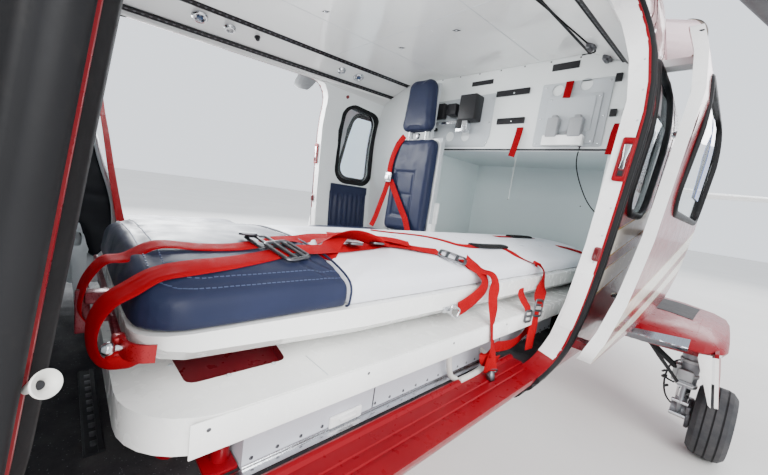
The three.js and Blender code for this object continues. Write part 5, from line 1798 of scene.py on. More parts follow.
# foot strap with its grip, two narrower ones further aft
footStraps = [
    strapRun(
        [(0.24, -0.4, 0.346), (0.28, -0.352, 0.348), (0.318, -0.29, 0.349), (0.352, -0.248, 0.349),
         (0.4, -0.232, 0.346), (0.452, -0.222, 0.341), (0.47, -0.19, 0.338), (0.474, -0.15, 0.338)]),
    strapRun(
        [(0.483, 0.01, 0.336), (0.506, 0.012, 0.332), (0.542, 0.018, 0.321), (0.574, 0.066, 0.31),
         (0.592, 0.094, 0.299), (0.602, 0.118, 0.278), (0.608, 0.116, 0.247), (0.619, 0.084, 0.224),
         (0.635, 0.034, 0.206), (0.6465, 0.006, 0.188)],
        {4: (-0.3, 0.9, -0.3), 5: (-0.2, 0.97, 0.0), 6: (-0.1, 0.99, -0.1), 7: (0.1, 0.94, 0.2),
         8: (0.2, 0.93, 0.25), 9: (0.1, 0.97, 0.1)}),
    strapRun(
        [(0.648, 0.0, 0.168), (0.649, -0.004, 0.14), (0.6485, -0.006, 0.108), (0.647, -0.004, 0.07),
         (0.646, 0.002, 0.034)],
        {0: (0, 0.98, 0.1), 1: (0.2, 0.96, 0), 2: (0.4, 0.9, 0.0), 3: (0.35, 0.93, 0.05),
         4: (0.3, 0.95, 0.0)}),
    strapRun(
        [(0.6455, 0.02, 0.092), (0.63, 0.048, 0.088), (0.612, 0.05, 0.08), (0.612, 0.0, 0.06),
         (0.617, -0.07, 0.056), (0.622, -0.15, 0.068), (0.632, -0.225, 0.086), (0.64, -0.275, 0.082),
         (0.636, -0.268, 0.058), (0.624, -0.215, 0.034), (0.618, -0.15, 0.022)],
        {0: (0.2, 0.3, 0.93), 1: (0.1, 0.3, 0.95), 2: (0, 0.3, 0.95), 3: (0.1, 0.1, 0.98),
         4: (0.1, 0.0, 1.0), 5: (0.1, -0.1, 1.0), 6: (0.2, 0, 0.98), 7: (0.5, 0.3, 0.8),
         8: (0.4, 0.5, 0.75), 9: (0.3, 0.3, 0.9), 10: (0.2, 0.2, 0.95)}),
    strapRun(
        [(0.597, -0.032, 0.238), (0.606, -0.042, 0.215), (0.624, -0.056, 0.198), (0.64, -0.064, 0.186),
         (0.648, -0.066, 0.172)],
        {0: (0, 1, 0), 1: (0, 1, 0.1), 2: (0.05, 1, 0.1), 3: (0.05, 1, 0.1), 4: (0, 1, 0.1)}),
    strapRun([(0.476, 0.582, 0.338), (0.5, 0.634, 0.332), (0.52, 0.682, 0.328), (0.545, 0.742, 0.32)]),
]
ribbons("footStraps", footStraps, 0.034, webRed, strapLook["thick"])
narrow = [strapRun([(0.304, 0.3, 0.35), (0.306, 0.38, 0.35), (0.308, 0.44, 0.35)]),
          strapRun([(0.313, 0.61, 0.35), (0.316, 0.665, 0.35)])]
ribbons("farStraps", narrow, 0.034, webRed, strapLook["thick"])
print("straps done")

# dark plastic grips over the foot straps
for name, places in (("gripNear", [(0.473, -0.16, 0.338), (0.478, -0.075, 0.338), (0.484, 0.02, 0.336)]),
                     ("gripFar", [(0.308, 0.425, 0.35), (0.311, 0.52, 0.35), (0.314, 0.62, 0.35)])):
    path = [cab(*p) for p in laid(places, 0.005)]
    across = rail([(p.x, p.y, p.z) for p in path], (1, 0, 0))
    outs = [Vector((0, 0, 1))] * 9
    half = 0.019
    sweep(name, smoothPath(path, 4), outs,
        [(-half, -0.004), (-half - 0.002, 0.0), (-half, 0.004), (-half * 0.5, 0.006), (half * 0.5, 0.006),
         (half, 0.004), (half + 0.002, 0.0), (half, -0.004)], sealRubber)


def frameRing(place, ahead, across, length, width, rod, bars):
    # a slotted adjuster: rounded rectangle of round bar with cross bars
    ahead, across = Vector(ahead).normalized(), Vector(across).normalized()
    out = ahead.cross(across).normalized()
    parts = []
    outline = roundedOutline(square(-length / 2, length / 2, -width / 2, width / 2), rod * 2.2, 3)
    bar = disc(rod, 10, 0.65)
    ring = [place + ahead * a + across * b for a, b in outline]
    parts.append(sweepLists(ring, [out] * len(ring), bar, True)[:2])
    for a in bars:
        run = [place + ahead * a - across * (width / 2), place + ahead * a + across * (width / 2)]
        parts.append(sweepLists(run, [out] * 2, bar)[:2])
    return parts


def seatedOn(x, aft, up, lift=0.006):
    return cab(x, aft, onTop(x, aft, lift, up))


parts = frameRing(seatedOn(0.503, -0.823, 0.33, 0.008), (-0.3, 0.92, 0.03), (0.92, 0.3, -0.25), 0.052,
    0.066, 0.0042, (-0.006, 0.014))
parts += frameRing(seatedOn(0.452, -0.846, 0.34, 0.007), (-0.1, 0.98, 0.0), (0.98, 0.1, -0.12), 0.042,
    0.062, 0.0036, (0.0,))
parts += frameRing(seatedOn(0.545, -0.372, 0.32, 0.007), (0.75, 0.62, -0.2), (-0.45, 0.8, 0.1), 0.07,
    0.06, 0.0042, (-0.015, 0.012))
addJoined("strapAdjusters", parts, darkMetal, sharp=50)
parts = []
for place, length in ((seatedOn(0.42, -0.862, 0.34, 0.01), 0.052),
        (seatedOn(0.486, -0.66, 0.336, 0.012), 0.04), (seatedOn(0.478, -0.588, 0.337, 0.01), 0.036)):
    ahead = Vector((0.9, -0.35, 0.12)).normalized()
    side = Vector((0.3, 0.9, 0.0)).normalized()
    outline = roundedOutline(square(-length / 2, length / 2, -0.016, 0.016), 0.007, 3)
    parts.append(plateLists(outline, place, ahead, side, 0.005, 0.0015, ()))
addJoined("strapTongues", parts, darkMetal)
parts = frameRing(cab(0.65, -0.0665, 0.16), (0.05, -0.1, -0.99), (0, 0.99, -0.1), 0.034, 0.046, 0.0038,
    (0.0,))
parts += frameRing(cab(0.65, 0.002, 0.177), (0.05, -0.15, -0.98), (0.1, 0.98, -0.15), 0.052, 0.048, 0.004,
    (-0.01, 0.008))
addJoined("footAdjusters", parts, darkMetal, sharp=50)
# bright rings and hooks on the pan's side, the loose end's hook on the sill
parts = frameRing(cab(0.6085, -0.418, 0.212), (0, 0.5, 0.86), (0, 0.86, -0.5), 0.024, 0.04, 0.003, ())
parts.append(
    turnedLists([(0, 0.01), (0.006, 0.009), (0.008, 0.004), (0.008, -0.012), (0, -0.012)],
        cab(0.604, -0.442, 0.218), (1, 0, 0), 16))
parts.append(cabBlock((0.598, -0.462, 0.212), (0.607, -0.425, 0.226), 0.002))
addJoined("panRing", parts, brightMetal, sharp=50)
parts = [
    turnedLists(
        [(0, 0.004), (0.008, 0.003), (0.011, -0.004), (0.011, -0.02), (0.007, -0.024), (0, -0.024)],
        cab(0.646, -0.243, 0.022), (-0.3, 0.2, 0.93), 16),
]
parts += frameRing(cab(0.645, -0.2425, 0.026), (0.2, -0.1, 0.95), (0.5, 0.86, 0.0), 0.01, 0.04, 0.0026, ())
addJoined("looseEndHook", parts, darkMetal, sharp=50)

# red clamp on the pan's corner with a bright ball, red end frame across the head of the litter
clampParts = []
path = [cab(0.6078, -1.031, 0.25), cab(0.6045, -1.044, 0.251), cab(0.597, -1.0535, 0.252),
    cab(0.587, -1.059, 0.253), cab(0.573, -1.0625, 0.254)]
clampParts.append(ribbonLists(path, (0, 0, 1), 0.022, 0.005, 5)[:2])
clampParts.append(cabBlock((0.562, -1.069, 0.24), (0.58, -1.056, 0.264), 0.003))
redMetal = surface("anodisedRed", (0.3, 0.004, 0.008), 0.3, 0.06, 30, 900, 0.00003, 0.02, Metallic=0.3)
addJoined("panClamp", clampParts, redMetal, sharp=50)
turnedPiece("clampBall",
    [(0, 0.0075), (0.004, 0.0065), (0.007, 0.003), (0.0078, 0), (0.007, -0.003), (0.004, -0.006),
     (0.003, -0.016), (0, -0.016)], cab(0.588, -1.0735, 0.2565), (0.1, -0.98, 0.1), brightMetal, 20)
parts = [cabBlock((0.446, -1.099, 0.222), (0.454, -1.083, 0.284), 0.002),
    cabBlock((0.446, -1.09, 0.268), (0.47, -1.058, 0.284), 0.003),
    cabBlock((0.1, -1.064, 0.236), (0.56, -1.056, 0.252), 0.003),
    cabBlock((0.444, -1.086, 0.236), (0.456, -1.058, 0.248), 0.002)]
addJoined("litterEndFrame", parts,
    surface("frameDarkRed", (0.13, 0.004, 0.012), 0.3, 0.06, 30, 900, 0.00003, 0.04, Metallic=0.3),
    sharp=40)


# crew seat's back pad and belt, cabin seat's belt, rims and fittings
crewLook = {
    "pad": [(-1.035, 0.19), (-1.012, 0.215), (-1.008, 0.245), (-1.007, 0.285), (-1.01, 0.336),
        (-1.02, 0.386), (-1.034, 0.435), (-1.045, 0.476), (-1.055, 0.534), (-1.058, 0.593),
        (-1.057, 0.644), (-1.06, 0.7), (-1.067, 0.78), (-1.08, 0.86), (-1.092, 0.905), (-1.11, 0.918),
        (-1.128, 0.905), (-1.128, 0.8), (-1.118, 0.7), (-1.105, 0.62), (-1.085, 0.547), (-1.086, 0.488),
        (-1.092, 0.418), (-1.098, 0.347), (-1.094, 0.294), (-1.068, 0.2), (-1.05, 0.188)],
    "x": (-0.555, -0.105),
    "rim": [(-1.063, 0.644), (-1.066, 0.593), (-1.062, 0.534), (-1.052, 0.476), (-1.042, 0.435),
        (-1.028, 0.386), (-1.018, 0.336), (-1.015, 0.279), (-1.016, 0.24), (-1.045, 0.196)],
    "belt": [(-1.066, 0.8), (-1.06, 0.73), (-1.0575, 0.69), (-1.056, 0.64), (-1.05, 0.58),
        (-1.0405, 0.52), (-1.029, 0.44), (-1.0155, 0.357), (-1.004, 0.296), (-0.992, 0.262)],
}
left, right = crewLook["x"]
rings = []
for share, inset in ((0.0, 0.013), (0.006, 0.006), (0.016, 0.001), (0.03, 0.0), (0.5, 0.0), (0.97, 0.0),
        (0.984, 0.001), (0.994, 0.006), (1.0, 0.013)):
    outline = grownOutline(crewLook["pad"], -inset)
    rings.append([cab(left + (right - left) * share, aft, up) for aft, up in outline])


def crewDrawn(at):
    x, aft, up = local(at)
    if aft < -1.115 + 0.03 * (up < 0.6):
        return 0.0
    deep = max(valley(up - line, 0.005, 0.004) for line in (0.36, 0.52, 0.7))
    for line in (left + 0.09, right - 0.09):
        deep = max(deep, valley(x - line, 0.005, 0.004))
    return deep


puffed("crewSeatBackPad", loft(rings), 0.01, lambda at: at.y + jambAft < -1.09, crewDrawn,
    blackLeather, waves=0.0006)
edge = smoothPath([cab(-0.1045, aft, up) for aft, up in crewLook["rim"]], 4)
sweep("crewSeatRim", edge, [Vector((1, 0, 0))] * len(edge),
    easedProfile(0.004, 0.002, -0.006, 0.001, 0.0025), greyPlate)
beltPath = [cab(-0.098 - 0.02 * max(0, (up - 0.64) / 0.16), aft + 0.004, up) for aft, up in crewLook["belt"]]
beltAcross = []
for i in range(len(beltPath)):
    ahead = aheadAt(beltPath, i)
    beltAcross.append(
        Vector((1, 0, 0)) + ahead.cross(Vector((1, 0, 0))) * (0.12 + 0.42 * i / (len(beltPath) - 1)))
loopRun = [(-0.098, -0.99, 0.262), (-0.096, -0.972, 0.282), (-0.095, -0.948, 0.288),
    (-0.096, -0.922, 0.28), (-0.098, -0.9, 0.262), (-0.102, -0.893, 0.246), (-0.106, -0.912, 0.2375),
    (-0.112, -0.945, 0.236), (-0.12, -0.975, 0.238)]
ribbons("crewBelt", [(beltPath, beltAcross), (cabPath(loopRun), (0.92, 0.12, 0.36))], 0.044, webRed, 0.0018)
# the seat's side plate with its hook-shaped notch, cross tube and foot
side = [(-1.116, 0.287), (-1.062, 0.287), (-1.058, 0.24), (-1.066, 0.2), (-1.068, 0.11), (-1.04, 0.1),
    (-1.037, 0.004), (-1.085, 0.009), (-1.091, 0.09), (-1.097, 0.18)]
cutPlate("crewSeatSidePlate", roundedOutline(side, 0.005, 3), cab(-0.12, 0, 0), (0, 1, 0), (0, 0, 1),
    0.009, greyPlate, 0.0015, [roundedOutline(square(-1.098, -1.078, 0.225, 0.262), 0.008, 4)])
tubes("crewSeatTubes",
    [([cab(-0.52, -1.085, 0.27), cab(-0.116, -1.085, 0.27)], 0.011),
     ([cab(-0.5, -1.06, 0.05), cab(-0.116, -1.06, 0.05)], 0.009),
     ([cab(-0.115, -1.03, 0.135), cab(-0.115, -0.8, 0.15), cab(-0.115, -0.62, 0.15)], 0.008)], greyPlate,
    12, 2)
turnedPiece("crewSeatKnob",
    [(0.0, 0.026), (0.008, 0.025), (0.011, 0.02), (0.009, 0.012), (0.004, 0.008), (0.0045, -0.004),
     (0.0, -0.004)], cab(-0.104, -1.03, 0.135), (1, -0.2, 0.1), blackPlastic, 18)

# cabin seat: belt from over the shoulder to a buckle, then down to both hips
yoke = [
    ((-0.325, 0.262, 0.805), (-0.358, 0.2555, 0.76), (-0.383, 0.252, 0.7), (-0.395, 0.2505, 0.64),
     (-0.395, 0.2495, 0.585)),
]
lap = [
    ((-0.395, 0.25, 0.545), (-0.412, 0.25, 0.48), (-0.436, 0.2505, 0.41), (-0.458, 0.246, 0.33),
     (-0.47, 0.232, 0.272)),
    ((-0.375, 0.25, 0.55), (-0.33, 0.251, 0.49), (-0.275, 0.251, 0.418), (-0.215, 0.248, 0.345),
     (-0.165, 0.232, 0.276)),
]
runs = []
for run in yoke + lap:
    path = cabPath(run)
    across = []
    for i in range(len(path)):
        ahead = aheadAt(path, i)
        across.append(ahead.cross(Vector((0, 1, 0))))
    runs.append((path, across))
ribbons("cabinSeatHarness", runs, 0.04, webRed, 0.0018)
parts = [cabBlock((-0.417, 0.236, 0.54), (-0.366, 0.2515, 0.6), 0.006, 3),
    cabBlock((-0.408, 0.228, 0.552), (-0.376, 0.24, 0.582), 0.004, 3)]
addJoined("cabinSeatBuckle", parts, brightMetal)
parts = [
    turnedLists([(0.0, 0.012), (0.006, 0.0115), (0.012, 0.009), (0.015, 0.004), (0.016, 0.0), (0.0, 0.0)],
        cab(-0.258, 0.3, 0.811), (0, -1, 0), 24),
]
for x in (-0.318, -0.198):
    parts.append(
        turnedLists([(0.0, 0.055), (0.0055, 0.055), (0.0055, 0.0), (0.0, 0.0)], cab(x, 0.292, 0.782),
            (0, 0, 1), 14))
addJoined("cabinSeatPosts", parts, brightMetal)
# ivory rim round the back cushion and its hinge covers
rimRing = roundedOutline(square(-0.4105, -0.1055, 0.26, 0.7935), 0.036, 6)
rimPath = [cab(x, 0.322, up) for x, up in rimRing]
outs = [(p - cab(-0.258, 0.322, 0.53)).normalized() for p in rimPath]
sweep("cabinSeatRim", rimPath, outs, easedProfile(0.008, 0.005, -0.004, 0.002, 0.0035),
      postWhite, closed=True)
parts = []
for x in (-0.087, -0.429):
    parts.append(cabBlock((x - 0.014, 0.3, 0.27), (x + 0.014, 0.345, 0.345), 0.005, 3))
    parts.append(cabBlock((x - 0.011, 0.335, 0.345), (x + 0.011, 0.355, 0.46), 0.004, 2))
    parts.append(turnedLists([(0.0, 0.006), (0.011, 0.006), (0.014, 0.003), (0.014, -0.002), (0.0, -0.002)],
                             cab(x + math.copysign(0.014, x + 0.258), 0.322, 0.308), (x + 0.258, 0, 0), 20))
addJoined("cabinSeatHinges", parts, postWhite)
# small black stubs beside the headrest: the wall's belt guide
parts = [cabBlock((-0.425, 0.395, 0.985), (-0.385, 0.418, 1.0), 0.003),
    cabBlock((-0.415, 0.398, 0.855), (-0.395, 0.418, 0.885), 0.003)]
addJoined("wallBeltGuides", parts, blackPlastic)
print("seat trim done")


# floor, stretcher box and deck trim, wall pocket, lamp
def onSolid(name):
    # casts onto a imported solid: place on it and the way it faces
    tree = BVHTree.FromObject(nodes[name], bpy.context.evaluated_depsgraph_get())

    def cast(start, aim):
        hit = tree.ray_cast(Vector(start), Vector(aim).normalized())
        return (hit[0], hit[1]) if hit[0] is not None else (None, None)
    return cast


boxLook = {"rivetRows": (0.104, 0.016), "rivetStep": 0.045, "from": -0.885, "to": 0.385}
rivets = []
for row in boxLook["rivetRows"]:
    for at in spaced((boxLook["from"], 0, 0), (boxLook["to"], 0, 0), boxLook["rivetStep"]):
        rivets.append((cab(0.5713, at.x, row), Vector((1, 0, 0))))
for at in spaced((0.13, 0, 0), (0.55, 0, 0), 0.06):
    rivets.append((cab(at.x, -0.9005, 0.104), Vector((0, -1, 0))))
repeated("boxRivets", "dome", rivets, (0.0075, 0.0075, 0.004), darkMetal)
blocks("boxFlanges", [(0.5712, 0.59, -0.93, -0.18, 0.0006, 0.003), (0.5712, 0.5735, -0.9, 0.4, 0.003, 0.0085),
                      (0.5712, 0.5728, -0.885, 0.385, 0.092, 0.1175)], brightMetal, 0.0006)
blocks("boxPanelJoints",
    [(0.5711, 0.5722, aft - 0.0012, aft + 0.0012, 0.009, 0.092) for aft in (-0.62, -0.34, -0.06, 0.2)],
    darkMetal, 0.0003)
parts = [cabBlock((0.5712, -0.735, 0.006), (0.577, -0.655, 0.03), 0.0025),
    cabBlock((0.5712, -0.715, 0.018), (0.586, -0.675, 0.026), 0.003)]
parts.append(
    turnedLists([(0.0, 0.007), (0.012, 0.0065), (0.016, 0.004), (0.017, 0.0), (0.0, 0.0)],
        cab(0.5712, -0.413, 0.088), (1, 0, 0), 22))
parts.append(
    turnedLists([(0.0, 0.005), (0.008, 0.005), (0.01, 0.003), (0.01, 0.0), (0.0, 0.0)],
        cab(0.5712, -0.343, 0.022), (1, 0, 0), 18))
parts.append(cabBlock((0.5712, -0.425, 0.06), (0.576, -0.392, 0.084), 0.002))
addJoined("boxLatches", parts, postWhite)
hose = [(0.6, -0.4, 0.108), (0.598, -0.385, 0.06), (0.597, -0.366, 0.022), (0.6, -0.345, 0.0095)]
tubes("boxHose",
    [(cabPath(hose), 0.0075),
     ([cab(0.572, -0.4, 0.108), cab(0.5905, -0.4, 0.1085), cab(0.6, -0.4, 0.106)], 0.0085),
     ([cab(0.612, -0.345, 0.0085), cab(0.612, -0.27, 0.0085), cab(0.609, -0.22, 0.014),
       cab(0.6, -0.19, 0.03), cab(0.574, -0.18, 0.044)], 0.0085)], whiteRubber, 12, 5)
# lateral seat track let into the floor, with its round pockets
trackEnds = (cab(0.142, -1.072, 0.0), cab(0.417, -1.071, 0.0))
ahead = (trackEnds[1] - trackEnds[0]).normalized()
side = Vector((-ahead.y, ahead.x, 0))
h = 0.0135
tracks, pits = [], []
for a, b in (trackEnds, (cab(-0.55, -0.5, 0.0), cab(-0.1, -0.5, 0.0)),
        (cab(-0.55, -0.78, 0.0), cab(-0.1, -0.78, 0.0))):
    path = [a + Vector((0, 0, 0.0008)), b + Vector((0, 0, 0.0008))]
    tracks.append(
        sweepLists(path, [Vector((0, 0, 1))] * 2,
            [(-h, -0.001), (-h, 0.003), (-h * 0.8, 0.0045), (-h * 0.35, 0.0045), (-h * 0.35, 0.002),
             (h * 0.35, 0.002), (h * 0.35, 0.0045), (h * 0.8, 0.0045), (h, 0.003), (h, -0.001)])[:2])
    for at in spaced(a, b, 0.0254)[1:-1]:
        pits.append((at + Vector((0, 0, 0.0032)), Vector((0, 0, 1))))
addJoined("floorTracks", tracks, blackPlastic, sharp=25)
repeated("floorTrackPockets", "dome", pits, (0.0165, 0.0165, 0.003), darkMetal)
# deck: panel joints, rim of the recess, screws, edge panel
blocks("deckJoints",
    [(0.3338, 0.3362, -1.055, -0.992, 0.1698, 0.1706), (0.05, 0.325, -0.8008, -0.7988, 0.1698, 0.1706),
     (0.565, 0.636, -0.8008, -0.7988, 0.1698, 0.1706)], greyPlate, 0.0003)
rim = [(0.33, -0.99), (0.56, -0.985), (0.56, -0.835), (0.33, -0.8)]
outer = roundedOutline(grownOutline(rim, 0.0045), 0.006, 3)
rimPiece = cutPlate("deckRecessRim", outer, cab(0, 0, 0.17), (1, 0, 0), (0, 1, 0), 0.0022, postWhite, 0.0007,
                    [roundedOutline(rim, 0.004, 3)])
for v in rimPiece.data.vertices:
    v.co.y -= jambAft
screws = [
    (cab(x, aft, 0.1722), Vector((0, 0, 1)))
    for x, aft in ((0.42, -1.02), (0.36, -0.9955), (0.5, -0.9925), (0.566, -0.93), (0.566, -0.86),
        (0.4, -0.795))
]
repeated("deckScrews", "dome", screws, (0.008, 0.008, 0.003), greyPlate)
blocks("deckEdgePanel", [(0.6431, 0.6458, -1.0, 0.842, 0.1215, 0.1685)], shellWhite, 0.0011)
repeated("deckEdgeRivets", "dome",
    [(cab(0.646, -0.979 + 0.26 * k, 0.155), Vector((1, 0, 0))) for k in range(7)], (0.006, 0.006, 0.002),
    darkMetal)
# red legs under the deck's near edge, ahead of the box
tubes("deckLegs",
    [([cab(x, -0.922, 0.118), cab(x, -0.922, 0.002)], 0.0145) for x in (0.535, 0.145)] + [
        ([cab(x, -0.928, 0.118), cab(x + 0.07, -0.924, 0.02)], 0.0105) for x in (0.462, 0.072)], plainRed,
    16, 2)
blocks("deckFeet", [(x - 0.034, x + 0.03, -0.952, -0.9025, 0.0006, 0.009) for x in (0.535, 0.145)],
    plainRed, 0.003)

# wall pocket for papers: taut band, gathered bag
pocketLook = {"aft": (0.092, 0.383), "up": (0.195, 0.49), "stand": 0.016}
rings = []
columns, rows = 64, 22
(a0, a1), (u0, u1) = pocketLook["aft"], pocketLook["up"]
for r in range(rows + 1):
    up = u0 + (u1 - u0) * r / rows
    ring = []
    for c in range(columns + 1):
        share = c / columns
        aft = a0 + (a1 - a0) * share
        at = cab(0, aft, up)
        wallX = skinX(at.y, at.z) - 0.0455
        depth = (up - u0) / (u1 - u0)
        bag = math.sin(math.pi * min(depth / 0.86, 1)) ** 0.7 * (1 - (2 * share - 1) ** 6)
        fold = 0.0042 * math.sin(share * 47 + 1.2 * math.sin(depth * 4)) * min(1, 3 * bag) * (
            1 - min(1, max(0, (depth - 0.72) / 0.12)))
        ring.append(
            Vector(
                (-(wallX - 0.0025 - pocketLook["stand"] * bag - 0.006 * (depth > 0.86) - fold - 0.002),
                 at.y, at.z)))
    rings.append(ring)
verts = [p for ring in rings for p in ring]
faces = [
    [r * (columns + 1) + c, r * (columns + 1) + c + 1, (r + 1) * (columns + 1) + c + 1,
     (r + 1) * (columns + 1) + c] for r in range(rows) for c in range(columns)
]
uvs = [(c / columns * 0.4, r / rows * 0.3) for r in range(rows + 1) for c in range(columns + 1)]
pocket = addPiece("wallPocket", verts, faces, navy, uvs=uvs)
thick = pocket.modifiers.new("thick", "SOLIDIFY")
thick.thickness = 0.0012
thick.offset = 0
hem = [[rings[0][c] + Vector((0.001, 0, 0)) for c in range(0, columns + 1, 2)],
    [rings[-1][c] + Vector((0.001, 0, 0)) for c in range(0, columns + 1, 2)]]
hem += [[rings[r][0] for r in range(rows + 1)], [rings[r][-1] for r in range(rows + 1)]]
tubesOf = []
for run in hem:
    tubesOf.append(rodLists(run, 0.0024, 8))
pocketHem = addJoined("wallPocketHem", tubesOf, navy)
# red lamp above the far window
lampAt = cab(0, 0.124, 1.02)
lampX = skinX(lampAt.y, lampAt.z) - 0.045
turnedPiece("wallLampRed",
    [(0.0, 0.01), (0.008, 0.009), (0.012, 0.005), (0.013, 0.0), (0.013, -0.004), (0.0, -0.004)],
    Vector((-lampX, lampAt.y, lampAt.z)), (1, 0, -0.3), darkRed, 20)
print("floor and wall trim done")


# the slid cabin doors: front edge strip and seal, rivets, blue film, catches; both sides
slidLook = {"thick": 0.03, "frontRivets": (0.1, 0.19, 0.28, 0.37, 0.46, 0.55, 0.64, 0.73, 0.82, 0.91)}


def onDoor(aft, up, side, inwards=0.0):
    # a place on the slid door's outer face, measured where the door is shut
    at = cab(0, aft, up)
    return skinPoint(at.y, at.z, -inwards, side) + Vector((side * doorSlide[0], doorSlide[1], doorSlide[2]))


def frontEdge(up):
    # the door's front edge, a little behind the opening's
    if up > 0.56:
        return -1.097 + (up - 0.56) * 0.047 / 0.452
    return -1.134 + (up - 0.268) * 0.037 / 0.292 if up > 0.268 else -1.134 - (0.268 - up) * 0.246


rivets, strips, seals, catches, films = [], [], [], [], []
for side in (1, -1):
    for up in slidLook["frontRivets"]:
        rivets.append(
            (onDoor(frontEdge(up) + 0.03, up, side, slidLook["thick"] + 0.0004), Vector((-side, 0, 0))))
        rivets.append(
            (onDoor(frontEdge(up) + 0.0075, up - 0.03, side, 0.015) + Vector((0, -0.004, 0)),
             Vector((0, -1, 0))))
    inner, outer = [], []
    for k in range(19):
        up = 0.06 + 0.92 * k / 18
        edge = frontEdge(up) + 0.008
        inner.append(
            [onDoor(edge + d, up, side, i)
             for d, i in ((-0.001, slidLook["thick"] - 0.001), (-0.001, slidLook["thick"] + 0.003),
                 (0.034, slidLook["thick"] + 0.003), (0.036, slidLook["thick"] - 0.001))])
        outer.append(
            [onDoor(edge + d, up, side, i)
             for d, i in ((-0.0005, 0.004), (-0.0045, 0.006), (-0.0055, 0.011), (-0.0045, 0.016),
                 (-0.0005, 0.018))])
    strips.append(loft(inner))
    seals.append(loft(outer))
    for up in (0.2, 0.7):
        spot = onDoor(frontEdge(up) + 0.06, up, side, slidLook["thick"])
        catches.append(
            bevelled(spot - Vector((0.014, 0.02, 0.012)), spot + Vector((0.014, 0.02, 0.012)), 0.004))
        catches.append(
            turnedLists([(0.0, 0.016), (0.006, 0.015), (0.009, 0.011), (0.01, 0.0), (0.0, 0.0)],
                spot + Vector((-side * 0.012, 0, 0)), (-side, 0, 0), 16))
    film = [
        [onDoor(aft, up, side, 0.0066), onDoor(aft + 0.17, up, side, 0.0066),
         onDoor(aft + 0.17, up, side, 0.0086), onDoor(aft, up, side, 0.0086)]
        for aft, up in (
            (-0.53 + 0.27 * (0.87 - u), u) for u in (0.868, 0.82, 0.77, 0.72, 0.67, 0.62, 0.57))
    ]
    films.append(loft(film))
addJoined("slidWindowFilms", films, blueFilm, sharp=30)
addJoined("slidDoorFrontStrips", strips, postWhite, sharp=30)
addJoined("slidDoorEdgeSeals", seals, sealGloss, sharp=50)
repeated("slidDoorRivets", "dome", rivets, (0.007, 0.007, 0.0034), darkMetal)
addJoined("slidDoorCatches", catches, brightMetal)
print("slid door trim done")


# undercarriage, stub wings: pads, leading strips, castings, brakes, bolts; both sides
def mm(x, station, z):
    # measured in mm: port, from the nose, above the ground
    return Vector((x / 1000, station / 1000 - originStation, z / 1000))


def ringSpots(middle, axis, radius, count):
    u, v = axisFrame(axis)[:2]
    return [Vector(middle) + (u * math.cos(t) + v * math.sin(t)) * radius
            for t in (2 * math.pi * k / count for k in range(count))]


def draped(cast, aim, first, across, up, columns, rows, lift, thick):
    # a thin closed sheet laid on a solid where casts along aim meet it: first corner and two spans
    aim = Vector(aim).normalized()
    places = {}
    verts, faces = [], []
    for r in range(rows + 1):
        for c in range(columns + 1):
            spot, facing = cast(Vector(first) + Vector(across) * (c / columns) + Vector(up) * (r / rows), aim)
            if spot is not None and facing.dot(aim) < -0.1:
                places[c, r] = len(verts)
                verts += [spot + facing * (lift + thick), spot - facing * 0.001]
    borders = {}
    for r in range(rows):
        for c in range(columns):
            ring = [(c, r), (c + 1, r), (c + 1, r + 1), (c, r + 1)]
            if all(p in places for p in ring):
                tops = [places[p] for p in ring]
                spread = max((verts[i] - verts[j]).length for i in tops for j in tops)
                if spread < 4 * max(Vector(across).length / columns, Vector(up).length / rows):
                    faces += [tops, [i + 1 for i in tops[::-1]]]
                    for i, j in zip(tops, tops[1:] + tops[:1]):
                        borders[i, j] = borders.get((i, j), 0) + 1
    for i, j in borders:
        if (j, i) not in borders:
            faces.append([j, i, i + 1, j + 1])
    used = sorted({i for face in faces for i in face})
    order = {i: k for k, i in enumerate(used)}
    return [verts[i] for i in used], [[order[i] for i in face] for face in faces]


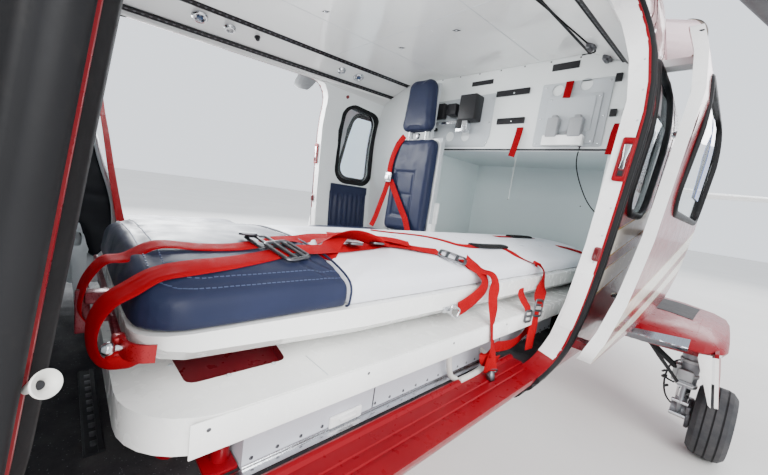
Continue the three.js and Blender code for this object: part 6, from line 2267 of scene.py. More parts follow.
gearLook = {"legX": 1005, "legStation": 4960, "padX": (0.735, 0.965), "padAft": (0.0, 0.8),
            "stripX": (0.745, 0.985), "noseAxle": 1465, "noseUp": 165}
pads, strips, castings, dark, chrome, black, flanges, pins = ([] for k in range(8))
for side in (1, -1):
    castWing = onSolid("stub_wing_left" if side > 0 else "stub_wing_right")
    x0, x1 = gearLook["padX"]
    a0, a1 = gearLook["padAft"]
    pads.append(
        draped(castWing, (0, 0, -1), (side * x0, a0, 0.9), (side * (x1 - x0), 0, 0), (0, a1 - a0, 0), 10,
            22, 0.0004, 0.0022))
    x0, x1 = gearLook["stripX"]
    strips.append(
        draped(castWing, (0, 1, -0.2), (side * x0, -0.9, 0.652), (side * (x1 - x0), 0, 0.028),
            (0, 0, 0.06), 16, 16, 0.0004, 0.0016))

    def leg(z, dx=0, ds=0):
        return mm(side * (gearLook["legX"] + dx), gearLook["legStation"] + ds, z)

    for z, r in ((548, 47), (470, 45), (392, 45), (336, 47)):
        castings.append(turnedLists(collarProfile(0.03, r / 1000, 0.009), leg(z), (0, 0, 1), 28))
    for lower, upper in (((345, -62, -46), (440, -30, 10)), ((352, -40, -64), (425, 26, -36))):
        ends = list(zip(leg(*lower), leg(*upper)))
        castings.append(bevelled(tuple(map(min, ends)), tuple(map(max, ends)), 0.008, 3))
    chrome.append(
        turnedLists(
            [(0.0, 0.262), (0.0282, 0.262), (0.0284, 0.2625), (0.0284, 0.327), (0.0282, 0.3275),
             (0.0, 0.3275)], leg(0), (0, 0, 1), 28))
    # torque link pins, brake disc and calipers, dampers and lines
    for z in (350, 262, 178):
        pins.append(
            turnedLists(
                [(0.0, 0.036), (0.008, 0.036), (0.0105, 0.033), (0.0105, -0.033), (0.008, -0.036),
                 (0.0, -0.036)], leg(z, 0, -62 - (33 if z == 262 else 0)), (1, 0, 0), 14))
    dark.append(
        turnedLists(
            [(0.03, -0.012), (0.078, -0.012), (0.082, -0.008), (0.082, 0.004), (0.07, 0.01),
             (0.03, 0.01)], mm(side * 1050, 4960, 188), (side, 0, 0), 32))
    for turn in (0.5, 2.6):
        middle = mm(side * 1046, 4960, 188) + Vector((0, 0.074 * math.cos(turn), 0.074 * math.sin(turn)))
        dark.append(
            bevelled(middle - Vector((0.014, 0.026, 0.022)), middle + Vector((0.01, 0.026, 0.022)), 0.006,
                3))
    for x, ds, z, r in ((-88, -52, 352, 9), (-72, -40, 300, 7), (-96, -30, 372, 6)):
        black.append(
            turnedLists(
                [(0, 0.024), (r / 1500, 0.024), (r / 1000, 0.018), (r / 1000, -0.018), (r / 1500, -0.024),
                 (0, -0.024)], leg(z, x, ds), (0.3, -0.8 * side, 0.5), 14))
    for spots, across, radius, sections in (
            (((352, -92, -52), (338, -70, -40), (330, -45, -30)), (0, 0, 1), 0.005, 8),
            (((372, -30, -128), (470, -120, -126), (560, -205, -122)), (0, 1, 0), 0.008, 10),
            (((360, -30, -100), (455, -122, -104), (556, -212, -106)), (0, 1, 0), 0.006, 10)):
        line = [leg(*spot) for spot in spots]
        black.append(sweepLists(line, [Vector(across)] * 3, disc(radius, sections))[:2])
    # flange on the gear door's leading edge
    outline = [(0.0, 0.0), (0.0, 0.046), (0.02, 0.05), (0.235, 0.012), (0.246, 0.002)]
    u = Vector((side * 0.1736, 0, -0.985))
    flanges.append(
        plateLists(outline, mm(side * 1071, 4706, 588), u, (-side * 0.985, 0, -0.1736), 0.003, 0.0008))
addJoined("wingWalkPads", pads, speckled("gritPad", (0.055, 0.056, 0.06), (0.12, 0.12, 0.12), 0.85), sharp=30)
addJoined("wingLeadingStrips", strips, stripMetal, sharp=30)
addJoined("gearCastings", castings,
    surface("castGrey", (0.42, 0.43, 0.44), 0.45, 0.12, 12, 240, 0.0004, 0.25, Metallic=0.5))
addJoined("gearChrome", chrome, brushed("chromeSleeve", (0.8, 0.8, 0.81), 0.12, scale=(1, 1, 30)))
addJoined("gearPins", pins, brightMetal)
addJoined("gearBrakes", dark, darkMetal)
addJoined("gearBlackParts", black, blackPlastic)
addJoined("gearDoorFlanges", flanges, shellWhite)
for word, side in (("left", 1), ("right", -1)):
    body = f"main_wheel_{word}"
    hub = mm(side * 1135, 4960, 188)
    out = Vector((side, 0, 0))
    face = 0.0612
    turnedPiece(f"mainHubCap{word.title()}",
        [(0.0, face + 0.012), (0.016, face + 0.011), (0.024, face + 0.006), (0.027, face - 0.001),
         (0.0, face - 0.001)], hub, out, shellWhite, 28, body)
    bolts = [(spot + out * 0.034, out) for spot in ringSpots(hub, out, 0.066, 10)]
    repeated(f"mainWheelBolts{word.title()}", "dome", bolts, (0.013, 0.013, 0.01), brightMetal, body)
addPiece("noseHubCaps",
    *joined(
        [turnedLists([(0.0, 0.048), (0.01, 0.0475), (0.016, 0.044), (0.018, 0.0405), (0.0, 0.0405)],
             mm(0, gearLook["noseAxle"], gearLook["noseUp"]), (side, 0, 0), 24) for side in (1, -1)]),
    brightMetal, "nose_wheel")
bolts = []
for side in (1, -1):
    out = Vector((side, 0, 0))
    bolts += [
        (spot + out * 0.024, out)
        for spot in ringSpots(mm(0, gearLook["noseAxle"], gearLook["noseUp"]), out, 0.052, 8)
    ]
repeated("noseWheelBolts", "dome", bolts, (0.01, 0.01, 0.008), brightMetal, "nose_wheel")
# nose leg: collars and landing lamp; the fork's bolts swivel with it
parts = [turnedLists(collarProfile(0.02, 0.043, 0.008), mm(0, 1420, z), (0, 0, 1), 26)
         for z in (386, 420, 470, 530)]
addJoined("noseLegCollars", parts, darkMetal)
lampAt = mm(0, 1366, 445)
addPiece("noseLampShell",
    *turnedLists(
        [(0.0, -0.03), (0.018, -0.026), (0.03, -0.012), (0.036, 0.004), (0.036, 0.01), (0.032, 0.01),
         (0.03, 0.004), (0.0, -0.004)], lampAt, (0, -1, -0.15), 28), darkMetal)
addPiece("noseLampLens",
    *turnedLists(
        [(0.0, 0.013), (0.012, 0.0125), (0.024, 0.01), (0.031, 0.006), (0.031, 0.003), (0.0, 0.003)],
        lampAt, (0, -1, -0.15), 28),
    surface("lampLens", (0.85, 0.88, 0.9), 0.08, 0.03, 20, 300, 0.0002, 0.02, Coat_Weight=0.8))
addPiece("noseLampStay", *bevelled(lampAt + Vector((-0.01, 0.024, -0.01)), mm(10, 1388, 462), 0.003),
    darkMetal)
bolts = [
    (mm(side * 83, gearLook["noseAxle"], gearLook["noseUp"]) + Vector((0, dy, dz)), (side, 0, 0))
    for side in (1, -1) for dy, dz in ((0, 0.0), (0.0, 0.045), (0.0, 0.09))
]
repeated("forkBolts", "dome", bolts, (0.014, 0.014, 0.009), brightMetal, "nose_fork")
print("undercarriage done")


# rotors: bolts, pitch links, swashplate, blade strips and tip bands
rotorLook = {
    "middle": (0, -1.16982, 3.08), "firstTurn": -19, "linkLow": 2.7, "tailMiddle": (0.0, 5.490176, 1.9),
}
rotorMiddle = Vector(rotorLook["middle"])
bolts, links, nuts, bands, leads = [], [], [], [], []
for n in range(4):
    angle = math.radians(90 * n + rotorLook["firstTurn"])
    along = Vector((-math.sin(angle), math.cos(angle), 0))
    across = Vector((along.y, -along.x, 0))
    castHub = onSolid("rotor_hub")
    for run, off in ((0.1, 0.035), (0.1, -0.035), (0.19, 0.04), (0.19, -0.04), (0.28, 0.035),
            (0.28, -0.035), (0.54, 0.03), (0.54, -0.03), (0.66, 0.0), (0.78, 0.03), (0.78, -0.03)):
        spot, facing = castHub(rotorMiddle + along * run + across * off + Vector((0, 0, 0.4)), (0, 0, -1))
        if spot is not None and facing.z > 0.6:
            bolts.append((spot, facing))
    foot = rotorMiddle + along * 0.02 + across * 0.19
    low = Vector((foot.x, foot.y, rotorLook["linkLow"]))
    high = rotorMiddle + along * 0.3 + across * 0.115 + Vector((0, 0, -0.055))
    links.append(([low, low.lerp(high, 0.5), high], 0.01))
    for end in (low, high):
        nuts.append(turnedLists(collarProfile(0.006, 0.017, 0.01), end, across, 18))
    nuts.append(bevelled(high - Vector((0.014, 0.014, 0.014)), high + Vector((0.014, 0.014, 0.055)), 0.004))
    blade = None
    for name in (f"rotor_blade_{k}" for k in range(1, 5)):
        lo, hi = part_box(name)
        middle = Vector(
            ((lo[0] + hi[0]) / 2 - rotorMiddle.x, (lo[1] + hi[1]) / 2 - rotorMiddle.y, 0)).normalized()
        if middle.dot(along) > 0.95:
            blade = name
    if blade is None:
        continue
    castBlade = onSolid(blade)
    edges = []
    for run in (1.2, 5.3):
        hits = [
            off / 500 for off in range(-150, 151)
            if castBlade(rotorMiddle + along * run + across * off / 500 + Vector((0, 0, 0.3)),
                (0, 0, -1))[0] is not None
        ]
        edges.append((min(hits), max(hits)))
    # the leading edge goes first when the rotor turns to port over the nose
    first = rotorMiddle + along * 2.2 + across * (edges[0][1] - 0.058) + Vector((0, 0, 0.3))
    leads.append(draped(castBlade, (0, 0, -1), first, along * 3.15, across * 0.05, 24, 4, 0.0002, 0.0012))
    for run, wide in ((5.26, 0.1), (5.02, 0.1)):
        start = rotorMiddle + along * run + across * (edges[0][0] + 0.012) + Vector((0, 0, 0.3))
        bands.append(
            draped(castBlade, (0, 0, -1), start, along * wide,
                across * (edges[0][1] - edges[0][0] - 0.075), 2, 10, 0.0002, 0.001))
repeated("hubBolts", "dome", bolts, (0.022, 0.022, 0.016), brightMetal, "main_rotor")
tubes("pitchLinks", links, brightMetal, 12, 3, "main_rotor")
addJoined("pitchLinkEnds", nuts, darkMetal, "main_rotor")
addJoined("bladeLeadingStrips", leads, brightMetal, "main_rotor", sharp=30)
addJoined("bladeTipBands", bands, wornPaint("bandYellow", (0.75, 0.42, 0.02), 0.32), "main_rotor", sharp=30)
plate = [(0.06, -0.016), (0.205, -0.016), (0.212, -0.01), (0.212, 0.006), (0.205, 0.012), (0.075, 0.016),
    (0.06, 0.03), (0.052, 0.03), (0.052, -0.016)]
turnedPiece("turningSwashplate", plate, rotorMiddle + Vector((0, 0, 2.69 - rotorMiddle.z)), (0, 0, 1),
    brightMetal, 48, "main_rotor")
turnedPiece("fixedSwashplate",
    [(0.06, -0.02), (0.19, -0.02), (0.198, -0.014), (0.198, 0.01), (0.19, 0.016), (0.06, 0.016)],
    rotorMiddle + Vector((0, 0, 2.65 - rotorMiddle.z)), (0, 0, 1), darkMetal, 48)
rods = []
for k in range(3):
    t = 2 * math.pi * k / 3 + 0.5
    top = rotorMiddle + Vector((0.17 * math.cos(t), 0.17 * math.sin(t), 2.645 - rotorMiddle.z))
    rods.append(([top, top + Vector((0.0, 0.0, -0.1))], 0.01))
tubes("controlRods", rods, darkMetal, 12, 1)
turnedPiece("mastBoot",
    [(0.058, 0.07), (0.07, 0.068), (0.074, 0.058), (0.07, 0.05), (0.078, 0.04), (0.074, 0.03),
     (0.083, 0.02), (0.08, 0.0), (0.058, 0.0)], rotorMiddle + Vector((0, 0, 2.76 - rotorMiddle.z)),
    (0, 0, 1), sealRubber, 40, "main_rotor")

tailMiddle = Vector(rotorLook["tailMiddle"])
castTail = onSolid("tail_rotor")
bolts, bands = [], []
for spot in ringSpots(tailMiddle + Vector((0.6, 0, 0)), (1, 0, 0), 0.045, 8):
    hit = castTail(spot, (-1, 0, 0))
    if hit[0] is not None and hit[1].x > 0.6:
        bolts.append(hit)
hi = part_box("tail_rotor")[1]
hits = [
    t for t in (math.pi * k / 180 for k in range(360))
    if castTail(tailMiddle + Vector((0.6, 0, 0)) + Vector((0, math.sin(t), math.cos(t))) * 0.93,
        (-1, 0, 0))[0] is not None
]
groups = []
for t in hits:
    if groups and t - groups[-1][-1] < 0.06:
        groups[-1].append(t)
    else:
        groups.append([t])
for group in groups:
    t = sum(group) / len(group)
    along = Vector((0, math.sin(t), math.cos(t)))
    across = Vector((0, along.z, -along.y))
    half = (group[-1] - group[0]) / 2 * 0.93 - 0.008
    if half < 0.03:
        continue
    for run in (0.9, 0.74):
        start = tailMiddle + Vector((0.6, 0, 0)) + along * run - across * half
        bands.append(
            draped(castTail, (-1, 0, 0), start, along * 0.075, across * 2 * half, 2, 8, 0.0002, 0.001))
repeated("tailHubBolts", "dome", bolts, (0.014, 0.014, 0.01), brightMetal, "tail_rotor")
if bands:
    addJoined("tailBladeBands", bands, plainRed, "tail_rotor", sharp=30)
turnedPiece("tailHubCap", [(0.0, 0.012), (0.012, 0.011), (0.022, 0.006), (0.026, -0.002), (0.0, -0.002)],
            (hi[0], tailMiddle.y, tailMiddle.z), (1, 0, 0), brightMetal, 28, "tail_rotor")
print("rotors done")


# cockpit: pilot seats with harnesses, screens, knobs, sticks, levers, pedals
pilotLook = {
    "middle": 0.38, "cushionHalf": 0.222, "backHalf": 0.215, "headHalf": 0.115,
    "cushion": [(-1.872, 0.176), (-1.874, 0.225), (-1.855, 0.258), (-1.8, 0.268), (-1.6, 0.258),
        (-1.45, 0.262), (-1.395, 0.262), (-1.385, 0.24), (-1.39, 0.176), (-1.45, 0.168), (-1.83, 0.168)],
    "back": [(-1.462, 0.285), (-1.45, 0.275), (-1.385, 0.275), (-1.377, 0.3), (-1.298, 0.78),
        (-1.312, 0.812), (-1.345, 0.815), (-1.372, 0.79), (-1.398, 0.62), (-1.432, 0.42), (-1.458, 0.33)],
    "head": [(-1.352, 0.835), (-1.34, 0.822), (-1.305, 0.822), (-1.288, 0.84), (-1.268, 0.96),
        (-1.276, 0.982), (-1.312, 0.984), (-1.328, 0.965)],
    "beltFront": [(-1.386, 0.822), (-1.389, 0.78), (-1.408, 0.66), (-1.425, 0.54), (-1.445, 0.44),
        (-1.478, 0.345), (-1.5, 0.305)],
}


def acrossRings(outline, middle, half):
    made = []
    for share, inset in ((-1.0, 0.016), (-0.985, 0.007), (-0.955, 0.001), (-0.92, 0.0), (0.0, 0.0),
            (0.92, 0.0), (0.955, 0.001), (0.985, 0.007), (1.0, 0.016)):
        made.append([cab(middle + half * share, aft, up) for aft, up in grownOutline(outline, -inset)])
    return loft(made)


def seatDrawn(middle):
    def depth(at):
        x, aft, up = local(at)
        off = abs(x - middle)
        deep = valley(off - 0.135, 0.006, 0.005)
        if up < 0.27:
            return max(deep, valley(aft + 1.62, 0.006, 0.004)) if up > 0.225 else 0.0
        if up > 0.82:
            return 0.0
        return max([deep] + [valley(up - line, 0.006, 0.004) for line in (0.42, 0.56, 0.7)])
    return depth


def heldSeat(at):
    # the cushion's base and the back's rear face stay put while the pads are blown up
    return at.z < floorUp + 0.185 or at.y + jambAft > -1.375 + 0.16 * (at.z - floorUp - 0.3)


for word, side in (("left", 1), ("right", -1)):
    middle = side * pilotLook["middle"]
    pads = joined(
        [acrossRings(pilotLook["cushion"], middle, pilotLook["cushionHalf"]),
         acrossRings(pilotLook["back"], middle, pilotLook["backHalf"]),
         acrossRings(pilotLook["head"], middle, pilotLook["headHalf"])])
    puffed(f"pilotSeatPads{word.title()}", pads, 0.013, heldSeat, seatDrawn(middle), blackLeather,
        replaced=(f"pilot_seat_{word}",), waves=0.0008)
    shell = [(-1.377, 0.245), (-1.36, 0.245), (-1.28, 0.8), (-1.284, 0.812), (-1.3, 0.812), (-1.302, 0.79)]
    parts = [loft([[cab(middle + x, aft, up) for aft, up in grownOutline(shell, -inset)] for x, inset in
                   ((-0.212, 0.004), (-0.209, 0.0), (0.209, 0.0), (0.212, 0.004))])]
    parts.append(cabBlock((middle - 0.215, -1.85, 0.14), (middle + 0.215, -1.375, 0.168), 0.008, 3))
    for x in (-0.125, 0.125):
        parts.append(cabBlock((middle + x - 0.02, -1.835, 0.001), (middle + x + 0.02, -1.365, 0.022), 0.003))
        parts.append(cabBlock((middle + x - 0.011, -1.8, 0.02), (middle + x + 0.011, -1.74, 0.142), 0.003))
        parts.append(cabBlock((middle + x - 0.011, -1.47, 0.02), (middle + x + 0.011, -1.41, 0.142), 0.003))
        parts.append(
            sweepLists([cab(middle + x, -1.775, 0.03), cab(middle + x, -1.43, 0.135)],
                [Vector((1, 0, 0))] * 2, disc(0.01, 10))[:2])
    for x in (-0.05, 0.05):
        parts.append(
            turnedLists([(0.0, 0.05), (0.006, 0.05), (0.006, -0.01), (0.0, -0.01)],
                cab(middle + x, -1.318, 0.8), (0, 0.1, 1), 14))
    parts.append(cabBlock((middle + side * 0.222, -1.56, 0.12), (middle + side * 0.236, -1.42, 0.175), 0.004))
    addJoined(f"pilotSeatShell{word.title()}", parts,
        surface(f"seatShell{word.title()}", (0.1, 0.105, 0.11), 0.42, 0.12, 6, 300, 0.0001, 0.08))
    runs = []
    for x0, x1 in ((-0.085, -0.02), (0.085, 0.02)):
        line = pilotLook["beltFront"]
        path = [
            cab(middle + x0 + (x1 - x0) * (k / (len(line) - 1)) ** 1.5, aft, up)
            for k, (aft, up) in enumerate(line)
        ]
        path = [cab(middle + x0, -1.305, 0.8215), cab(middle + x0, -1.345, 0.8235)] + path
        runs.append((path, (1, 0, 0)))
        run = [(0.02, -1.512, 0.296), (0.07, -1.52, 0.286), (0.15, -1.505, 0.279), (0.212, -1.48, 0.262),
            (0.232, -1.465, 0.22), (0.234, -1.46, 0.17)]
        runs.append(([cab(middle + math.copysign(x, x0), aft, up) for x, aft, up in run], (0, 1, 0.1)))
    ribbons(f"pilotHarness{word.title()}", runs, 0.042,
        webbingCloth(f"pilotWebbing{word.title()}", (0.035, 0.037, 0.042)), 0.0018)
    spot = cab(middle, -1.51, 0.3)
    addPiece(f"pilotBuckle{word.title()}",
        *joined(
            [turnedLists(
                 [(0.0, 0.014), (0.018, 0.013), (0.028, 0.009), (0.031, 0.002), (0.031, -0.01),
                  (0.0, -0.01)], spot, (0, -0.45, 0.89), 32),
             placed(bevelled((-0.02, -0.005, 0.012), (0.02, 0.005, 0.02), 0.003), spot, (1, 0, 0),
                 (0, -0.45, 0.89))]), brightMetal)
    # cyclic, collective, pedals
    stickRun = [(middle, -1.985, 0.004), (middle, -1.995, 0.1), (middle, -2.01, 0.24),
        (middle, -1.975, 0.38), (middle, -1.935, 0.47)]
    leverRun = [(middle + 0.262, -1.52, 0.06), (middle + 0.262, -1.66, 0.15),
        (middle + 0.262, -1.78, 0.235), (middle + 0.262, -1.84, 0.272)]
    metalRuns = [(cabPath(stickRun), 0.013), (cabPath(leverRun), 0.013)]
    pedals = []
    for x in (-0.1, 0.1):
        metalRuns.append(
            ([cab(middle + x, -2.28, 0.004), cab(middle + x, -2.3, 0.08), cab(middle + x, -2.34, 0.155)],
             0.009))
        pedals.append(
            placed(bevelled((-0.045, -0.055, -0.006), (0.045, 0.055, 0.006), 0.005, 3),
                cab(middle + x, -2.337, 0.16), (1, 0, 0), (0, 0.86, 0.5)))
        for k in range(4):
            pedals.append(
                placed(bevelled((-0.04, -0.003, 0.005), (0.04, 0.003, 0.009), 0.0015),
                    cab(middle + x, -2.337, 0.16) + Vector((0, 0.5, -0.86)) * (0.036 - 0.024 * k),
                    (1, 0, 0), (0, 0.86, 0.5)))
    tubes(f"pilotSticks{word.title()}", metalRuns, darkMetal, 14, 5)
    grips = [
        turnedLists(
            [(0.0, 0.095), (0.014, 0.09), (0.02, 0.07), (0.019, 0.045), (0.021, 0.02), (0.018, 0.0),
             (0.0, 0.0)], cab(middle, -1.945, 0.452), (0, 0.42, 0.9), 22),
        turnedLists(
            [(0.0, 0.075), (0.018, 0.074), (0.023, 0.066), (0.021, 0.03), (0.023, 0.0), (0.0, 0.0)],
            cab(middle + 0.262, -1.83, 0.266), (0, -0.85, 0.52), 22),
        turnedLists([(0.014, 0.05), (0.026, 0.046), (0.036, 0.02), (0.044, 0.0), (0.014, 0.0)],
            cab(middle, -1.985, 0.0035), (0, -0.05, 1), 28),
        cabBlock((middle + 0.246, -1.56, 0.002), (middle + 0.278, -1.48, 0.085), 0.006, 3),
    ] + pedals
    addJoined(f"pilotGrips{word.title()}", grips, blackPlastic)

castConsole = onSolid("instrument_console")
bezels, panes, knobs, labels = [], [], [], []
for x, up, wide, high in ((-0.36, 0.52, 0.2, 0.16), (-0.13, 0.52, 0.2, 0.16), (0.13, 0.52, 0.2, 0.16),
        (0.36, 0.52, 0.2, 0.16), (0.0, 0.64, 0.1, 0.05)):
    spot, facing = castConsole(cab(x, -1.75, up), (0, -1, 0))
    if spot is None or facing.y < 0.3:
        continue
    bezels.append(
        placed(bevelled((-wide / 2, -high / 2, -0.003), (wide / 2, high / 2, 0.008), 0.004, 3), spot,
            (1, 0, 0), facing))
    panes.append(
        placed(
            bevelled((-wide / 2 + 0.014, -high / 2 + 0.014, 0.006),
                (wide / 2 - 0.014, high / 2 - 0.014, 0.0095), 0.0012), spot, (1, 0, 0), facing))
    for k in range(5):
        at = spot + Vector((1, 0, 0)) * (
            wide * (k - 2) / 5.4) - facing.cross(Vector((1, 0, 0))).normalized() * (high / 2 - 0.007)
        knobs.append((at + facing * 0.0075, facing))
for station in range(1380, 1780, 62):
    for x in (-0.05, 0.05):
        spot, facing = castConsole(mm(x * 1000, station, 1900), (0, 0, -1))
        if spot is None or facing.z < 0.3:
            continue
        labels.append(
            placed(bevelled((-0.045, -0.026, -0.002), (0.045, 0.026, 0.004), 0.002), spot, (1, 0, 0),
                facing))
        panes.append(
            placed(bevelled((-0.02, -0.008, 0.003), (0.03, 0.01, 0.0052), 0.001),
                spot + Vector((0, -0.008, 0)), (1, 0, 0), facing))
        for dx, dy in ((-0.034, 0.01), (0.02, 0.017), (-0.005, 0.017), (-0.034, -0.012)):
            knobs.append((spot + Vector((dx, dy, 0)) + facing * 0.0035, facing))
addPiece("consoleBezels", *joined(bezels + labels),
    surface("bezelGrey", (0.05, 0.052, 0.056), 0.4, 0.1, 8, 400, 0.0001, 0.04))
addJoined("consolePanes", panes,
    surface("screenDark", (0.008, 0.012, 0.016), 0.07, 0.02, 6, 300, 0.00005, 0.02, Coat_Weight=0.8))
repeated("consoleKnobs", "dome", knobs, (0.011, 0.011, 0.01), greyPlate)
spot, facing = castConsole(mm(0, 1120, 2100), (0, 0, -1))
if spot is not None:
    turnedPiece("standbyCompass",
        [(0.0, 0.06), (0.02, 0.056), (0.031, 0.044), (0.035, 0.028), (0.031, 0.01), (0.02, 0.0), (0.0, 0.0)],
        spot, (0, 0, 1), blackPlastic, 28)
print("cockpit done")


# outer skin: rivets, panel joints, window rubbers, handles, lamps, antennas, grilles; both sides
skinCasts = {}
farOut, farUp = 1600, 3900  # casts start this far out, in mm
rivetSize = (0.006, 0.006, 0.0018)
panelLine = flatProfile(0.0018, -0.002, 0.0014)


def castOn(solid, at, aim, rows=None):
    # where a line from this place meets the solid's outside
    if solid not in skinCasts:
        skinCasts[solid] = onSolid(solid)
    aim = Vector(aim).normalized()
    spot, facing = skinCasts[solid](at, aim)
    if spot is None or facing.dot(aim) > -0.25:
        return None
    if rows and abs(spot.x) < skinX(spot.y, spot.z, rows) - 0.012:
        return None
    return spot, facing


def sideHit(solid, side, station, z):
    return castOn(solid, mm(side * farOut, station, z), (-side, 0, 0))


def rowOn(solid, first, last, step, rows=None):
    # casts between two places, mirrored: from the side where the first number is None, else from above
    found = []
    for side in (1, -1):
        if first[0] is None:
            spots = spaced(mm(side * farOut, *first[1:]), mm(side * farOut, *last[1:]), step)
            aim = (-side, 0, 0)
        else:
            spots = spaced(mm(side * first[0], first[1], farUp), mm(side * last[0], last[1], farUp), step)
            aim = (0, 0, -1)
        found += [hit for hit in (castOn(solid, at, aim, rows) for at in spots) if hit]
    return found


def jointOn(solid, corners, closed=True, rows=None, profile=None):
    # a thin dark line laid along the skin through these corners (station, height), both sides
    made = []
    loop = list(corners) + ([corners[0]] if closed else [])
    for side in (1, -1):
        run = []
        for a, b in zip(loop, loop[1:]):
            for at in spaced(mm(side * farOut, *a), mm(side * farOut, *b), 0.03):
                hit = castOn(solid, at, (-side, 0, 0), rows)
                if hit and (not run or (hit[0] - run[-1][0]).length > 0.002):
                    run.append(hit)
                if (hit is None or (len(run) > 1 and (run[-1][0] - run[-2][0]).length > 0.15)) and run:
                    made.append(run)
                    run = []
        if run:
            made.append(run)
    return [
        sweepLists([h[0] for h in run], [h[1] for h in run], profile or panelLine)[:2] for run in made
        if len(run) > 3
    ]


def topJointOn(solid, corners):
    # the same on top: corners (x, station)
    run = []
    for a, b in zip(corners, corners[1:] + corners[:1]):
        for at in spaced(mm(a[0], a[1], farUp), mm(b[0], b[1], farUp), 0.03):
            hit = castOn(solid, at, (0, 0, -1))
            if hit and (not run or (hit[0] - run[-1][0]).length > 0.002):
                run.append(hit)
    if len(run) < 4:
        return []
    return [sweepLists([h[0] for h in run], [h[1] for h in run], panelLine)[:2]]


rivets = []
for station in (4150, 4760, 5780, 6380):
    rivets += rowOn("aft_fuselage", (None, station, 620), (None, station, 1980), 0.042, hullRows)
for z in (760, 1420, 1900):
    rivets += rowOn("aft_fuselage", (None, 4200, z), (None, 6380, z), 0.05, hullRows)
for station, z0, z1 in ((3660, 700, 1980), (2445, 700, 1900)):
    rivets += rowOn("cabin_frame", (None, station, z0), (None, station, z1), 0.042, hullRows)
rivets += rowOn("belly_and_floor", (None, 1300, 560), (None, 4050, 560), 0.05, hullRows)
repeated("hullRivets", "dome", rivets, rivetSize, red)
rivets = []
for station in (6490, 7150, 7810, 8250, 8680, 9340, 9850):
    rivets += rowOn("tail_boom", (None, station, 1150), (None, station, 1935), 0.03)
for z0, z1 in ((1560, 1690), (1400, 1610), (1780, 1810)):
    rivets += rowOn("tail_boom", (None, 6500, z0), (None, 9860, z1), 0.06)
for a, b in (((9860, 1600), (10930, 3150)), ((9990, 1600), (11020, 3150)), ((10180, 1600), (11120, 3150)),
        ((9980, 2000), (10900, 2000)), ((10220, 2450), (11020, 2450))):
    rivets += rowOn("tail_fin", (None, *a), (None, *b), 0.05)
repeated("tailRivets", "dome", rivets, rivetSize, red)
rivets = []
for station in (3340, 4080, 4820, 5560, 6300):
    rivets += rowOn("engine_cowling", (None, station, 1900), (None, station, 2560), 0.04)
rivets += rowOn("engine_cowling", (None, 3330, 1960), (None, 6700, 1960), 0.06)
for station in (2120, 3250):
    rivets += rowOn("front_fairing", (None, station, 1910), (None, station, 2480), 0.04)
for x, a, b in ((90, 2200, 3200), (90, 3400, 6600)):
    for solid in ("front_fairing", "engine_cowling"):
        rivets += rowOn(solid, (x, a, 0), (x, b, 0), 0.06)
repeated("cowlingRivets", "dome", rivets, (0.007, 0.007, 0.002), red)
rivets = []
stubRivets = []
for side in (1, -1):
    for x in (640, 1000):
        for at in spaced(mm(side * x, 4680, 1200), mm(side * x, 5240, 1200), 0.035):
            hit = castOn("stub_wing_left" if side > 0 else "stub_wing_right", at, (0, 0, -1))
            if hit:
                stubRivets.append(hit)
    for aft in (8400, 8640, 8900):
        for at in spaced(mm(side * 210, aft - 40, 2400), mm(side * 1420, aft + 30, 2400), 0.05):
            hit = castOn("stabiliser", at, (0, 0, -1))
            if hit:
                rivets.append(hit)
repeated("stabiliserRivets", "dome", rivets, rivetSize, postWhite)
repeated("wingRivets", "dome", stubRivets, rivetSize, plainRed)

joints = []
for solid, closed, rows, corners in (
        ("aft_fuselage", False, hullRows, [(4170, 640), (4170, 1990)]),
        ("aft_fuselage", False, hullRows, [(5800, 800), (5800, 1980)]),
        ("aft_fuselage", True, hullRows, [(5000, 700), (5420, 740), (5420, 960), (5000, 960)]),
        ("aft_fuselage", True, hullRows, [(5900, 1300), (6260, 1320), (6260, 1560), (5900, 1560)]),
        ("nose_cone", False, None, [(985, 470), (985, 1470)]),
        ("nose_cone", True, None, [(420, 1020), (860, 1020), (860, 1330), (420, 1180)]),
        ("tail_boom", False, None, [(7160, 1200), (7160, 1900)]),
        ("tail_boom", True, None, [(8200, 1500), (8740, 1520), (8740, 1840), (8200, 1850)]),
        ("tail_fin", True, None, [(10260, 2100), (10700, 2100), (10860, 2500), (10480, 2500)]),
        ("engine_cowling", True, None, square(3420, 4320, 1990, 2440)),
        ("engine_cowling", True, None, square(4400, 4760, 1990, 2440)),
        ("engine_cowling", True, None, [(5640, 1990), (6220, 1990), (6220, 2300), (5640, 2360)]),
        ("front_fairing", True, None, [(2240, 1990), (3180, 2060), (3180, 2380), (2500, 2200)])):
    joints += jointOn(solid, corners, closed, rows)
for solid, first, last in (("engine_cowling", 4300, 4900), ("engine_cowling", 5200, 6100),
        ("front_fairing", 2500, 3150)):
    joints += topJointOn(solid, square(-150, 150, first, last))
addJoined("panelJoints", joints, sealGloss, sharp=30)
fasteners = []
for solid, spots in (
        ("engine_cowling",
         [(3450, 2020), (3870, 2020), (4290, 2020), (3450, 2410), (3870, 2410), (4290, 2410),
          (4430, 2020), (4730, 2020), (4430, 2410), (4730, 2410), (5670, 2020), (6190, 2020),
          (5670, 2325)]), ("front_fairing", [(2290, 2030), (2720, 2050), (3150, 2090), (3150, 2350)]),
        ("nose_cone", [(450, 1045), (640, 1045), (830, 1045), (830, 1290), (450, 1160)]),
        ("aft_fuselage",
         [(5030, 730), (5390, 765), (5030, 930), (5390, 930), (5930, 1330), (6230, 1345), (6230, 1535),
          (5930, 1535)])):
    for station, z in spots:
        fasteners += [hit for hit in (sideHit(solid, side, station, z) for side in (1, -1)) if hit]
repeated("panelFasteners", "screw", fasteners, (0.018, 0.018, 0.003), brightMetal)


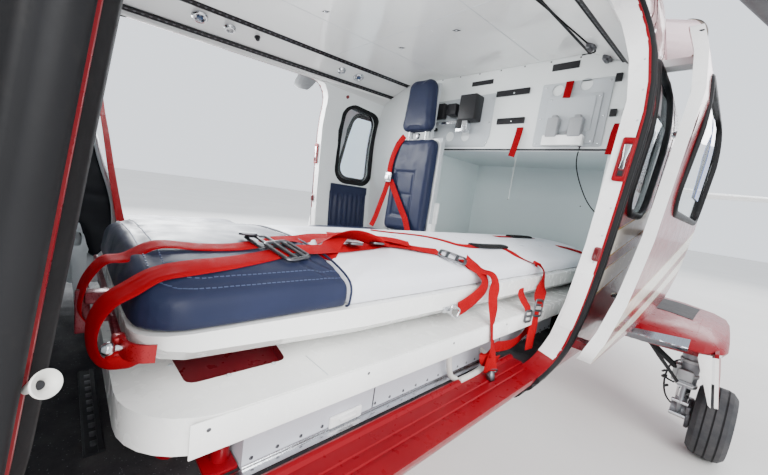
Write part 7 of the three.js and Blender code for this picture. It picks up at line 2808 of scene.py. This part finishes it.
# windscreen rubbers, over the edge of the skin and the glass
def roofUp(station, x):
    # height where the skin has come in to this x
    aft = station / 1000 - originStation
    section = sectionAt(hullRows, aft)
    low, high = section[3], section[4]
    for _ in range(30):
        middle = (low + high) / 2
        low, high = (middle, high) if skinX(aft, middle) > x else (low, middle)
    return low * 1000


rubbers = []
for side in (1, -1):
    ends = [(1010, roofUp(1010, 0.026)), (1010, 1440), (1190, 1395), (1780, 1850)]
    top = 1850.0
    for _ in range(12):
        top = roofUp(1780 - (top - 1850) * 80 / 350, 0.026)
    crown = (1780 - (top - 1850) * 80 / 350, top)
    path = []
    for a, b, count in ((ends[0], ends[1], 8), (ends[1], ends[2], 8), (ends[2], ends[3], 16)):
        path += [(a[0] + (b[0] - a[0]) * k / count, a[1] + (b[1] - a[1]) * k / count) for k in range(count)]
    for k in range(16):
        share = 1 - (1 - k / 15) ** 2.2
        path.append(
            (ends[3][0] + (crown[0] - ends[3][0]) * share, ends[3][1] + (crown[1] - ends[3][1]) * share))
    for k in range(1, 20):
        station = crown[0] + (1010 - crown[0]) * k / 20
        path.append((station, roofUp(station, 0.026)))
    spots = []
    for station, z in path:
        aft, up = station / 1000 - originStation, z / 1000
        facing = skinFacing(aft, up, side)
        if not facing.length or math.isnan(facing.x):
            facing = Vector((0, -0.4, 0.9)).normalized()
        spots.append((skinPoint(aft, up, 0.0, side), facing))
    rubbers.append(sweepLists([s[0] for s in spots], [s[1] for s in spots],
                              easedProfile(0.011, 0.007, -0.013, 0.0015, 0.0035), closed=True)[:2])
addJoined("windscreenRubbers", rubbers, sealRubber, sharp=50)


def screenSpot(side, x, station, lift):
    z = roofUp(station, x)
    aft = station / 1000 - originStation
    return Vector((side * x, aft, z / 1000)) + skinFacing(aft, z / 1000, side) * (lift - 0.009)


blades, arms = [], []
for side in (1, -1):
    line = [
        screenSpot(side, x, station, 0.01)
        for x, station in ((0.14, 1085), (0.15, 1180), (0.165, 1280), (0.185, 1380), (0.205, 1470))
    ]
    blades.append(
        sweepLists(smoothPath(line, 4), [Vector((0, -0.45, 0.89))] * (4 * 4 + 1),
            [(-0.004, -0.01), (-0.001, -0.012), (0.001, -0.012), (0.004, -0.01), (0.005, 0.006),
             (-0.005, 0.006)])[:2])
    root = screenSpot(side, 0.1, 992, 0.022)
    grip = line[2] + Vector((0, -0.012, 0.02))
    arm = smoothPath([root, root.lerp(grip, 0.3) + Vector((0, -0.006, 0.014)), grip], 6)
    arms.append(rodLists(arm, 0.006, 10, 0.6))
    arms.append(
        turnedLists([(0.0, 0.022), (0.012, 0.02), (0.017, 0.012), (0.018, -0.012), (0.0, -0.012)],
            root - Vector((0, 0, 0.01)), (0, -0.35, 0.94), 20))
    arms.append(bevelled(grip - Vector((0.008, 0.014, 0.016)), grip + Vector((0.008, 0.014, 0.006)), 0.003))
addJoined("wiperBlades", blades, sealRubber, sharp=40)
addJoined("wiperArms", arms, blackPlastic)

# handles of the cockpit doors and the baggage door
handlePlate = [
    bevelled((-0.062, -0.026, -0.004), (0.062, 0.026, 0.0028), 0.002),
    bevelled((-0.05, -0.009, 0.002), (0.046, 0.009, 0.012), 0.004, 3),
    turnedLists([(0.0, 0.014), (0.01, 0.013), (0.012, 0.01), (0.012, 0.002), (0.0, 0.002)], (-0.04, 0, 0),
        (0, 0, 1), 20),
    turnedLists([(0.0, 0.005), (0.006, 0.005), (0.008, 0.003), (0.008, 0.001), (0.0, 0.001)],
        (0.052, 0, 0), (0, 0, 1), 16),
]
for word, side in (("left", 1), ("right", -1)):
    door = f"cockpit_door_{word}"
    hit = sideHit(door, side, 2262, 1090)
    if hit:
        handle = placed(joined(handlePlate), hit[0], (0, -1, 0.03), hit[1])
        addPiece(f"cockpitDoorHandle{word.title()}", *handle, brightMetal, door)
    hinges = []
    for z in (880, 1240):
        hit = sideHit(door, side, 1292, z)
        if hit:
            hinges.append(
                placed(bevelled((-0.016, -0.04, -0.003), (0.02, 0.04, 0.004), 0.0025), hit[0], (0, 1, 0),
                    hit[1]))
    if hinges:
        addJoined(f"cockpitDoorHingePlates{word.title()}", hinges, brightMetal, door)
parts = []
for z in (1180, 1440):
    hit = sideHit("baggage_door", 1, 5600, z)
    if hit:
        parts.append(placed(joined(handlePlate), hit[0], (0, 1, 0), hit[1]))
addJoined("baggageDoorLatches", parts, brightMetal, "baggage_door")

# lamps, tubes and antennas
glassy, shells, reds, thin = [], [], [], []
for side, word in ((1, "left"), (-1, "right")):
    tip = castOn("stabiliser", mm(side * 1900, 8470, 1696), (-side, 0, 0))
    if tip:
        shells.append(
            placed(bevelled((-0.05, -0.01, -0.004), (0.05, 0.01, 0.004), 0.004), tip[0], (0, 1, 0),
                (side, 0, 0)))
        glassy.append(
            turnedLists(
                [(0.0, 0.02), (0.005, 0.0185), (0.009, 0.014), (0.011, 0.006), (0.011, 0.0), (0.0, 0.0)],
                tip[0] + Vector((side * 0.003, 0, 0)), (side, 0, 0), 18))
    hit = sideHit("nose_cone", side, 620, 900)
    if hit:
        spot, out = hit
        knee = spot + out * 0.085
        run = smoothPath(
            [spot - out * 0.01, spot + out * 0.04, knee, knee + Vector((side * 0.012, -0.05, 0)),
             knee + Vector((side * 0.012, -0.15, 0))], 5)
        thin.append(rodLists(run, 0.007, 12))
        shells.append(
            placed(bevelled((-0.03, -0.014, -0.003), (0.03, 0.014, 0.004), 0.003), spot, (0, 1, 0), out))
for solid, at, aim, size in (("tail_boom", (0, 9050, 2600), (0, 0, -1), 1.0),
        ("belly_and_floor", (0, 3050, 100), (0, 0, 1), 1.25)):
    hit = castOn(solid, mm(*at), aim)
    if hit:
        out = -Vector(aim)
        shells.append(
            turnedLists(
                [(0.0, 0.012 * size), (0.04 * size, 0.012 * size), (0.046 * size, 0.006 * size),
                 (0.048 * size, -0.006), (0.0, -0.006)], hit[0], out, 30))
        reds.append(
            turnedLists(
                [(0.0, 0.058 * size), (0.014 * size, 0.056 * size), (0.026 * size, 0.047 * size),
                 (0.033 * size, 0.03 * size), (0.035 * size, 0.012 * size), (0.0, 0.012 * size)], hit[0],
                out, 30))
hit = castOn("nose_cone", mm(0, 720, 100), (0, 0, 1))
if hit:
    glassy.append(
        turnedLists(
            [(0.0, 0.02), (0.03, 0.018), (0.056, 0.012), (0.068, 0.004), (0.068, 0.0), (0.0, 0.0)],
            hit[0], (0, -0.25, -1), 36))
    shells.append(
        turnedLists(
            [(0.067, 0.009), (0.074, 0.009), (0.079, 0.004), (0.08, -0.012), (0.06, -0.012),
             (0.06, 0.002), (0.067, 0.004)], hit[0], (0, -0.25, -1), 36))
blades = []
for solid, at, aim, outline in (
        ("belly_and_floor", (0, 2350, 100), (0, 0, 1),
         [(-0.06, 0.0), (0.07, 0.0), (0.11, -0.15), (0.05, -0.15)]),
        ("belly_and_floor", (180, 3600, 100), (0, 0, 1),
         [(-0.05, 0.0), (0.05, 0.0), (0.06, -0.09), (0.02, -0.09)]),
        ("tail_boom", (0, 7450, 2600), (0, 0, -1),
         [(-0.08, 0.0), (0.08, 0.0), (0.15, 0.18), (0.09, 0.18)]),
        ("engine_cowling", (0, 6350, 3300), (0, 0, -1),
         [(-0.05, 0.0), (0.06, 0.0), (0.09, 0.11), (0.05, 0.11)])):
    hit = castOn(solid, mm(*at), aim)
    if hit:
        place = hit[0] + Vector((0.006, 0, -aim[2] * -0.004))
        blades.append(
            plateLists(roundedOutline(outline, 0.012, 4), place, (0, 1, 0), (0, 0, 1), 0.012, 0.0035))
        blades.append(
            placed(bevelled((-0.09, -0.022, -0.005), (0.09, 0.022, 0.004), 0.003), hit[0], (0, 1, 0),
                (0, 0, -aim[2])))
addJoined("lampShells", shells, blackPlastic)
addJoined("lampGlass", glassy,
    surface("lampGlass", (0.8, 0.84, 0.88), 0.06, 0.03, 20, 300, 0.0002, 0.02, Coat_Weight=0.8))
addJoined("beacons", reds,
    surface("beaconRed", (0.45, 0.01, 0.01), 0.08, 0.03, 20, 300, 0.0002, 0.02, Coat_Weight=0.8))
addJoined("pitotTubes", thin, brightMetal)
addJoined("bladeAntennas", blades, blackPlastic)

# engine intakes: frame and slats over the openings; exhaust rims
slats, rims = [], []
frames = jointOn("engine_cowling", square(3535, 3905, 2105, 2355), True, None,
                 easedProfile(0.01, 0.007, -0.003, 0.003, 0.005))
for side in (1, -1):
    for k in range(9):
        z = 2140 + 22.5 * k
        first, last = (sideHit("engine_cowling", side, station, z) for station in (3546, 3894))
        if first and last:
            run = [first[0].lerp(last[0], t / 4) - Vector((side * 0.006, 0, 0)) for t in range(5)]
            slats.append(
                sweepLists(run, [Vector((side, 0, 0.25))] * 5,
                    [(-0.002, -0.01), (-0.002, 0.008), (0.0, 0.01), (0.002, 0.008), (0.002, -0.01)])[:2])
    axis = Vector((side * 0.14, 0.27, 0.06)).normalized()
    rims.append(
        turnedLists(
            [(0.1155, -0.03), (0.1295, -0.03), (0.1325, -0.026), (0.1325, 0.001), (0.129, 0.004),
             (0.118, 0.004), (0.1155, 0.001)], mm(side * 570, 5420, 2370), axis, 48))
addJoined("intakeSlats", slats, darkMetal, sharp=40)
addJoined("intakeFrames", frames, darkMetal, sharp=40)
addJoined("exhaustRims", rims, hotMetal)
hit = sideHit("aft_fuselage", -1, 4420, 1500)
if hit:
    parts = [
        placed(
            turnedLists([(0.0, 0.006), (0.03, 0.006), (0.034, 0.003), (0.034, -0.003), (0.0, -0.003)],
                (0, 0, 0), (0, 0, 1), 32), hit[0], (0, 1, 0), hit[1]),
        placed(bevelled((-0.024, -0.005, 0.005), (0.024, 0.005, 0.011), 0.003), hit[0], (0.0, 1, 0.4),
            hit[1]),
    ]
    addJoined("fuelCap", parts, brightMetal)
print("outer skin done")


# studio
studioLook = {
    "ground": (0.7, 0.69, 0.67), "sky": (0.88, 0.93, 1.0, 1), "skyPower": 1.65, "daylight": (0.97, 0.99, 1.0),
}


def studio():
    bm = bmesh.new()
    bmesh.ops.create_grid(bm, x_segments=2, y_segments=2, size=40)
    mesh = bpy.data.meshes.new("paleFloor")
    bm.to_mesh(mesh)
    bm.free()
    floor = bpy.data.objects.new("paleFloor", mesh)
    scene.collection.objects.link(floor)
    mesh.materials.append(surface("paleGround", studioLook["ground"], 0.75, 0.04, 0.8, 90, 0.0004, 0.05))
    world = bpy.data.worlds.new("softSky")
    world.use_nodes = True
    background = world.node_tree.nodes["Background"].inputs
    background["Color"].default_value = studioLook["sky"]
    background["Strength"].default_value = studioLook["skyPower"]
    scene.world = world


def areaLight(name, place, aim, size, power, color=(1, 1, 1)):
    light = bpy.data.lights.new(name, "AREA")
    light.shape = "RECTANGLE"
    light.size, light.size_y = size
    light.energy = power
    light.color = color
    holder = bpy.data.objects.new(name, light)
    scene.collection.objects.link(holder)
    holder.location = place
    holder.rotation_euler = (Vector(aim) - Vector(place)).to_track_quat("-Z", "Y").to_euler()
    holder.visible_camera = False


studio()
areaLight("keySoft", (6.5, -4.5, 6.0), (0, -1, 0.8), (5, 5), 1000, (1.0, 0.98, 0.95))
areaLight("farSideFill", (-7, -1, 4.0), (0, -1, 1.0), (6, 4), 900, (0.92, 0.96, 1.0))
areaLight("tailSoft", (3, 9, 6), (0, 2, 1.2), (5, 5), 500)
for name, place, aim, size, power in (
        ("doorwaySoft", (1.9, -1.7, 0.9), (0.1, 0.3, 0.5), (1.4, 1.0), 28),
        ("farDoorwaySoft", (-1.45, -0.75, 1.0), (0.1, 0.42, 0.8), (1.2, 0.9), 56),
        ("cabinSoft", (0.2, -0.62, 1.02), (0.1, 0.6, 0.45), (0.5, 0.4), 5)):
    areaLight(name, cab(*place), cab(*aim), size, power, studioLook["daylight"])
print("studio set")
